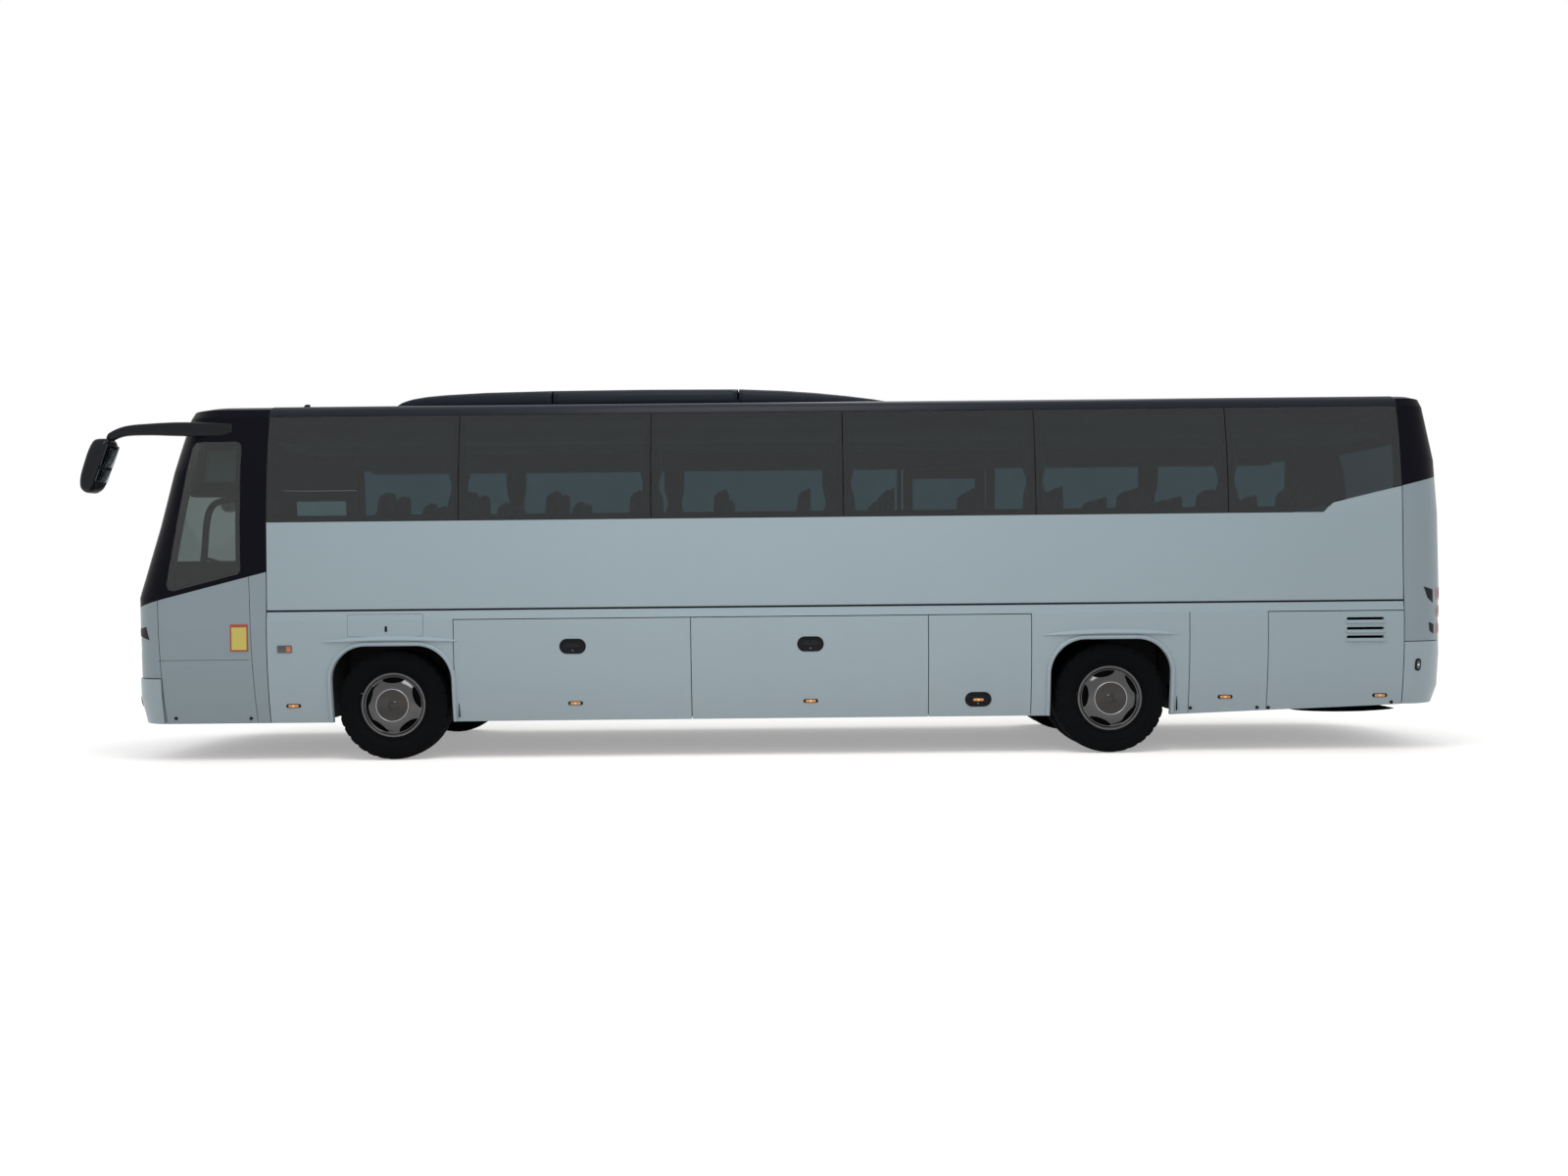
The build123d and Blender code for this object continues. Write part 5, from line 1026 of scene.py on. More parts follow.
# ------------------------------------------------------------------ studio
@dataclass
class Studio:
    """Camera, lamps, pale floor and white surround."""

    lens: float = 27.05
    sensor: float = 36.0
    camera_at: Point = (0.018, -12.365, 1.594)
    roll_degrees: float = 0.57
    floor_radius: float = 60.0
    floor_colour: Colour = (0.95, 0.88, 0.82, 1)
    floor_glow: float = 0.32
    sky: Colour = (0.86, 0.93, 1.0, 1.0)
    sky_strength: float = 0.86
    lamps: tuple[tuple[str, Point, Point, float, float], ...] = (
        ("key", (-0.4, -4.6, 8.6), (0.0, 0.0, 1.4), 5.0, 370.0),
        ("fill", (4.0, 9.0, 14.0), (0.0, 0.0, 1.4), 8.0, 450.0),
        ("front", (-16.0, 3.0, 9.0), (-4.0, 0.0, 1.6), 6.0, 60.0),
    )

    def build(self) -> None:
        """Set up the whole studio."""
        self.camera()
        self.world()
        self.floor()
        for name, place, aim, size, power in self.lamps:
            self.lamp(name, place, aim, size, power)
        bpy.context.scene.view_settings.view_transform = "Standard"

    def camera(self) -> None:
        """Stand the camera square to the left flank, rolled a touch."""
        data = bpy.data.cameras.new("side_camera")
        data.lens = self.lens
        data.sensor_width = self.sensor
        data.clip_end = 400.0
        camera = bpy.data.objects.new("side_camera", data)
        level = Matrix.Rotation(math.radians(90), 4, "X")
        roll = Matrix.Rotation(math.radians(-self.roll_degrees), 4, "Z")
        camera.matrix_world = Matrix.Translation(self.camera_at) @ (level @ roll)
        bpy.context.scene.collection.objects.link(camera)
        bpy.context.scene.camera = camera

    def world(self) -> None:
        """White surround to the eye and in reflections, a soft sky for the light."""
        world = bpy.data.worlds.new("surround")
        bpy.context.scene.world = world
        world.use_nodes = True
        tree = world.node_tree
        tree.nodes.clear()
        output = tree.nodes.new("ShaderNodeOutputWorld")
        seen = preset(tree.nodes.new("ShaderNodeBackground"), {"Color": (1, 1, 1, 1)})
        light = tree.nodes.new("ShaderNodeBackground")
        preset(light, {"Color": self.sky, "Strength": self.sky_strength})
        mix = tree.nodes.new("ShaderNodeMixShader")
        tree.links.new(self.plain_sight(tree), mix.inputs["Fac"])
        tree.links.new(light.outputs[0], mix.inputs[1])
        tree.links.new(seen.outputs[0], mix.inputs[2])
        tree.links.new(mix.outputs[0], output.inputs["Surface"])

    @staticmethod
    def plain_sight(tree: Tree) -> Socket:
        """One for rays from the camera, off gloss or through glass."""
        path = tree.nodes.new("ShaderNodeLightPath")
        total = path.outputs["Is Camera Ray"]
        for label in ("Is Glossy Ray", "Is Transmission Ray"):
            node = tree.nodes.new("ShaderNodeMath")
            node.operation = "MAXIMUM"
            tree.links.new(total, node.inputs[0])
            tree.links.new(path.outputs[label], node.inputs[1])
            total = node.outputs[0]
        return total

    def floor(self) -> None:
        """Pale floor that keeps the shadow and fades into the surround."""
        Bench.clear()
        bpy.ops.mesh.primitive_circle_add(
            vertices=96, radius=self.floor_radius, fill_type="NGON", location=(0, 0, 0)
        )
        floor = bpy.context.object
        floor.name = "floor"
        material = bpy.data.materials.new("studio_floor")
        material.use_nodes = True
        tree = material.node_tree
        shader = tree.nodes["Principled BSDF"]
        preset(shader, {"Base Color": self.floor_colour, "Roughness": 0.9, "Specular IOR Level": 0.0})
        glow = preset(tree.nodes.new("ShaderNodeEmission"), {"Strength": self.floor_glow})
        lit = tree.nodes.new("ShaderNodeAddShader")
        choose = tree.nodes.new("ShaderNodeMixShader")
        output = tree.nodes["Material Output"]
        tree.links.new(shader.outputs[0], lit.inputs[0])
        tree.links.new(glow.outputs[0], lit.inputs[1])
        tree.links.new(self.plain_sight(tree), choose.inputs["Fac"])
        tree.links.new(shader.outputs[0], choose.inputs[1])
        tree.links.new(lit.outputs[0], choose.inputs[2])
        tree.links.new(choose.outputs[0], output.inputs["Surface"])
        floor.data.materials.append(material)

    @staticmethod
    def lamp(name: str, place: Point, aim: Point, size: float, power: float) -> None:
        """Hang one soft lamp."""
        data = bpy.data.lights.new(name, "AREA")
        data.shape = "SQUARE"
        data.size = size
        data.energy = power
        lamp = bpy.data.objects.new(name, data)
        lamp.location = place
        lamp.rotation_euler = (Vector(aim) - Vector(place)).to_track_quat("-Z", "Y").to_euler()
        bpy.context.scene.collection.objects.link(lamp)


# ------------------------------------------------------------------ paintwork
def inward(centre: Vector, normal: Vector) -> bool:
    """Whether a face looks towards the middle plane."""
    return normal.y * centre.y < -0.3


@dataclass
class Paintwork:
    """Finishes of the frame's own nodes."""

    nodes: dict[str, Piece]
    whole: dict[str, Finish] = field(
        default_factory=lambda: {
            "air_conditioner": UNIT, "air_springs": BELLOWS, "engine": ENGINE, "front_axle": IRON,
            "rear_axle": IRON, "knuckle_left": IRON, "knuckle_right": IRON, "underframe": CHASSIS,
            "roof": ROOF, "wipers": TRIM, "front_door_arm": TRIM, "middle_door_arm": TRIM,
            "mirrors": GLOSS_TRIM, "luggage_racks": PALE_PLASTIC, "dashboard": MOULDED,
            "saloon_floor": VINYL, "seats": SEAT_CLOTH, "curtains": CURTAIN, "steering_wheel": GRIP,
            "front_bumper": PAINT, "rear_bumper": PAINT, "engine_lid": PAINT, "lower_panels": PAINT,
            "fuel_flap": PAINT, "front_mask": MASK_PAINT_SHADED, "front_door": MASK_PAINT_SHADED, "rear_wall": TAIL_PAINT_SHADED,
            "windscreen": FRONT_GLASS, "front_door_glass": FRONT_GLASS, "middle_door_glass": SIDE_GLASS,
            "side_windows": SIDE_GLASS, "rear_window": REAR_GLASS, "lamps": RED_LENS,
            "side_wall_left": WALL_PAINT, "side_wall_right": WALL_PAINT, "middle_door": WALL_PAINT,
            "tyre_front_left": TYRE, "tyre_front_right": TYRE, "tyres_rear_left": TYRE,
            "tyres_rear_right": TYRE, "wheel_front_left": RIM, "wheel_front_right": RIM,
            "wheel_rear_left": RIM, "wheel_rear_right": RIM, "entry_steps": VINYL, "middle_stair": VINYL,
            "wheelhouses": CHASSIS, "luggage_hold": CHASSIS, "towing_sockets": CHASSIS,
        }
    )

    def build(self) -> None:
        """Dress every node of the frame."""
        for name, node in self.nodes.items():
            node.data.materials.clear()
            finish = self.whole.get(name, PAINT)
            node.data.materials.append(finish.material())
        for side in Side:
            wall = f"side_wall_{side.word}"
            self.second(wall, LINING, lambda centre, normal: abs(centre.y) < FORM.half_width(centre.z) - 0.03)
            self.second(wall, PAINT, self.over_belt)
        self.second("front_mask", LINING, lambda centre, normal: normal.x > 0.35 or inward(centre, normal))
        self.second("rear_wall", LINING, lambda centre, normal: normal.x < -0.35 or inward(centre, normal))
        for door in ("front_door", "middle_door"):
            self.second(door, LINING, inward)
        self.second("side_windows", FRONT_GLASS, lambda centre, normal: centre.x < FORM.mask + 0.01)
        self.second("lamps", LENS, lambda centre, normal: centre.x < 0)

    @staticmethod
    def over_belt(centre: Vector, normal: Vector) -> bool:
        """Whether a face lies on the skin above the belt line."""
        return centre.z > FORM.belt + 0.003 and abs(centre.y) > FORM.half_width(centre.z) - 0.004

    def second(self, name: str, finish: Finish, keep: Pick) -> None:
        """Give the faces that the test keeps a second finish."""
        mesh = self.nodes[name].data
        mesh.materials.append(finish.material())
        slot = len(mesh.materials) - 1
        for face in mesh.polygons:
            if keep(face.center, face.normal):
                face.material_index = slot


# ------------------------------------------------------------------ running gear
@dataclass
class RunningGear:
    """Tyres, rims and polished covers of all six wheels, turned about y with the outer face outwards."""

    centre: float = 0.522
    track: float = 1.076
    twin_pitch: float = 0.332
    cover_radius: float = 0.292
    slots: int = 5
    lug_steps: int = 150
    rear_turn: float = 13.0

    def build(self) -> None:
        """Make each kind of wheel once and stand the copies on both axles."""
        # The ring between cap and cover is bright aluminium as a painted highlight; the slot shade ring is
        # painted shade.
        dressings = (
            ("cover", self.cover, CHROME_PAINTED_DARK_REFLECTION), ("cap", self.cap, CAP_PAINTED_DARK_REFLECTION), ("cap_ring", self.cap_ring, ALUMINIUM),
            ("slot_shade", self.slot_shade, SHADOW), ("valve", self.valve, CHROME_PAINTED_DARK_REFLECTION),
        )
        for side in Side:
            front = [self.place(FORM.front_axle, self.track, side)]
            rear = [self.place(FORM.rear_axle, self.track, side)]
            inner = [self.place(FORM.rear_axle, self.track - self.twin_pitch, side)]
            for axle, body, places in (("front", "front_wheel", front), ("rear", "rear_wheels", rear)):
                word = f"{axle}_{side.word}"
                ride = f"{body}_{side.word}"
                tyres = places if axle == "front" else places + inner
                old = f"tyre_{word}" if axle == "front" else f"tyres_{word}"
                release(Bench.copies(f"tyres_{word}_treaded", self.tyre(), tyres), TYRE, ride, [old])
                release(
                    Bench.copies(f"rims_{word}_steel", self.rim(axle == "rear"), tyres), RIM, ride,
                    [f"wheel_{word}"],
                )
                for label, model, finish in dressings:
                    release(Bench.copies(f"{label}_{word}", model(), places), finish, ride)

    def place(self, x: float, y: float, side: Side) -> Matrix:
        """Stand a wheel modelled about y at an axle end."""
        turn = Matrix.Rotation(math.pi if side is Side.LEFT else 0.0, 4, "Z")
        rolled = Matrix.Rotation(-math.radians(self.rear_turn if x > 0 else 0.0), 4, "Y")
        return Matrix.Translation((x, side.value * y, self.centre)) @ rolled @ turn

    def tyre(self) -> Piece:
        """Casing with four tread grooves, lugged shoulders and moulded wall rings."""
        crown, half = 0.522, 0.149
        wall = [
            (0.288, 0.104), (0.300, 0.117), (0.318, 0.126), (0.322, 0.133), (0.330, 0.133), (0.334, 0.129),
            (0.352, 0.141), (0.385, half), (0.388, half + 0.0015), (0.394, half + 0.0015), (0.397, half),
            (0.430, 0.1475), (0.456, 0.144), (0.460, 0.1455), (0.468, 0.1445), (0.486, 0.138), (0.502, 0.130),
        ]
        tread = [
            (0.5135, 0.126), (0.5155, 0.098), (0.503, 0.094), (0.503, 0.084), (0.5195, 0.080),
            (0.5215, 0.034), (0.509, 0.030), (0.509, 0.020), (crown, 0.016),
        ]
        outer = wall + tread
        profile = outer + [(radius, -out) for radius, out in reversed(outer)]
        piece = Bench.lathe("tyre_model", profile + [profile[0]], self.lug_steps)

        def lug(at: Vector) -> Vector:
            radius = math.hypot(at.x, at.z)
            step = round(math.degrees(math.atan2(at.z, at.x)) * self.lug_steps / 360)
            if 0.485 < radius < 0.517 and abs(at.y) > 0.095 and step % 5 == 0:
                share = (radius - 0.009) / radius
                return Vector((at.x * share, at.y - math.copysign(0.004, at.y), at.z * share))
            return at

        return Bench.smooth(Bench.shift(piece, lug), 28)

    def rim(self, twinned: bool) -> Piece:
        """Rim barrel with its flanges, disc, hub and brake drum."""
        barrel = [
            (0.287, 0.112), (0.303, 0.113), (0.305, 0.118), (0.303, 0.123), (0.290, 0.124), (0.283, 0.118),
            (0.276, 0.096), (0.262, 0.070), (0.262, -0.060), (0.276, -0.100), (0.290, -0.124),
            (0.303, -0.123), (0.305, -0.118), (0.303, -0.113), (0.287, -0.112), (0.272, -0.060),
            (0.272, 0.070), (0.287, 0.112),
        ]
        middle = 0.035 if twinned else 0.055
        profile = [
            (0.045, middle - 0.010), (0.262, middle - 0.010), (0.262, middle + 0.002),
            (0.17, middle + 0.010), (0.045, middle + 0.010), (0.045, middle - 0.010),
        ]
        disc = Bench.lathe("rim_disc", profile, 48)
        profile = [
            (0.046, -0.045), (0.110, -0.040), (0.115, 0.030), (0.100, 0.060), (0.046, 0.062), (0.046, -0.045)
        ]
        hub = Bench.lathe("rim_hub", profile, 40)
        profile = [
            (0.120, -0.120), (0.205, -0.120), (0.212, -0.112), (0.212, 0.010), (0.120, 0.020),
            (0.120, -0.120),
        ]
        drum = Bench.lathe("brake_drum", profile, 48)
        return Bench.join("rim_model", [Bench.lathe("rim_barrel", barrel, 96), disc, hub, drum])

    def cover(self) -> Piece:
        """Polished cover: a bowed disc with a bright lip and lens-shaped slots cut through it."""
        profile = [
            (0.148, 0.154), (0.168, 0.156), (0.186, 0.154), (0.204, 0.149), (0.220, 0.142), (0.236, 0.132),
            (0.250, 0.121), (0.262, 0.113), (0.270, 0.111), (0.276, 0.114), (0.282, 0.123), (0.288, 0.125),
            (self.cover_radius, 0.120), (0.290, 0.114), (0.276, 0.106), (0.260, 0.106), (0.246, 0.114),
            (0.230, 0.127), (0.204, 0.141), (0.168, 0.148), (0.148, 0.146), (0.148, 0.154),
        ]
        disc = Bench.lathe("cover_disc", profile, 120)
        cutter = self.lens_cutter()
        Bench.modify(disc, "BOOLEAN", operation="DIFFERENCE", solver="EXACT", object=cutter)
        bpy.data.objects.remove(cutter)
        return Bench.smooth(disc, 30)

    def lens_cutter(self) -> Piece:
        """The five slots' outlines as one cutter: flat towards the rim, bowed towards the hub."""
        half, outer_radius = 0.106, 0.262

        def lens(at: Vector) -> Vector:
            along = max(-1.0, min(1.0, at.x / half))
            arch = 0.025 * (1 - along * along) ** 0.8 + 0.002
            outer = math.sqrt(outer_radius**2 - at.x**2)
            return Vector((at.x, at.y, outer + 0.002 if at.z > 0 else outer - 2 * arch))

        blank = Bench.cut_up(Bench.block("slot_blank", (-half, 0.02, -0.02), (half, 0.20, 0.02)), 15)
        turns = [Matrix.Rotation(2 * math.pi * number / self.slots, 4, "Y") for number in range(self.slots)]
        return Bench.copies("slot_cutter", Bench.mend(Bench.shift(blank, lens)), turns)

    @staticmethod
    def cap() -> Piece:
        """Domed cap over the hub with a rolled edge and a raised button."""
        return Bench.lathe("hub_cap", [
            (0.149, 0.130), (0.149, 0.150), (0.144, 0.150), (0.120, 0.146), (0.080, 0.143), (0.056, 0.142),
            (0.048, 0.139), (0.040, 0.138), (0.034, 0.143), (0.020, 0.151), (0.0, 0.154),
        ], 80)

    @staticmethod
    def cap_ring() -> Piece:
        """Rolled ring in the joint between the cap and the cover, in bright aluminium: a painted highlight
        along the cap's edge.
        """
        middle, out, bar, points = 0.1515, 0.155, 0.0032, 10
        angles = [math.tau * number / points for number in range(points + 1)]
        circle = [(middle + bar * math.cos(angle), out + bar * math.sin(angle)) for angle in angles]
        return Bench.lathe("cap_ring", circle, 96)

    @staticmethod
    def slot_shade() -> Piece:
        """Dark shade ring behind the slots."""
        profile = [(0.196, 0.098), (0.268, 0.098), (0.268, 0.102), (0.196, 0.102), (0.196, 0.098)]
        return Bench.lathe("slot_shade", profile, 60)

    @staticmethod
    def valve() -> Piece:
        """Valve stem on its extension beside the cover."""
        path = [(0.262, 0.110, 0.10), (0.285, 0.128, 0.108), (0.303, 0.132, 0.114)]
        return Bench.tube("valve_stem", path, 0.0045)


# ------------------------------------------------------------------ flanks
@dataclass
class Store:
    """Small pieces kept by finish and body until they are joined and released."""

    prefix: str
    kept: dict[tuple[str, str], tuple[Finish, list[Piece]]] = field(default_factory=dict)

    def add(self, piece: Piece, finish: Finish, body: str = BODY) -> Piece:
        """Keep one piece, in place."""
        self.kept.setdefault((finish.name, body), (finish, []))[1].append(piece)
        return piece

    def fit(self, piece: Piece, place: Matrix, finish: Finish, body: str = BODY) -> None:
        """Settle one piece in its place and keep it."""
        self.add(Bench.settle(piece, place), finish, body)

    def release(self) -> None:
        """Join what is kept by finish and body, and release it."""
        for (name, body), (finish, parts) in self.kept.items():
            label = "" if body == BODY else f"_{body}"
            release(Bench.join(f"{self.prefix}_{name}{label}", parts), finish, body)


@dataclass
class SideTrim:
    """Handles, marker lamps, bolts, strips, flares and labels of both flanks."""

    surface: Surface
    store: Store = field(default_factory=lambda: Store("side"))
    flaps: tuple[str, str, str] = ("luggage_flap_front", "luggage_flap_rear", "engine_flap")
    handle_height: float = 1.065
    marker_height: float = 0.524
    doorway: tuple[float, float] = (1.386, 2.354)
    repeater_at: tuple[float, float] = (-4.690, 1.064)
    label_at: tuple[float, float] = (-5.117, 1.174)
    louvre_x: float = 5.4885

    def build(self) -> None:
        """Fit out both flanks."""
        for side in Side:
            front, rear, lid = (f"{name}_{side.word}" for name in self.flaps)
            for x, body in ((-1.978, front), (0.262, rear)):
                self.handle(x, self.handle_height, side, body)
            for x, body in ((-4.631, BODY), (-1.964, front), (0.261, rear), (4.180, BODY), (5.643, lid)):
                self.marker(x, side, body)
            bolts = [
                (-5.754, 0.415, BODY), (3.856, 0.420, BODY), (4.488, 0.419, BODY), (4.594, 0.417, lid),
                (5.757, 0.457, lid),
            ]
            for x, z, body in bolts:
                if side is Side.LEFT or x > 0:
                    self.bolt(x, z, side, body)
            self.repeater(side)
            self.sill_strip(side)
            self.louvres(side, lid)
            for axle in FORM.axles:
                self.flare(axle, side)
            self.oval_lamp(side)
        self.bolt(-5.043, 0.408, Side.LEFT, BODY)
        self.handle(1.845, 0.523, Side.LEFT, "locker_flap_left")
        self.marker(1.845, Side.LEFT, "locker_flap_left", 0.523, 0.012)
        self.label()
        self.fuel_lock()
        self.store.release()

    def fit(
        self, piece: Piece, x: float, z: float, side: Side, proud: float, finish: Finish, body: str = BODY
    ) -> None:
        """Settle a piece modelled about y on the flank, a distance proud of the skin."""
        self.store.fit(piece, FORM.place(x, z, side, proud), finish, body)

    def handle(self, x: float, z: float, side: Side, body: str) -> None:
        """Dark oval dish in its recess, with a rolled edge, a pull and a lock."""
        self.fit(Bench.pill("dish", 0.238, 0.131, 0.003, 40), x, z, side, -0.0115, TRIM, body)
        reach, half = (0.244 - 0.137) / 2, 0.0685
        ring = [
            (math.copysign(reach, math.cos(a)) + half * math.cos(a), 0.0, half * math.sin(a))
            for a in (math.tau * (k + 0.5) / 36 for k in range(36))
        ]
        self.fit(Bench.tube("edge", ring, 0.0035, closed=True), x, z, side, 0.0005, GLOSS_TRIM, body)
        pull = Bench.round(Bench.pill("pull", 0.150, 0.050, 0.007), 0.003)
        self.fit(pull, x, z + 0.012, side, -0.0085, GLOSS_TRIM, body)
        self.fit(Bench.drum("lock", 0.010, 0.0, 0.006, 20), x, z - 0.040, side, -0.0085, CHROME_PAINTED_DARK_REFLECTION, body)

    def marker(self, x: float, side: Side, body: str, z: float | None = None, lift: float = 0.0) -> None:
        """Amber side lamp: a dark bezel, a ribbed lens and its bright centre."""
        z = self.marker_height if z is None else z
        bezel = Bench.round(Bench.pill("bezel", 0.141, 0.037, 0.005), 0.0015)
        self.fit(bezel, x, z, side, lift - 0.002, TRIM, body)
        lens = Bench.round(Bench.pill("lens", 0.100, 0.026, 0.010), 0.004, 3)
        self.fit(lens, x, z, side, lift - 0.001, AMBER_LENS, body)
        lamp = Bench.round(Bench.drum("lamp", 0.010, 0.0, 0.0115, 20), 0.002)
        self.fit(lamp, x, z, side, lift, BRIGHT_LENS, body)

    def bolt(self, x: float, z: float, side: Side, body: str) -> None:
        """Quarter-turn lock of a panel: a dark disc with its key slot."""
        head = Bench.drum("bolt", 0.016, -0.002, 0.004, 20)
        Bench.inset(head, lambda centre, normal: normal.y > 0.9, 0.006, -0.002)
        self.fit(head, x, z, side, 0.0, TRIM, body)

    def repeater(self, side: Side) -> None:
        """Turn lamp ahead of the front wheel: a dark housing with its orange end."""
        housing = Bench.slab("housing", (-0.068, -0.002, -0.034), (0.068, 0.010, 0.034), 0.006, 3)
        self.fit(housing, *self.repeater_at, side, 0.0, DISPLAY)
        end = Bench.slab("end", (-0.022, 0.0, -0.026), (0.022, 0.0125, 0.026), 0.004, 3)
        self.fit(end, -4.650, 1.064, side, 0.0, ORANGE_LENS)

    def sill_strip(self, side: Side) -> None:
        """Dark rubber strip along the sill, broken at the middle doorway."""
        stops = [FORM.mask + 0.005, FORM.tail_joint - 0.005]
        if side is Side.RIGHT:
            stops[1:1] = self.doorway
        inner, outer = FORM.half_width(FORM.sill) - 0.002, FORM.half_width(FORM.sill) + 0.004
        for start, end in zip(stops[::2], stops[1::2]):
            y0, y1 = side.span(inner, outer)
            strip = Bench.block("strip", (start, y0, FORM.sill - 0.010), (end, y1, FORM.sill + 0.007))
            self.store.add(Bench.round(strip, 0.0015), SEAL)

    def louvres(self, side: Side, body: str) -> None:
        """Pressed hoods over the lower part of the engine flap's slots, and a flat black screen behind them
        as painted shade.
        """
        for low in (1.052, 1.132, 1.224):
            hood = Bench.pill("hood", 0.366, 0.028, 0.016, 24)
            Bench.shift(hood, lambda at: Vector((at.x, at.y * (1.0 if at.z < 0 else 0.35), at.z)))
            self.fit(Bench.round(hood, 0.004, 3), self.louvre_x, low + 0.003, side, -0.001, PAINT, body)
        screen = Bench.block("screen", (-0.20, -0.004, -0.13), (0.20, 0.0, 0.13))
        self.fit(screen, self.louvre_x, 1.158, side, -0.046, SHADOW, body)

    def flare(self, axle: float, side: Side) -> None:
        """Rolled flare round a wheel arch, from skirt to skirt."""
        half, top, corner = 0.570 + 0.017, 1.086 + 0.017, 0.347
        outline = [(-half, FORM.skirt + 0.004 + (top - corner - FORM.skirt) * k / 6) for k in range(6)]
        outline += [
            (-half + corner * (1 - math.cos(a)), top - corner * (1 - math.sin(a)))
            for a in (math.pi / 2 * k / 12 for k in range(13))
        ]
        outline += [(-x, z) for x, z in reversed(outline)]
        path = [(axle + x, side.value * (FORM.half_width(z) + 0.001), z) for x, z in outline]
        self.store.add(Bench.tube("flare", path, 0.020, sides=4), PAINT)

    def oval_lamp(self, side: Side) -> None:
        """Upright oval lamp on the corner of the rear bumper."""
        place = self.surface.place("rear_bumper", (5.995, side.value * 3.0, 0.812), (0, -side.value, 0))
        upright = Matrix.Rotation(math.pi / 2, 4, "Y")
        self.store.fit(Bench.round(Bench.pill("bezel", 0.118, 0.062, 0.006), 0.002), place @ upright, TRIM)
        self.store.fit(Bench.round(Bench.pill("lens", 0.080, 0.032, 0.010), 0.004), place @ upright, DISPLAY)
        self.store.fit(Bench.round(Bench.drum("lamp", 0.011, 0.0, 0.012, 20), 0.002), place, WHITE_LENS)

    def label(self) -> None:
        """Plain yellow panel with its red border below the driver's window."""
        border = Bench.block("border", (-0.083, -0.001, -0.127), (0.083, 0.0012, 0.127))
        self.fit(border, *self.label_at, Side.LEFT, 0.0, RED_FILM)
        film = Bench.block("film", (-0.070, 0.0, -0.112), (0.070, 0.0018, 0.100))
        self.fit(film, *self.label_at, Side.LEFT, 0.0, YELLOW)

    def fuel_lock(self) -> None:
        """Lock of the fuel flap."""
        lock = Bench.settle(Bench.pill("lock", 0.055, 0.024, 0.004, 24), Matrix.Rotation(math.pi / 2, 4, "Y"))
        self.fit(lock, -3.733, 1.244, Side.LEFT, -0.0005, TRIM, "fuel_flap")


# ------------------------------------------------------------------ nose, tail and roof
def loft(
    name: str, sections: Sequence[tuple[Point, Point, Point]], square: float = 1.0, rows: int = 5,
    columns: int = 40,
) -> Piece:
    """Smooth closed form through oval sections, drawn together at both ends.

    Args:
        name: Name of the piece.
        sections: Middle, half width and half height of each section, as vectors.
        square: One for ovals, less for squarer sections.
        rows: Rows from one section to the next.
        columns: Points round a section.

    Returns:
        The lofted piece, in place.
    """
    stops = [tuple(Vector(part) for part in section) for section in sections]
    first, last = stops[0], stops[-1]
    nothing = Vector((0, 0, 0))
    stops = [(first[0], nothing, nothing), *stops, (last[0], nothing, nothing)]

    def spline(part: int, at: float) -> Vector:
        index = min(int(at), len(stops) - 2)
        t = at - index
        a, b, c, d = (stops[max(0, min(len(stops) - 1, index + step))][part] for step in (-1, 0, 1, 2))
        if index in (0, len(stops) - 2):
            return b.lerp(c, t)
        return 0.5 * (
            2 * b + (c - a) * t + (2 * a - 5 * b + 4 * c - d) * t**2 + (3 * b - a - 3 * c + d) * t**3
        )

    def form(u: float, v: float) -> Vector:
        at = v * (len(stops) - 1)
        angle = math.tau * u
        across, up = (math.copysign(abs(wave(angle)) ** square, wave(angle)) for wave in (math.cos, math.sin))
        return spline(0, at) + spline(1, at) * across + spline(2, at) * up

    piece = Bench.mend(Bench.grid(name, columns, rows * (len(stops) - 1), form))
    return Bench.round(piece, 0.006, 2, 50)


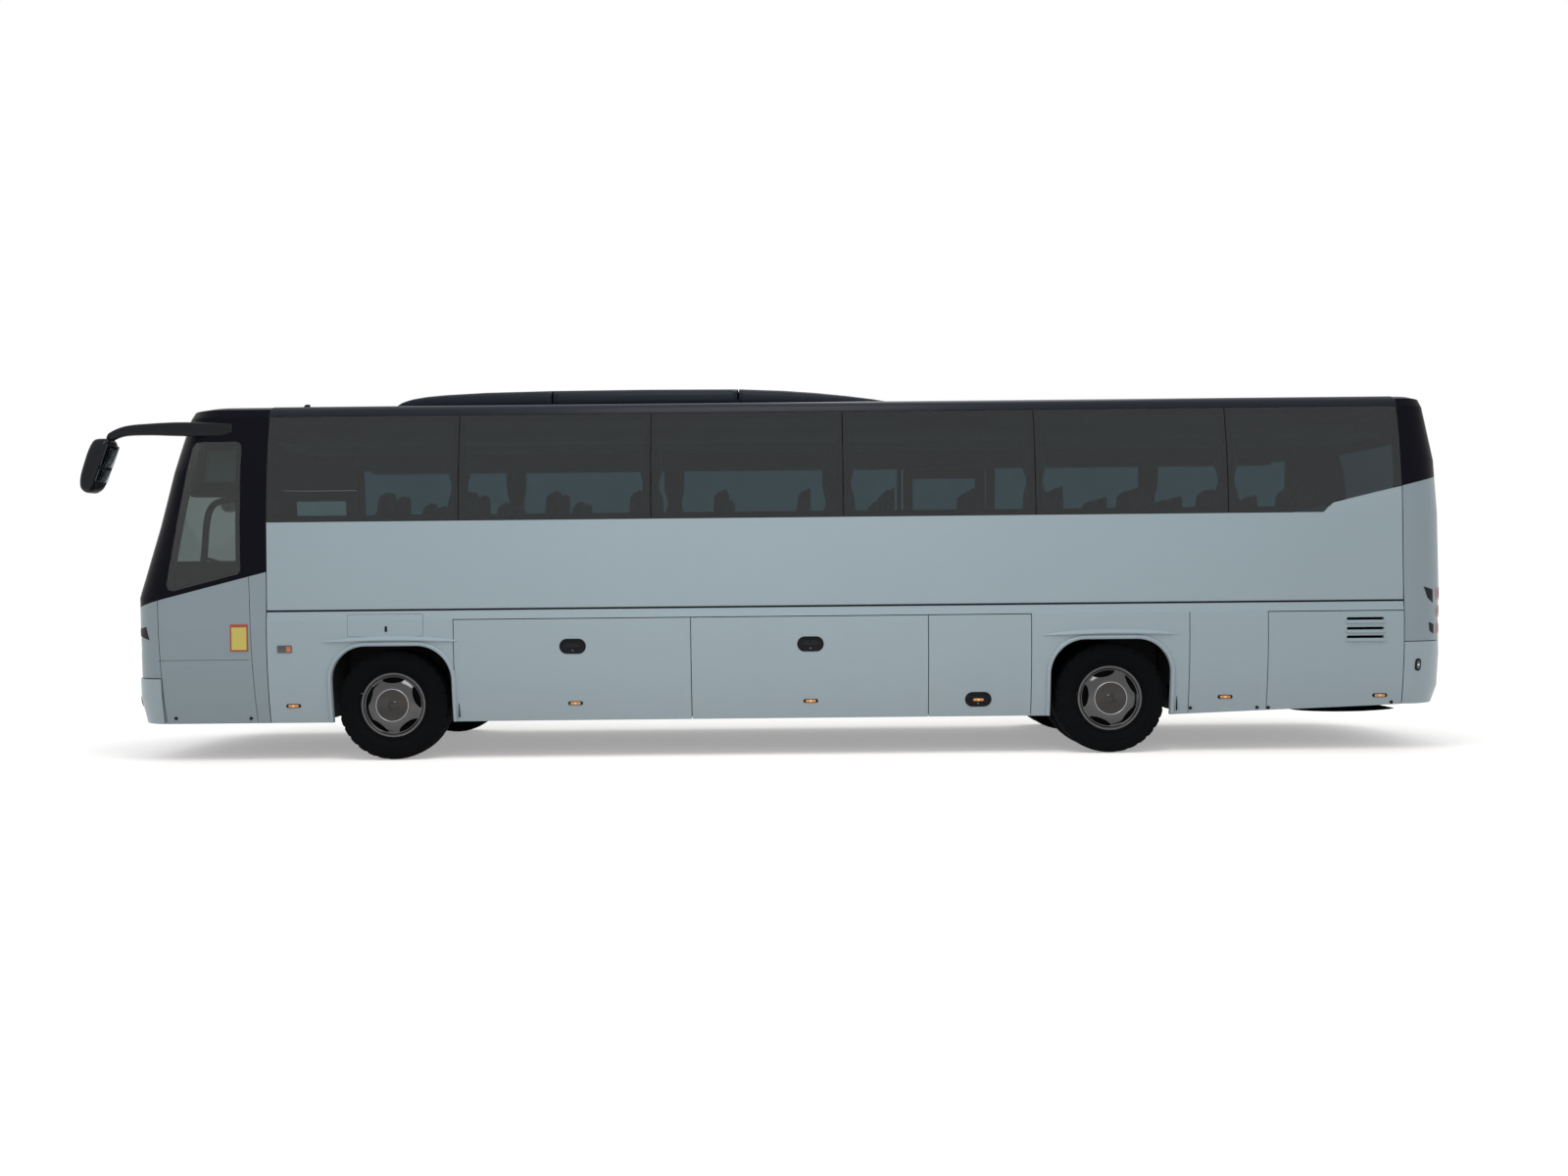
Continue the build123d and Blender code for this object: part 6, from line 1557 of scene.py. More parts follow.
@dataclass
class Ends:
    """Mirrors, lamps, grilles, wipers and plates of the nose and the tail."""

    surface: Surface
    store: Store = field(default_factory=lambda: Store("ends"))
    mirror_out: float = 1.360
    mirror_lean: float = 0.354
    mirror_back: tuple[float, float] = (-6.262, 2.905)
    tail_lamp_out: float = 1.000
    grille_bow: float = 8.4

    def build(self) -> None:
        """Fit out both ends."""
        for side in Side:
            self.mirror(side)
            self.headlamp(side)
            self.tail_lamps(side)
        self.wipers()
        self.nose()
        self.tail()
        self.store.release()

    def lay(self, finish: Finish, *patch: object, body: str = BODY) -> None:
        """Keep a patch of the surface; patch holds what Surface.patch takes."""
        self.store.add(self.surface.patch(*patch), finish, body)

    def ahead(self, node: str, y: float, z: float, proud: float = 0.0) -> Matrix:
        """Frame on a node's surface as seen from the front."""
        return self.surface.place(node, (-9.0, y, z), (1, 0, 0), proud)

    def astern(self, node: str, y: float, z: float, proud: float = 0.0) -> Matrix:
        """Frame on a node's surface as seen from behind."""
        return self.surface.place(node, (9.0, y, z), (-1, 0, 0), proud)

    def mirror(self, side: Side) -> None:
        """One outside mirror: a swept arm, a rounded head and its two glasses."""
        s = side.value
        y = s * self.mirror_out
        y0, y1 = side.span(1.10, 1.20)
        arm = [
            (-5.215, 1.172, 3.150, 0.018, 0.052), (-5.40, 1.180, 3.152, 0.030, 0.064),
            (-5.70, 1.200, 3.156, 0.040, 0.066), (-5.96, 1.240, 3.150, 0.043, 0.056),
            (-6.16, 1.300, 3.125, 0.042, 0.050), (-6.285, 1.345, 3.055, 0.040, 0.050),
        ]
        head = [
            (-6.302, 3.047, 0.030, 0.050), (-6.307, 3.027, 0.070, 0.105), (-6.325, 2.950, 0.088, 0.136),
            (-6.365, 2.830, 0.090, 0.139), (-6.410, 2.690, 0.084, 0.137), (-6.432, 2.600, 0.068, 0.122),
            (-6.440, 2.560, 0.044, 0.090), (-6.442, 2.543, 0.020, 0.050),
        ]

        back_x, back_z = self.mirror_back

        def flat_back(at: Vector) -> Vector:
            return Vector((min(at.x, back_x + self.mirror_lean * (at.z - back_z)), at.y, at.z))

        pieces = [
            loft(
                "arm",
                [((x, s * out, z), (0, half, 0), (0.25 * rise, 0, rise)) for x, out, z, half, rise in arm],
                0.85,
            ),
            Bench.shift(
                loft("head", [((x, y, z), (half, 0, 0), (0, deep, 0)) for x, z, half, deep in head], 0.62),
                flat_back,
            ),
            Bench.slab("foot", (-5.36, y0, 3.115), (-5.20, y1, 3.185), 0.02, 3),
        ]
        release(
            Bench.join(f"mirror_{side.word}_shaped", pieces), GLOSS_TRIM, BODY,
            ["mirrors"] if side is Side.LEFT else [],
        )
        lean = Vector((self.mirror_lean, 0, 1)).normalized()
        for x, z, width, height in ((-6.269, 2.885, 0.205, 0.205), (-6.333, 2.704, 0.195, 0.115)):
            place = frame_matrix(Vector((x, y, z)), Vector((1, 0, -self.mirror_lean)), lean)
            rim = Bench.slab(
                "rim", (-width / 2 - 0.006, -0.02, -height / 2 - 0.006),
                (width / 2 + 0.006, 0.004, height / 2 + 0.006), 0.012, 3,
            )
            self.store.fit(rim, place, TRIM)
            glass = Bench.slab("glass", (-width / 2, 0.0, -height / 2), (width / 2, 0.006, height / 2), 0.003)
            self.store.fit(glass, place, MIRROR)

    def headlamp(self, side: Side) -> None:
        """Bowls and projectors inside a headlamp, and its dark tip on the flank."""
        s = side.value
        for y, z, radius in ((0.74, 1.075, 0.040), (0.90, 1.110, 0.062), (1.04, 1.135, 0.048)):
            profile = [
                (0.0, -0.010), (radius * 0.5, -0.008), (radius * 0.85, 0.004), (radius, 0.016),
                (radius * 1.06, 0.016), (radius * 1.06, -0.014), (0.0, -0.016),
            ]
            bowl = Bench.lathe("bowl", profile, 40)
            self.store.fit(bowl, self.ahead("lamps", s * y, z, -0.022), MIRROR)
            profile = [
                (0.0, 0.010), (radius * 0.28, 0.007), (radius * 0.42, -0.002), (radius * 0.42, -0.008),
                (0.0, -0.008),
            ]
            eye = Bench.lathe("eye", profile, 32)
            self.store.fit(eye, self.ahead("lamps", s * y, z, -0.022), WHITE_LENS)
        corners = [(-6.16, 1.200), (-5.988, 1.160), (-6.028, 1.284), (-6.16, 1.262)]
        self.lay(TRIM, "tip", "front_mask+lamps", corners, (0, -s, 0))

    def tail_lamps(self, side: Side) -> None:
        """Bezels round the tail lamps, their bright middles, and the dark ends that wrap round the corner."""
        s = side.value
        skin = "lamps+rear_wall+engine_lid"
        for z, finish in ((1.150, WHITE_LENS), (1.310, RED_LENS), (1.480, ORANGE_LENS)):
            for width, height, proud, look in ((0.122, 0.108, 0.0014, TRIM), (0.080, 0.064, 0.0030, finish)):
                middle = (9.0, s * self.tail_lamp_out, z)
                oval = self.surface.oval("ring", skin, middle, (-1, 0, 0), width / 2, height / 2, proud)
                self.store.add(oval, look)
        for corners in (
            [(6.108, 1.440), (6.175, 1.395), (6.175, 1.520), (6.062, 1.548)],
            [(6.130, 1.128), (6.185, 1.100), (6.185, 1.190), (6.118, 1.212)],
        ):
            self.lay(TRIM, "end", skin, corners, (0, -s, 0), 0.003, 6, 4)

    def wipers(self) -> None:
        """Wiper pivots, arms and blades, parked along the foot of the windscreen."""
        parts = []
        for pivot, tip in ((-0.50, 0.06), (0.08, 0.64)):
            place = self.ahead("windscreen", pivot, 1.600, 0.012)
            foot = place.translation
            profile = [(0.0, -0.02), (0.024, -0.02), (0.024, 0.012), (0.016, 0.020), (0.0, 0.022)]
            parts.append(Bench.settle(Bench.lathe("pivot", profile, 28), place))
            middle = self.ahead("windscreen", (pivot + tip) / 2 + 0.10, 1.640, 0.020).translation
            stops = [
                foot + Vector((-0.012, 0, 0)), foot.lerp(middle, 0.35) + Vector((-0.014, 0, 0.004)), middle
            ]
            parts.append(Bench.tube("arm", [tuple(stop) for stop in stops], 0.0075, sides=3, curved=True))
            stations = [pivot + 0.06 + (tip - pivot - 0.02) * step / 8 for step in range(9)]
            blade = [tuple(self.ahead("windscreen", y, 1.632, 0.010).translation) for y in stations]
            parts.append(Bench.tube("blade", blade, 0.0085, sides=2))
        release(Bench.join("wipers_with_blades", parts), TRIM, BODY, ["wipers"])

    def nose(self) -> None:
        """Glass border, blank destination box, grille, fog lamps, plate and camera of the nose."""
        across = (1, 0, 0)
        for corners in (
            [(-1.02, 1.590), (1.02, 1.590), (1.01, 1.672), (-1.01, 1.672)],
            [(-0.96, 2.900), (0.96, 2.900), (0.93, 3.190), (-0.93, 3.190)],
            [(-1.045, 1.600), (-0.985, 1.600), (-0.920, 3.190), (-0.965, 3.190)],
            [(0.985, 1.600), (1.045, 1.600), (0.965, 3.190), (0.920, 3.190)],
        ):
            self.lay(BAND, "frit", "windscreen+front_mask", corners, across, 0.0012, 20, 10)
        self.lay(
            DISPLAY, "display", "windscreen+front_mask", oblong(-0.70, 0.70, 2.955, 3.130), across, 0.0022,
            20, 4,
        )
        for row in range(5):
            low = 0.885 + 0.034 * row
            self.lay(
                GLOSS_TRIM, "slat", "front_mask+front_bumper", oblong(-0.50, 0.50, low, low + 0.017), across,
                0.004, 16, 2,
            )
        bow = self.grille_bow

        def bowed(u: float, v: float) -> Vector:
            y = 1.24 * u - 0.62
            return Vector((-6.262 + y**2 / bow, -y, 0.455 + 0.28 * v))

        # Flat black sheet behind the grille bars: painted shade inside the opening.
        self.store.add(Bench.grid("screen", 24, 2, bowed, 0.002), SHADOW)
        for number in range(19):
            y = 0.065 * (number - 9)
            x = -6.272 + y * y / bow
            self.store.add(Bench.tube("bar", [(x, y, 0.46), (x, y, 0.73)], 0.004, sides=1), TRIM)
        for y in (-0.93, 0.93):
            place = self.ahead("front_bumper", y, 0.560)
            profile = [(0.0, 0.010), (0.034, 0.008), (0.046, 0.002), (0.046, -0.004), (0.0, -0.004)]
            self.store.fit(Bench.lathe("fog", profile, 36), place, WHITE_LENS)
            profile = [(0.047, -0.004), (0.060, -0.004), (0.058, 0.006), (0.049, 0.008), (0.047, -0.004)]
            self.store.fit(Bench.lathe("rim", profile, 36), place, TRIM)
        self.plate(self.ahead("front_bumper", 0.0, 0.596, 0.010))
        profile = [(0.0, 0.030), (0.010, 0.028), (0.014, 0.018), (0.022, 0.016), (0.026, 0.0), (0.0, 0.0)]
        eye = Bench.lathe("camera", profile, 28)
        self.store.fit(eye, self.ahead("front_mask", 0.0, 1.480), TRIM)

    def plate(self, place: Matrix) -> None:
        """Blank number plate in its holder."""
        holder = Bench.slab("holder", (-0.270, -0.006, -0.062), (0.270, 0.004, 0.062), 0.003)
        self.store.fit(holder, place, TRIM)
        blank = Bench.slab("blank", (-0.260, 0.0, -0.055), (0.260, 0.006, 0.055), 0.002)
        self.store.fit(blank, place, PLATE)

    def tail(self) -> None:
        """Painted-shade screen behind the engine lid's slots, its pull, plate, reflectors, upper lamps and
        camera.
        """
        across = (-1, 0, 0)

        def bowed(u: float, v: float) -> Vector:
            y = 1.6 * u - 0.8
            return Vector((6.40 - y**2 / 8.0, y, 1.17 + 0.98 * v))

        self.store.add(Bench.grid("screen", 20, 2, bowed, 0.002), SHADOW, "engine_lid")
        self.lay(
            TRIM, "pull", "engine_lid", oblong(-0.13, 0.13, 1.160, 1.195), across, 0.012, 6, 2,
            body="engine_lid",
        )
        self.plate(self.astern("rear_bumper", 0.0, 0.800, 0.004))
        for s in (-1, 1):
            self.lay(
                RED_LENS, "reflector", "rear_bumper+rear_wall", oblong(s * 0.70, s * 0.88, 0.900, 0.945),
                across, 0.006, 6, 2,
            )
            self.lay(
                RED_LENS, "high_lamp", "rear_wall", oblong(s * 0.66, s * 0.86, 3.180, 3.225), across, 0.006,
                6, 2,
            )
        profile = [(0.0, 0.026), (0.010, 0.024), (0.014, 0.016), (0.020, 0.014), (0.024, 0.0), (0.0, 0.0)]
        eye = Bench.lathe("camera", profile, 28)
        self.store.fit(eye, self.astern("rear_wall", 0.0, 3.200), TRIM)


@dataclass
class RoofUnit:
    """Smooth covers of the air conditioner with their joints, grilles and fans, roof hatches and aerial."""

    covers: tuple[tuple[float, float], ...] = ((-3.765, -2.235), (-2.220, -0.420), (-0.405, 1.125))
    half: float = 0.850
    foot: float = 3.400
    camber: float = 0.03
    lap: float = 0.03
    square: float = 0.30
    ridge: tuple[tuple[float, float], ...] = (
        (-3.765, 3.412), (-3.735, 3.448), (-3.690, 3.476), (-3.600, 3.506), (-3.480, 3.528), (-3.30, 3.546),
        (-2.90, 3.567), (-2.23, 3.580), (-1.30, 3.584), (-0.40, 3.578), (0.02, 3.558), (0.35, 3.530),
        (0.65, 3.494), (0.90, 3.455), (1.05, 3.422), (1.125, 3.406),
    )
    store: Store = field(default_factory=lambda: Store("roof"))

    def build(self) -> None:
        """Cover the unit and fit the roof."""
        shells = [self.cover(*span) for span in self.covers]
        release(Bench.join("air_conditioner_covers", shells), UNIT, BODY, ["air_conditioner"])
        for x in (-1.75, -1.32, -0.89):
            for y in (-0.34, 0.34):
                self.fan(x, y)
        for x in (-2.9, 0.2):
            top = self.crown(x, 0.5)
            slats = [
                Bench.slab("slat", (x - 0.30, y, top - 0.012), (x + 0.30, y_end, top + 0.002), 0.003)
                for y, y_end in ((-0.50 + 0.05 * row, -0.476 + 0.05 * row) for row in range(21))
            ]
            grille = Bench.join("slats", slats)
            Bench.shift(grille, lambda at: Vector((at.x, at.y, at.z + self.crown(at.x, at.y) - top)))
            self.store.add(grille, TRIM)
        for x in (-4.345, 3.005):
            lid = Bench.block("lid", (-0.33, -0.33, 0.0), (0.33, 0.33, 0.020))
            Bench.shift(lid, lambda at: Vector((at.x * (1 - 1.2 * at.z), at.y * (1 - 1.2 * at.z), at.z)))
            self.store.fit(Bench.round(lid, 0.012, 3), Matrix.Translation((x, 0, 3.449)), TRIM)
        fin = Bench.block("fin", (-0.045, -0.016, 0.0), (0.045, 0.016, 0.060))
        Bench.shift(
            fin, lambda at: Vector((at.x * (1 - 9 * at.z) + 0.35 * at.z, at.y * (1 - 8 * at.z), at.z))
        )
        self.store.fit(Bench.round(fin, 0.004, 2), Matrix.Translation((-4.57, -1.02, 3.345)), TRIM)
        self.store.release()

    def crown(self, x: float, y: float) -> float:
        """Height of the covers over a place on the roof."""
        index = max(1, sum(1 for station, _ in self.ridge[:-1] if station < x))
        (x0, z0), (x1, z1) = self.ridge[index - 1], self.ridge[index]
        share = min(1.0, max(0.0, (x - x0) / (x1 - x0)))
        top = z0 + (z1 - z0) * share
        return top - self.camber * (top - self.foot) * (y / self.half) ** 2

    def cover(self, start: float, end: float) -> Piece:
        """One cover: rounded shoulders over straight sides, with two long ribs."""

        def form(u: float, v: float) -> Vector:
            x = start + (end - start) * v
            angle = math.pi * u
            y = -self.half * math.copysign(abs(math.cos(angle)) ** self.square, math.cos(angle))
            lift = abs(math.sin(angle)) ** self.square
            rib = 0.006 * math.exp(-(((abs(y) - 0.62) / 0.02) ** 2))
            rise = self.crown(x, y) - self.foot + self.lap - rib
            return Vector((x, -y, self.foot - self.lap + rise * lift))

        piece = Bench.grid("cover", 60, 28, form)
        return Bench.modify(piece, "SOLIDIFY", thickness=0.004, offset=-1.0)

    def fan(self, x: float, y: float) -> None:
        """Condenser fan under its ringed guard; the fan is a flat black disc of painted shade."""
        place = Matrix.Translation((x, y, self.crown(x, y) - 0.006)) @ Matrix.Rotation(math.pi / 2, 4, "X")
        for radius in (0.05, 0.09, 0.13, 0.17):
            self.store.fit(Bench.hoop("ring", radius, 0.004, 0.003, 32, 1), place, TRIM)
        profile = [
            (0.0, 0.002), (0.172, 0.002), (0.176, 0.006), (0.182, 0.006), (0.185, 0.0), (0.185, -0.004),
            (0.0, -0.004),
        ]
        disc = Bench.lathe("disc", profile, 40)
        self.store.fit(disc, place, SHADOW)


# ------------------------------------------------------------------ joints and underside
@dataclass
class Joints:
    """Rubber in the joints of glass and panels, and what backs them."""

    store: Store = field(default_factory=lambda: Store("joints"))
    door_start: float = 1.386
    door_end: float = 2.352
    belt_end: float = 4.80
    mask_foot: float = 0.42
    tail_foot: float = 0.46
    tail_rise: float = 0.30

    def build(self) -> None:
        """Fill the joints of both flanks and run the creases over the arches."""
        for side in Side:
            for x in FORM.window_joints:
                if side is Side.LEFT or not self.door_start < x < self.door_end:
                    self.upright(x, side, FORM.belt, FORM.glass_top)
            tail_step = FORM.belt + self.tail_rise
            for x, low, high in (
                (FORM.mask, FORM.belt, FORM.glass_top), (FORM.tail_joint, tail_step, FORM.glass_top),
                (FORM.mask, self.mask_foot, FORM.belt), (FORM.tail_joint, self.tail_foot, tail_step),
            ):
                self.upright(x, side, low, high)
            self.level(FORM.mask, self.door_start if side is Side.RIGHT else self.belt_end, FORM.belt, side)
            if side is Side.RIGHT:
                self.level(self.door_end, self.belt_end, FORM.belt, side)
            self.level(FORM.mask, FORM.tail_joint, FORM.glass_top, side)
            for x in (*FORM.luggage_joints, FORM.locker_end):
                self.store.add(self.post(x, side), SHADOW)
            for axle in FORM.axles:
                self.crease(axle, side)
        self.store.release()

    def upright(self, x: float, side: Side, low: float, high: float) -> None:
        """Rubber in an upright joint, following the skin."""
        heights = [low + (high - low) * k / 48 for k in range(49)]
        path = [(x, side.value * (FORM.half_width(z) - 0.0045), z) for z in heights]
        self.store.add(Bench.tube("upright", path, 0.0046, sides=2), SEAL)

    def level(self, start: float, end: float, z: float, side: Side) -> None:
        """Rubber in a level joint."""
        y = side.value * (FORM.half_width(z) - 0.0045)
        path = [(start + 0.004, y, z), (end - 0.004, y, z)]
        self.store.add(Bench.tube("level", path, 0.0044, sides=2), SEAL)

    def post(self, x: float, side: Side) -> Piece:
        """Post inside a joint between two flaps, below the hold, in flat black as painted shade."""
        y0, y1 = side.span(1.085, 1.115)
        return Bench.slab("post", (x - 0.030, y0, 0.372), (x + 0.030, y1, 0.520), 0.004)

    def crease(self, axle: float, side: Side) -> None:
        """Pressed shoulder that runs over a wheel arch and dies away at its ends."""

        def form(u: float, v: float) -> Vector:
            x = axle + 0.66 * (2 * u - 1)
            fade = max(0.0, 1 - (2 * u - 1) ** 4)
            z = 1.155 - 0.030 * (2 * u - 1) ** 2 + 0.046 * (v - 0.5) * fade
            swell = 0.026 * math.sin(math.pi * v**0.5) ** 0.9 * fade
            return Vector((x, side.value * (FORM.half_width(z) + 0.0004 + swell), z))

        self.store.add(Bench.grid("crease", 40, 8, form), PAINT)


@dataclass
class Underside:
    """Running parts under the floor: shaft, tanks, silencer, engine tray and mudflaps."""

    store: Store = field(default_factory=lambda: Store("under"))
    tray_start: float = 4.84
    tray_length: float = 0.98
    tray_half: float = 1.13
    tray_height: float = 0.392
    tray_dip: float = 0.026

    def build(self) -> None:
        """Hang everything under the floor."""
        along = Matrix.Rotation(-math.pi / 2, 4, "Z")
        profile = [
            (0.0, 0.0), (0.060, 0.0), (0.060, 0.03), (0.040, 0.06), (0.040, 0.66), (0.060, 0.69),
            (0.060, 0.72), (0.0, 0.72),
        ]
        shaft = Bench.lathe("shaft", profile, 32)
        self.store.fit(shaft, Matrix.Translation((3.62, 0.0, 0.60)) @ along, CHASSIS)
        tank = [
            (0.0, 0.0), (0.06, 0.005), (0.105, 0.03), (0.120, 0.07), (0.120, 0.53), (0.105, 0.57),
            (0.06, 0.595), (0.0, 0.60),
        ]
        for y in (-0.62, 0.62):
            self.store.fit(
                Bench.lathe("air_tank", tank, 36), Matrix.Translation((-5.0, y, 0.62)) @ along, CHASSIS
            )
        silencer = [
            (0.0, 0.0), (0.10, 0.0), (0.155, 0.02), (0.160, 0.05), (0.160, 0.85), (0.155, 0.88),
            (0.10, 0.90), (0.0, 0.90),
        ]
        self.store.fit(
            Bench.lathe("silencer", silencer, 40), Matrix.Translation((4.75, 0.72, 0.66)) @ along, ALUMINIUM
        )
        pipe = [(5.64, 0.72, 0.66), (5.85, 0.74, 0.62), (6.05, 0.80, 0.50), (6.20, 0.82, 0.47)]
        self.store.add(Bench.tube("tailpipe", pipe, 0.045, sides=4, curved=True), ALUMINIUM)

        def sag(u: float, v: float) -> Vector:
            low = self.tray_height - self.tray_dip * math.sin(math.pi * u) ** 0.6
            return Vector((self.tray_start + self.tray_length * u, self.tray_half * (2.0 * v - 1.0), low))

        tray = Bench.grid("engine_tray", 24, 8, sag)
        self.store.add(Bench.modify(tray, "SOLIDIFY", thickness=0.006, offset=0.0), SEAL)
        for x in (4.98, 5.66):
            for y in (-0.30, 0.30):
                hanger = Bench.slab(
                    "tray_hanger", (x - 0.02, y - 0.02, 0.36), (x + 0.02, y + 0.02, 0.565), 0.003
                )
                self.store.add(hanger, CHASSIS)
        for side in Side:
            y0, y1 = side.span(0.93, 1.22)
            for x in (-3.07, 3.72):
                flap = Bench.slab("mudflap", (x, y0, 0.40), (x + 0.008, y1, 0.62), 0.003)
                self.store.add(flap, SEAL)
        self.store.release()


# ------------------------------------------------------------------ cabin
DRIVER_Y = -0.770


@dataclass
class Stuffing:
    """Foam under cloth: a closed form remeshed, blown up by Cloth pressure and capped."""

    voxel: float = 0.021
    pressure: float = 4.0
    frames: int = 20
    cap: float = 0.024

    def swell(self, piece: Piece, reach: float) -> Piece:
        """Swell one pad; reach is the share of its width over which its sewn sides hold it."""
        Bench.modify(piece, "REMESH", mode="VOXEL", voxel_size=self.voxel)
        rest = [vertex.co.copy() for vertex in piece.data.vertices]
        Bench.only(piece)
        cloth = piece.modifiers.new("cloth", "CLOTH")
        cloth.settings.use_pressure = True
        cloth.settings.uniform_pressure_force = self.pressure
        cloth.settings.effector_weights.gravity = 0.0
        for frame in range(1, self.frames + 1):
            bpy.context.scene.frame_set(frame)
        bpy.ops.object.modifier_apply(modifier=cloth.name)
        for vertex, start in zip(piece.data.vertices, rest):
            moved = vertex.co - start
            allowed = self.cap * (0.35 if abs(start.y) > reach else 1.0)
            if moved.length > allowed:
                vertex.co = start + moved.normalized() * allowed
        bpy.context.scene.frame_set(1)
        return Bench.smooth(Bench.modify(piece, "SMOOTH", factor=0.5, iterations=2), 70)


@dataclass
class Seating:
    """Seats in pairs beside the gangway, and the driver's; modelled with x back, z up from the floor."""

    first: float = -3.945
    pitch: float = 0.810
    rows: int = 12
    door_rows: tuple[int, int] = (7, 8)
    inner: float = 0.256
    spacing: float = 0.454
    width: float = 0.440

    def build(self) -> None:
        """Model each part of a seat once and copy it to every place."""
        driver = Matrix.Translation((-4.975, DRIVER_Y, 1.110)) @ Matrix.Diagonal((1, 1.07, 1, 1))
        for side in Side:
            places = [
                self.place(row, number, side)
                for row in range(self.rows)
                for number in range(2)
                if not self.over_door(row, side)
            ]
            if side is Side.LEFT:
                places.append(driver)
            old = ["seats"] if side is Side.LEFT else []
            cushions = Bench.copies(f"seat_cushions_{side.word}", self.cushion(), places)
            release(cushions, SEAT_CLOTH, BODY, old)
            backs = Bench.copies(f"seat_backs_{side.word}", self.back(), places)
            release(backs, SEAT_CLOTH)
            release(Bench.copies(f"seat_shells_{side.word}", self.shell(), places), MOULDED)
            passenger = places[:-1] if side is Side.LEFT else places
            release(Bench.copies(f"seat_frames_{side.word}", self.frame(), passenger[::2]), IRON)
            release(Bench.copies(f"seat_handles_{side.word}", self.handle(), passenger), TRIM)
        release(self.driver_base(), MOULDED)

    def over_door(self, row: int, side: Side) -> bool:
        """Whether a row is left out over the middle doorway."""
        return side is Side.RIGHT and row in self.door_rows

    def place(self, row: int, number: int, side: Side) -> Matrix:
        """Place of one seat."""
        y = self.inner + self.width / 2 + number * self.spacing
        mirror = Matrix.Diagonal((1, side.value, 1, 1))
        return Matrix.Translation((self.first + row * self.pitch, side.value * y, FORM.floor)) @ mirror

    @staticmethod
    def finely(name: str, cuts: int) -> Piece:
        """A block two across, cut up ready for shaping."""
        return Bench.cut_up(Bench.block(name, (-1, -1, -1), (1, 1, 1)), cuts)

    def cushion(self) -> Piece:
        """Seat cushion: a front roll, drawn-in sides and two sewn channels."""

        def form(at: Vector) -> Vector:
            side = 0.198 * at.y * (1 - 0.06 * abs(at.x))
            top = 0.438 - 0.010 * (at.x + 1) - 0.016 * at.y**2 - 0.018 * max(0.0, -at.x - 0.6)
            low = 0.350 + 0.020 * max(0.0, -at.x - 0.5)
            return Vector((-0.275 + 0.190 * at.x, side, top if at.z > 0 else low))

        pad = Stuffing().swell(Bench.shift(self.finely("cushion_model", 9), form), 0.15)
        return Bench.shift(
            pad, lambda at: at - Vector((0, 0, self.channel(abs(at.y), 0.135) * (at.z > 0.40)))
        )

    def back(self) -> Piece:
        """Reclined back, narrowed to its head, with sewn channels across the lumbar part."""

        def form(at: Vector) -> Vector:
            rise = (at.z + 1) / 2
            z = 0.425 + 0.705 * rise
            neck = min(1.0, max(0.0, (z - 0.90) / 0.10))
            crown = max(0.0, (z - 1.07) / 0.06)
            half = (0.200 - 0.052 * neck * neck * (3 - 2 * neck)) * (1 - 0.22 * crown**2)
            wing = 0.016 * at.y**2 * (1 - neck)
            depth = 0.036 + 0.006 * math.sin(math.pi * min(1.0, rise * 1.6)) - 0.010 * crown
            return Vector((self.spine(z) + depth * at.x - wing * (at.x < 0), half * at.y, z))

        pad = Stuffing(cap=0.020).swell(Bench.shift(self.finely("back_model", 15), form), 0.15)

        def sew(at: Vector) -> Vector:
            front = at.x < self.spine(at.z)
            seams = (0.56, 0.68, 0.80, 0.925) if abs(at.y) < 0.14 else (0.925,)
            return at + Vector((sum(self.channel(at.z, height) for height in seams) * front, 0, 0))

        return Bench.shift(pad, sew)

    @staticmethod
    def spine(z: float) -> float:
        """Middle of the back at height z over the floor."""
        return -0.050 + 0.31 * (z - 0.40) if z < 0.92 else 0.111 + 0.02 * (z - 0.92)

    @staticmethod
    def channel(at: float, seam: float) -> float:
        """Depth of a sewn channel near its seam."""
        return 0.009 * math.exp(-(((at - seam) / 0.014) ** 2))

    def shell(self) -> Piece:
        """Moulded shell behind the back."""

        def form(u: float, v: float) -> Vector:
            z = 0.36 + 0.76 * v
            neck = min(1.0, max(0.0, (z - 0.90) / 0.10))
            half = (0.212 - 0.050 * neck) * (1 - 0.25 * max(0.0, (z - 1.06) / 0.06) ** 2)
            y = (2 * u - 1) * half
            return Vector((self.spine(z) + 0.060 - 0.030 * (2 * u - 1) ** 4, y, z))

        return Bench.grid("shell_model", 12, 18, form, 0.006)

    def frame(self) -> Piece:
        """Cross bars, leg and foot under a pair of seats."""
        parts = [
            Bench.tube("bar", [(x, -0.20, 0.32), (x, self.spacing + 0.20, 0.32)], 0.016, sides=3)
            for x in (-0.40, -0.12)
        ]
        path = [(-0.34, -0.02, 0.003), (-0.26, -0.02, 0.31), (-0.16, -0.02, 0.003)]
        parts.append(Bench.tube("leg", path, 0.018, sides=3))
        parts.append(Bench.slab("foot", (-0.38, -0.045, 0.0), (-0.12, 0.005, 0.012), 0.004))
        return Bench.join("frame_model", parts)

    def handle(self) -> Piece:
        """Grab handle on the shoulder and an armrest at the side."""
        path = [(0.10, -0.150, 0.965), (0.135, -0.170, 1.02), (0.125, -0.150, 1.06), (0.115, -0.120, 1.07)]
        grab = Bench.tube("grab", path, 0.011, sides=3, curved=True)
        path = [(0.01, -0.212, 0.62), (-0.16, -0.214, 0.625), (-0.30, -0.212, 0.63)]
        arm = Bench.tube("arm", path, 0.017, sides=3)
        return Bench.join("handle_model", [grab, arm])

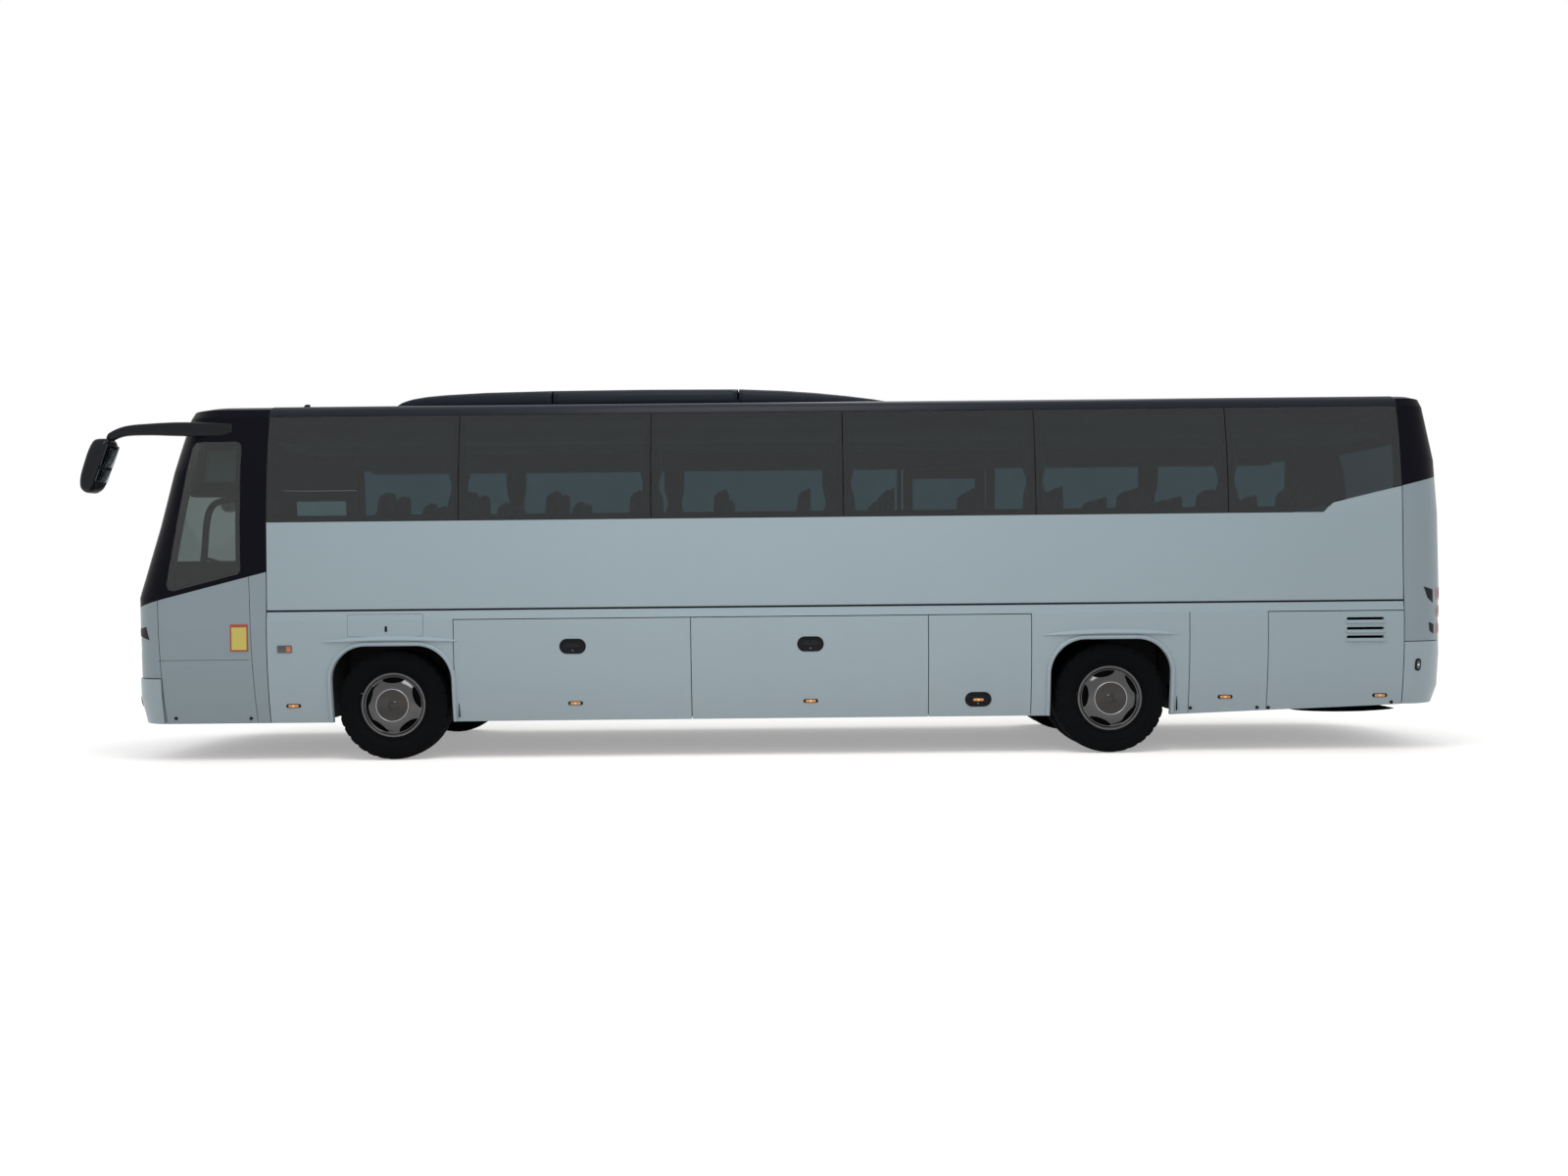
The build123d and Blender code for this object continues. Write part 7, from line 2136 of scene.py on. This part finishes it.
    @staticmethod
    def driver_base() -> Piece:
        """Bellows of the driver's sprung seat."""
        folds = [(0.13 + 0.022 * (step % 2), 0.016 * step) for step in range(18)]
        base = Bench.lathe("driver_seat_base", [(0.0, 0.0), *folds, (0.0, 0.272)], 40)
        upright = Matrix.Rotation(math.pi / 2, 4, "X")
        return Bench.settle(base, Matrix.Translation((-5.225, DRIVER_Y, 1.125)) @ upright)


@dataclass
class Curtains:
    """Gathered side curtains at the pane joints, drawn in a little below their middle."""

    cut: float = 0.42
    low: float = 2.315
    high: float = 2.950
    folds: int = 7
    inset: float = 0.043
    doorway: tuple[float, float] = (1.095, 2.645)

    def build(self) -> None:
        """Hang a curtain at each joint that the frame's curtains have."""
        number = 0
        for side in Side:
            for x in FORM.window_joints:
                if side is Side.RIGHT and self.doorway[0] < x < self.doorway[1]:
                    continue
                number += 1
                piece = self.sheet(f"curtain_{number}", x, side)
                release(piece, CURTAIN, BODY, ["curtains"] if number == 1 else [])

    def sheet(self, name: str, x: float, side: Side) -> Piece:
        """One curtain, full at its hem and drawn in a little below its middle."""

        def form(u: float, v: float) -> Vector:
            z = self.low + (self.high - self.low) * v
            width = 0.230 - 0.075 * math.exp(-(((v - 0.42) / 0.16) ** 2))
            deep = min(0.012, width / (math.pi * self.folds) * math.sqrt(max(0.0, self.cut / width - 1)))
            across = x + side.value * width * (0.5 - u)
            fold = deep * math.sin(2 * math.pi * self.folds * u + 0.5 * math.sin(5 * v + x))
            return Vector((across, side.value * (FORM.half_width(z) - self.inset - 0.008 + fold), z))

        return Bench.grid(name, 84, 16, form)


@dataclass
class Cabin:
    """Rack rails and service strips, dashboard, steering wheel and driver's place."""

    store: Store = field(default_factory=lambda: Store("cabin"))

    def build(self) -> None:
        """Fit out the cabin."""
        Seating().build()
        Curtains().build()
        for side in Side:
            self.racks(side)
        self.dash()
        self.cab()
        self.wheel()
        self.store.release()

    def racks(self, side: Side) -> None:
        """Hand rail, service strip and reading lamps of one luggage rack."""
        s = side.value
        path = [(-4.70, s * 0.752, 3.125), (5.60, s * 0.752, 3.125)]
        self.store.add(Bench.tube("rail", path, 0.013, sides=3), ALUMINIUM)
        y0, y1 = side.span(0.86, 1.02)
        self.store.add(Bench.slab("strip", (-4.60, y0, 2.925), (5.50, y1, 2.968), 0.010, 3), PALE_PLASTIC)
        turn = Matrix.Rotation(-math.pi / 2, 4, "X")
        spots = [
            Matrix.Translation((-4.10 + 0.81 * row, s * y, 2.9262)) @ turn
            for row in range(12)
            for y in (0.90, 0.94, 0.98)
        ]
        profile = [(0.016, 0.0), (0.016, 0.004), (0.011, 0.004), (0.009, 0.001), (0.0, 0.001)]
        self.store.add(Bench.copies("spots", Bench.lathe("spot", profile, 16), spots), LENS_WHITE)

    def dash(self) -> None:
        """Instrument hood with its dials, display and switch rows on the dashboard."""
        hood = Bench.slab("hood", (-5.98, -1.02, 1.742), (-5.72, -0.52, 1.800), 0.028, 4)
        self.store.add(
            Bench.shift(hood, lambda at: at - Vector((0, 0, 0.9 * (at.y - DRIVER_Y) ** 2))), MOULDED
        )
        tilt = frame_matrix(Vector((-5.722, DRIVER_Y, 1.762)), Vector((1, 0, 0.25)), Vector((0, 0, 1)))
        dials = [tilt @ Matrix.Translation((x, 0, 0)) for x in (-0.11, 0.11)]
        profile = [(0.050, 0.0), (0.050, 0.006), (0.045, 0.007), (0.043, 0.002), (0.0, 0.002)]
        dial = Bench.lathe("dial", profile, 32)
        self.store.add(Bench.copies("dials", dial, dials), DISPLAY)
        screen = Bench.slab("screen", (-0.13, 0.0, -0.06), (0.13, 0.014, 0.06), 0.006)
        turned = frame_matrix(Vector((-5.62, -0.36, 1.78)), Vector((1, -0.2, 0.3)), Vector((0, 0, 1)))
        self.store.fit(screen, turned, DISPLAY)
        lean = Matrix.Rotation(-0.3, 4, "Y")
        keys = [
            Matrix.Translation((-5.61 + 0.002 * row, -1.08 + 0.036 * number, 1.728 - 0.030 * row)) @ lean
            for row in range(2)
            for number in range(16)
        ]
        key = Bench.slab("key", (-0.004, -0.014, -0.010), (0.004, 0.014, 0.010), 0.002)
        self.store.add(Bench.copies("keys", key, keys), TRIM)

    def cab(self) -> None:
        """Locker and console behind the upper window, the bent rail, shelf, side panel and pedals."""
        locker = Bench.slab("locker", (-5.50, -1.120, 2.660), (-5.160, -1.070, 2.970), 0.012, 3)
        Bench.shift(locker, lambda at: at + Vector((0, 0.10 * max(0.0, at.z - 2.64), 0)))
        self.store.add(locker, CAB_PALE)

        def lean(at: Vector) -> Vector:
            back = 0.24 * max(0.0, at.z - 2.6) * (at.x < -5.3)
            return at + Vector((back, 0.10 * max(0.0, at.z - 2.64), 0))

        console = Bench.block("console", (-5.70, -1.062, 2.550), (-5.00, -1.020, 3.020))
        self.store.add(Bench.round(Bench.shift(console, lean), 0.010), TRIM)
        rail = [
            (-5.53, -1.10, 1.88), (-5.50, -1.12, 2.05), (-5.49, -1.12, 2.25), (-5.45, -1.11, 2.44),
            (-5.30, -1.10, 2.50), (-5.05, -1.09, 2.50),
        ]
        self.store.add(Bench.tube("cab_rail", rail, 0.030, sides=4, curved=True), TRIM)
        shelf = Bench.slab("shelf", (-5.64, -1.13, 2.520), (-5.00, -1.00, 2.585), 0.012, 3)
        self.store.add(shelf, TRIM)
        panel = Bench.slab("side_panel", (-5.83, -1.150, 1.600), (-5.06, -1.120, 1.905), 0.012, 3)
        self.store.add(panel, TRIM)
        for y in (-0.86, -0.70, -0.60):
            pedal = Bench.slab("pedal", (-5.66, y - 0.035, 1.10), (-5.640, y + 0.035, 1.24), 0.006)
            self.store.add(pedal, TRIM)

    def wheel(self) -> None:
        """Padded steering wheel with its spokes and boss."""
        tilt = math.radians(30)
        rise, run = math.sin(tilt), math.cos(tilt)
        turn = Matrix(((0, rise, -run, 0), (-1, 0, 0, 0), (0, run, rise, 0), (0, 0, 0, 1)))
        place = Matrix.Translation((-5.485, DRIVER_Y, 1.830)) @ turn
        ring = Bench.hoop("ring", 0.225, 0.0, 0.0148, 48, 4)
        grips = Bench.shift(ring, lambda at: at * (1 + 0.012 * math.cos(8 * math.atan2(at.z, at.x)) ** 6))
        profile = [
            (0.0, -0.018), (0.060, -0.018), (0.075, -0.004), (0.072, 0.010), (0.045, 0.019), (0.0, 0.022)
        ]
        boss = Bench.lathe("boss", profile, 40)
        spokes = []
        for angle in (0.25, math.pi - 0.25, 1.25, math.pi - 1.25):
            spoke = Bench.block("spoke", (0.05, -0.006, -0.018), (0.222, 0.006, 0.018))
            Bench.shift(spoke, lambda at: at + Vector((0, 0.004, 0.03 * (at.x - 0.05))))
            spokes.append(Bench.settle(Bench.round(spoke, 0.004), Matrix.Rotation(angle, 4, "Y")))
        whole = Bench.join("steering_wheel_padded", [grips, boss, *spokes])
        release(Bench.settle(whole, place), GRIP, "steering_wheel", ["steering_wheel"])


def main() -> None:
    """Build the dressed coach, sub-assembly by sub-assembly."""
    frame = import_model()
    nodes = frame["nodes"]
    surface = Surface(nodes)
    Studio().build()
    Paintwork(nodes).build()
    RunningGear().build()
    SideTrim(surface).build()
    Cabin().build()
    Ends(surface).build()
    RoofUnit().build()
    Joints().build()
    Underside().build()


if __name__ == "__main__":
    main()
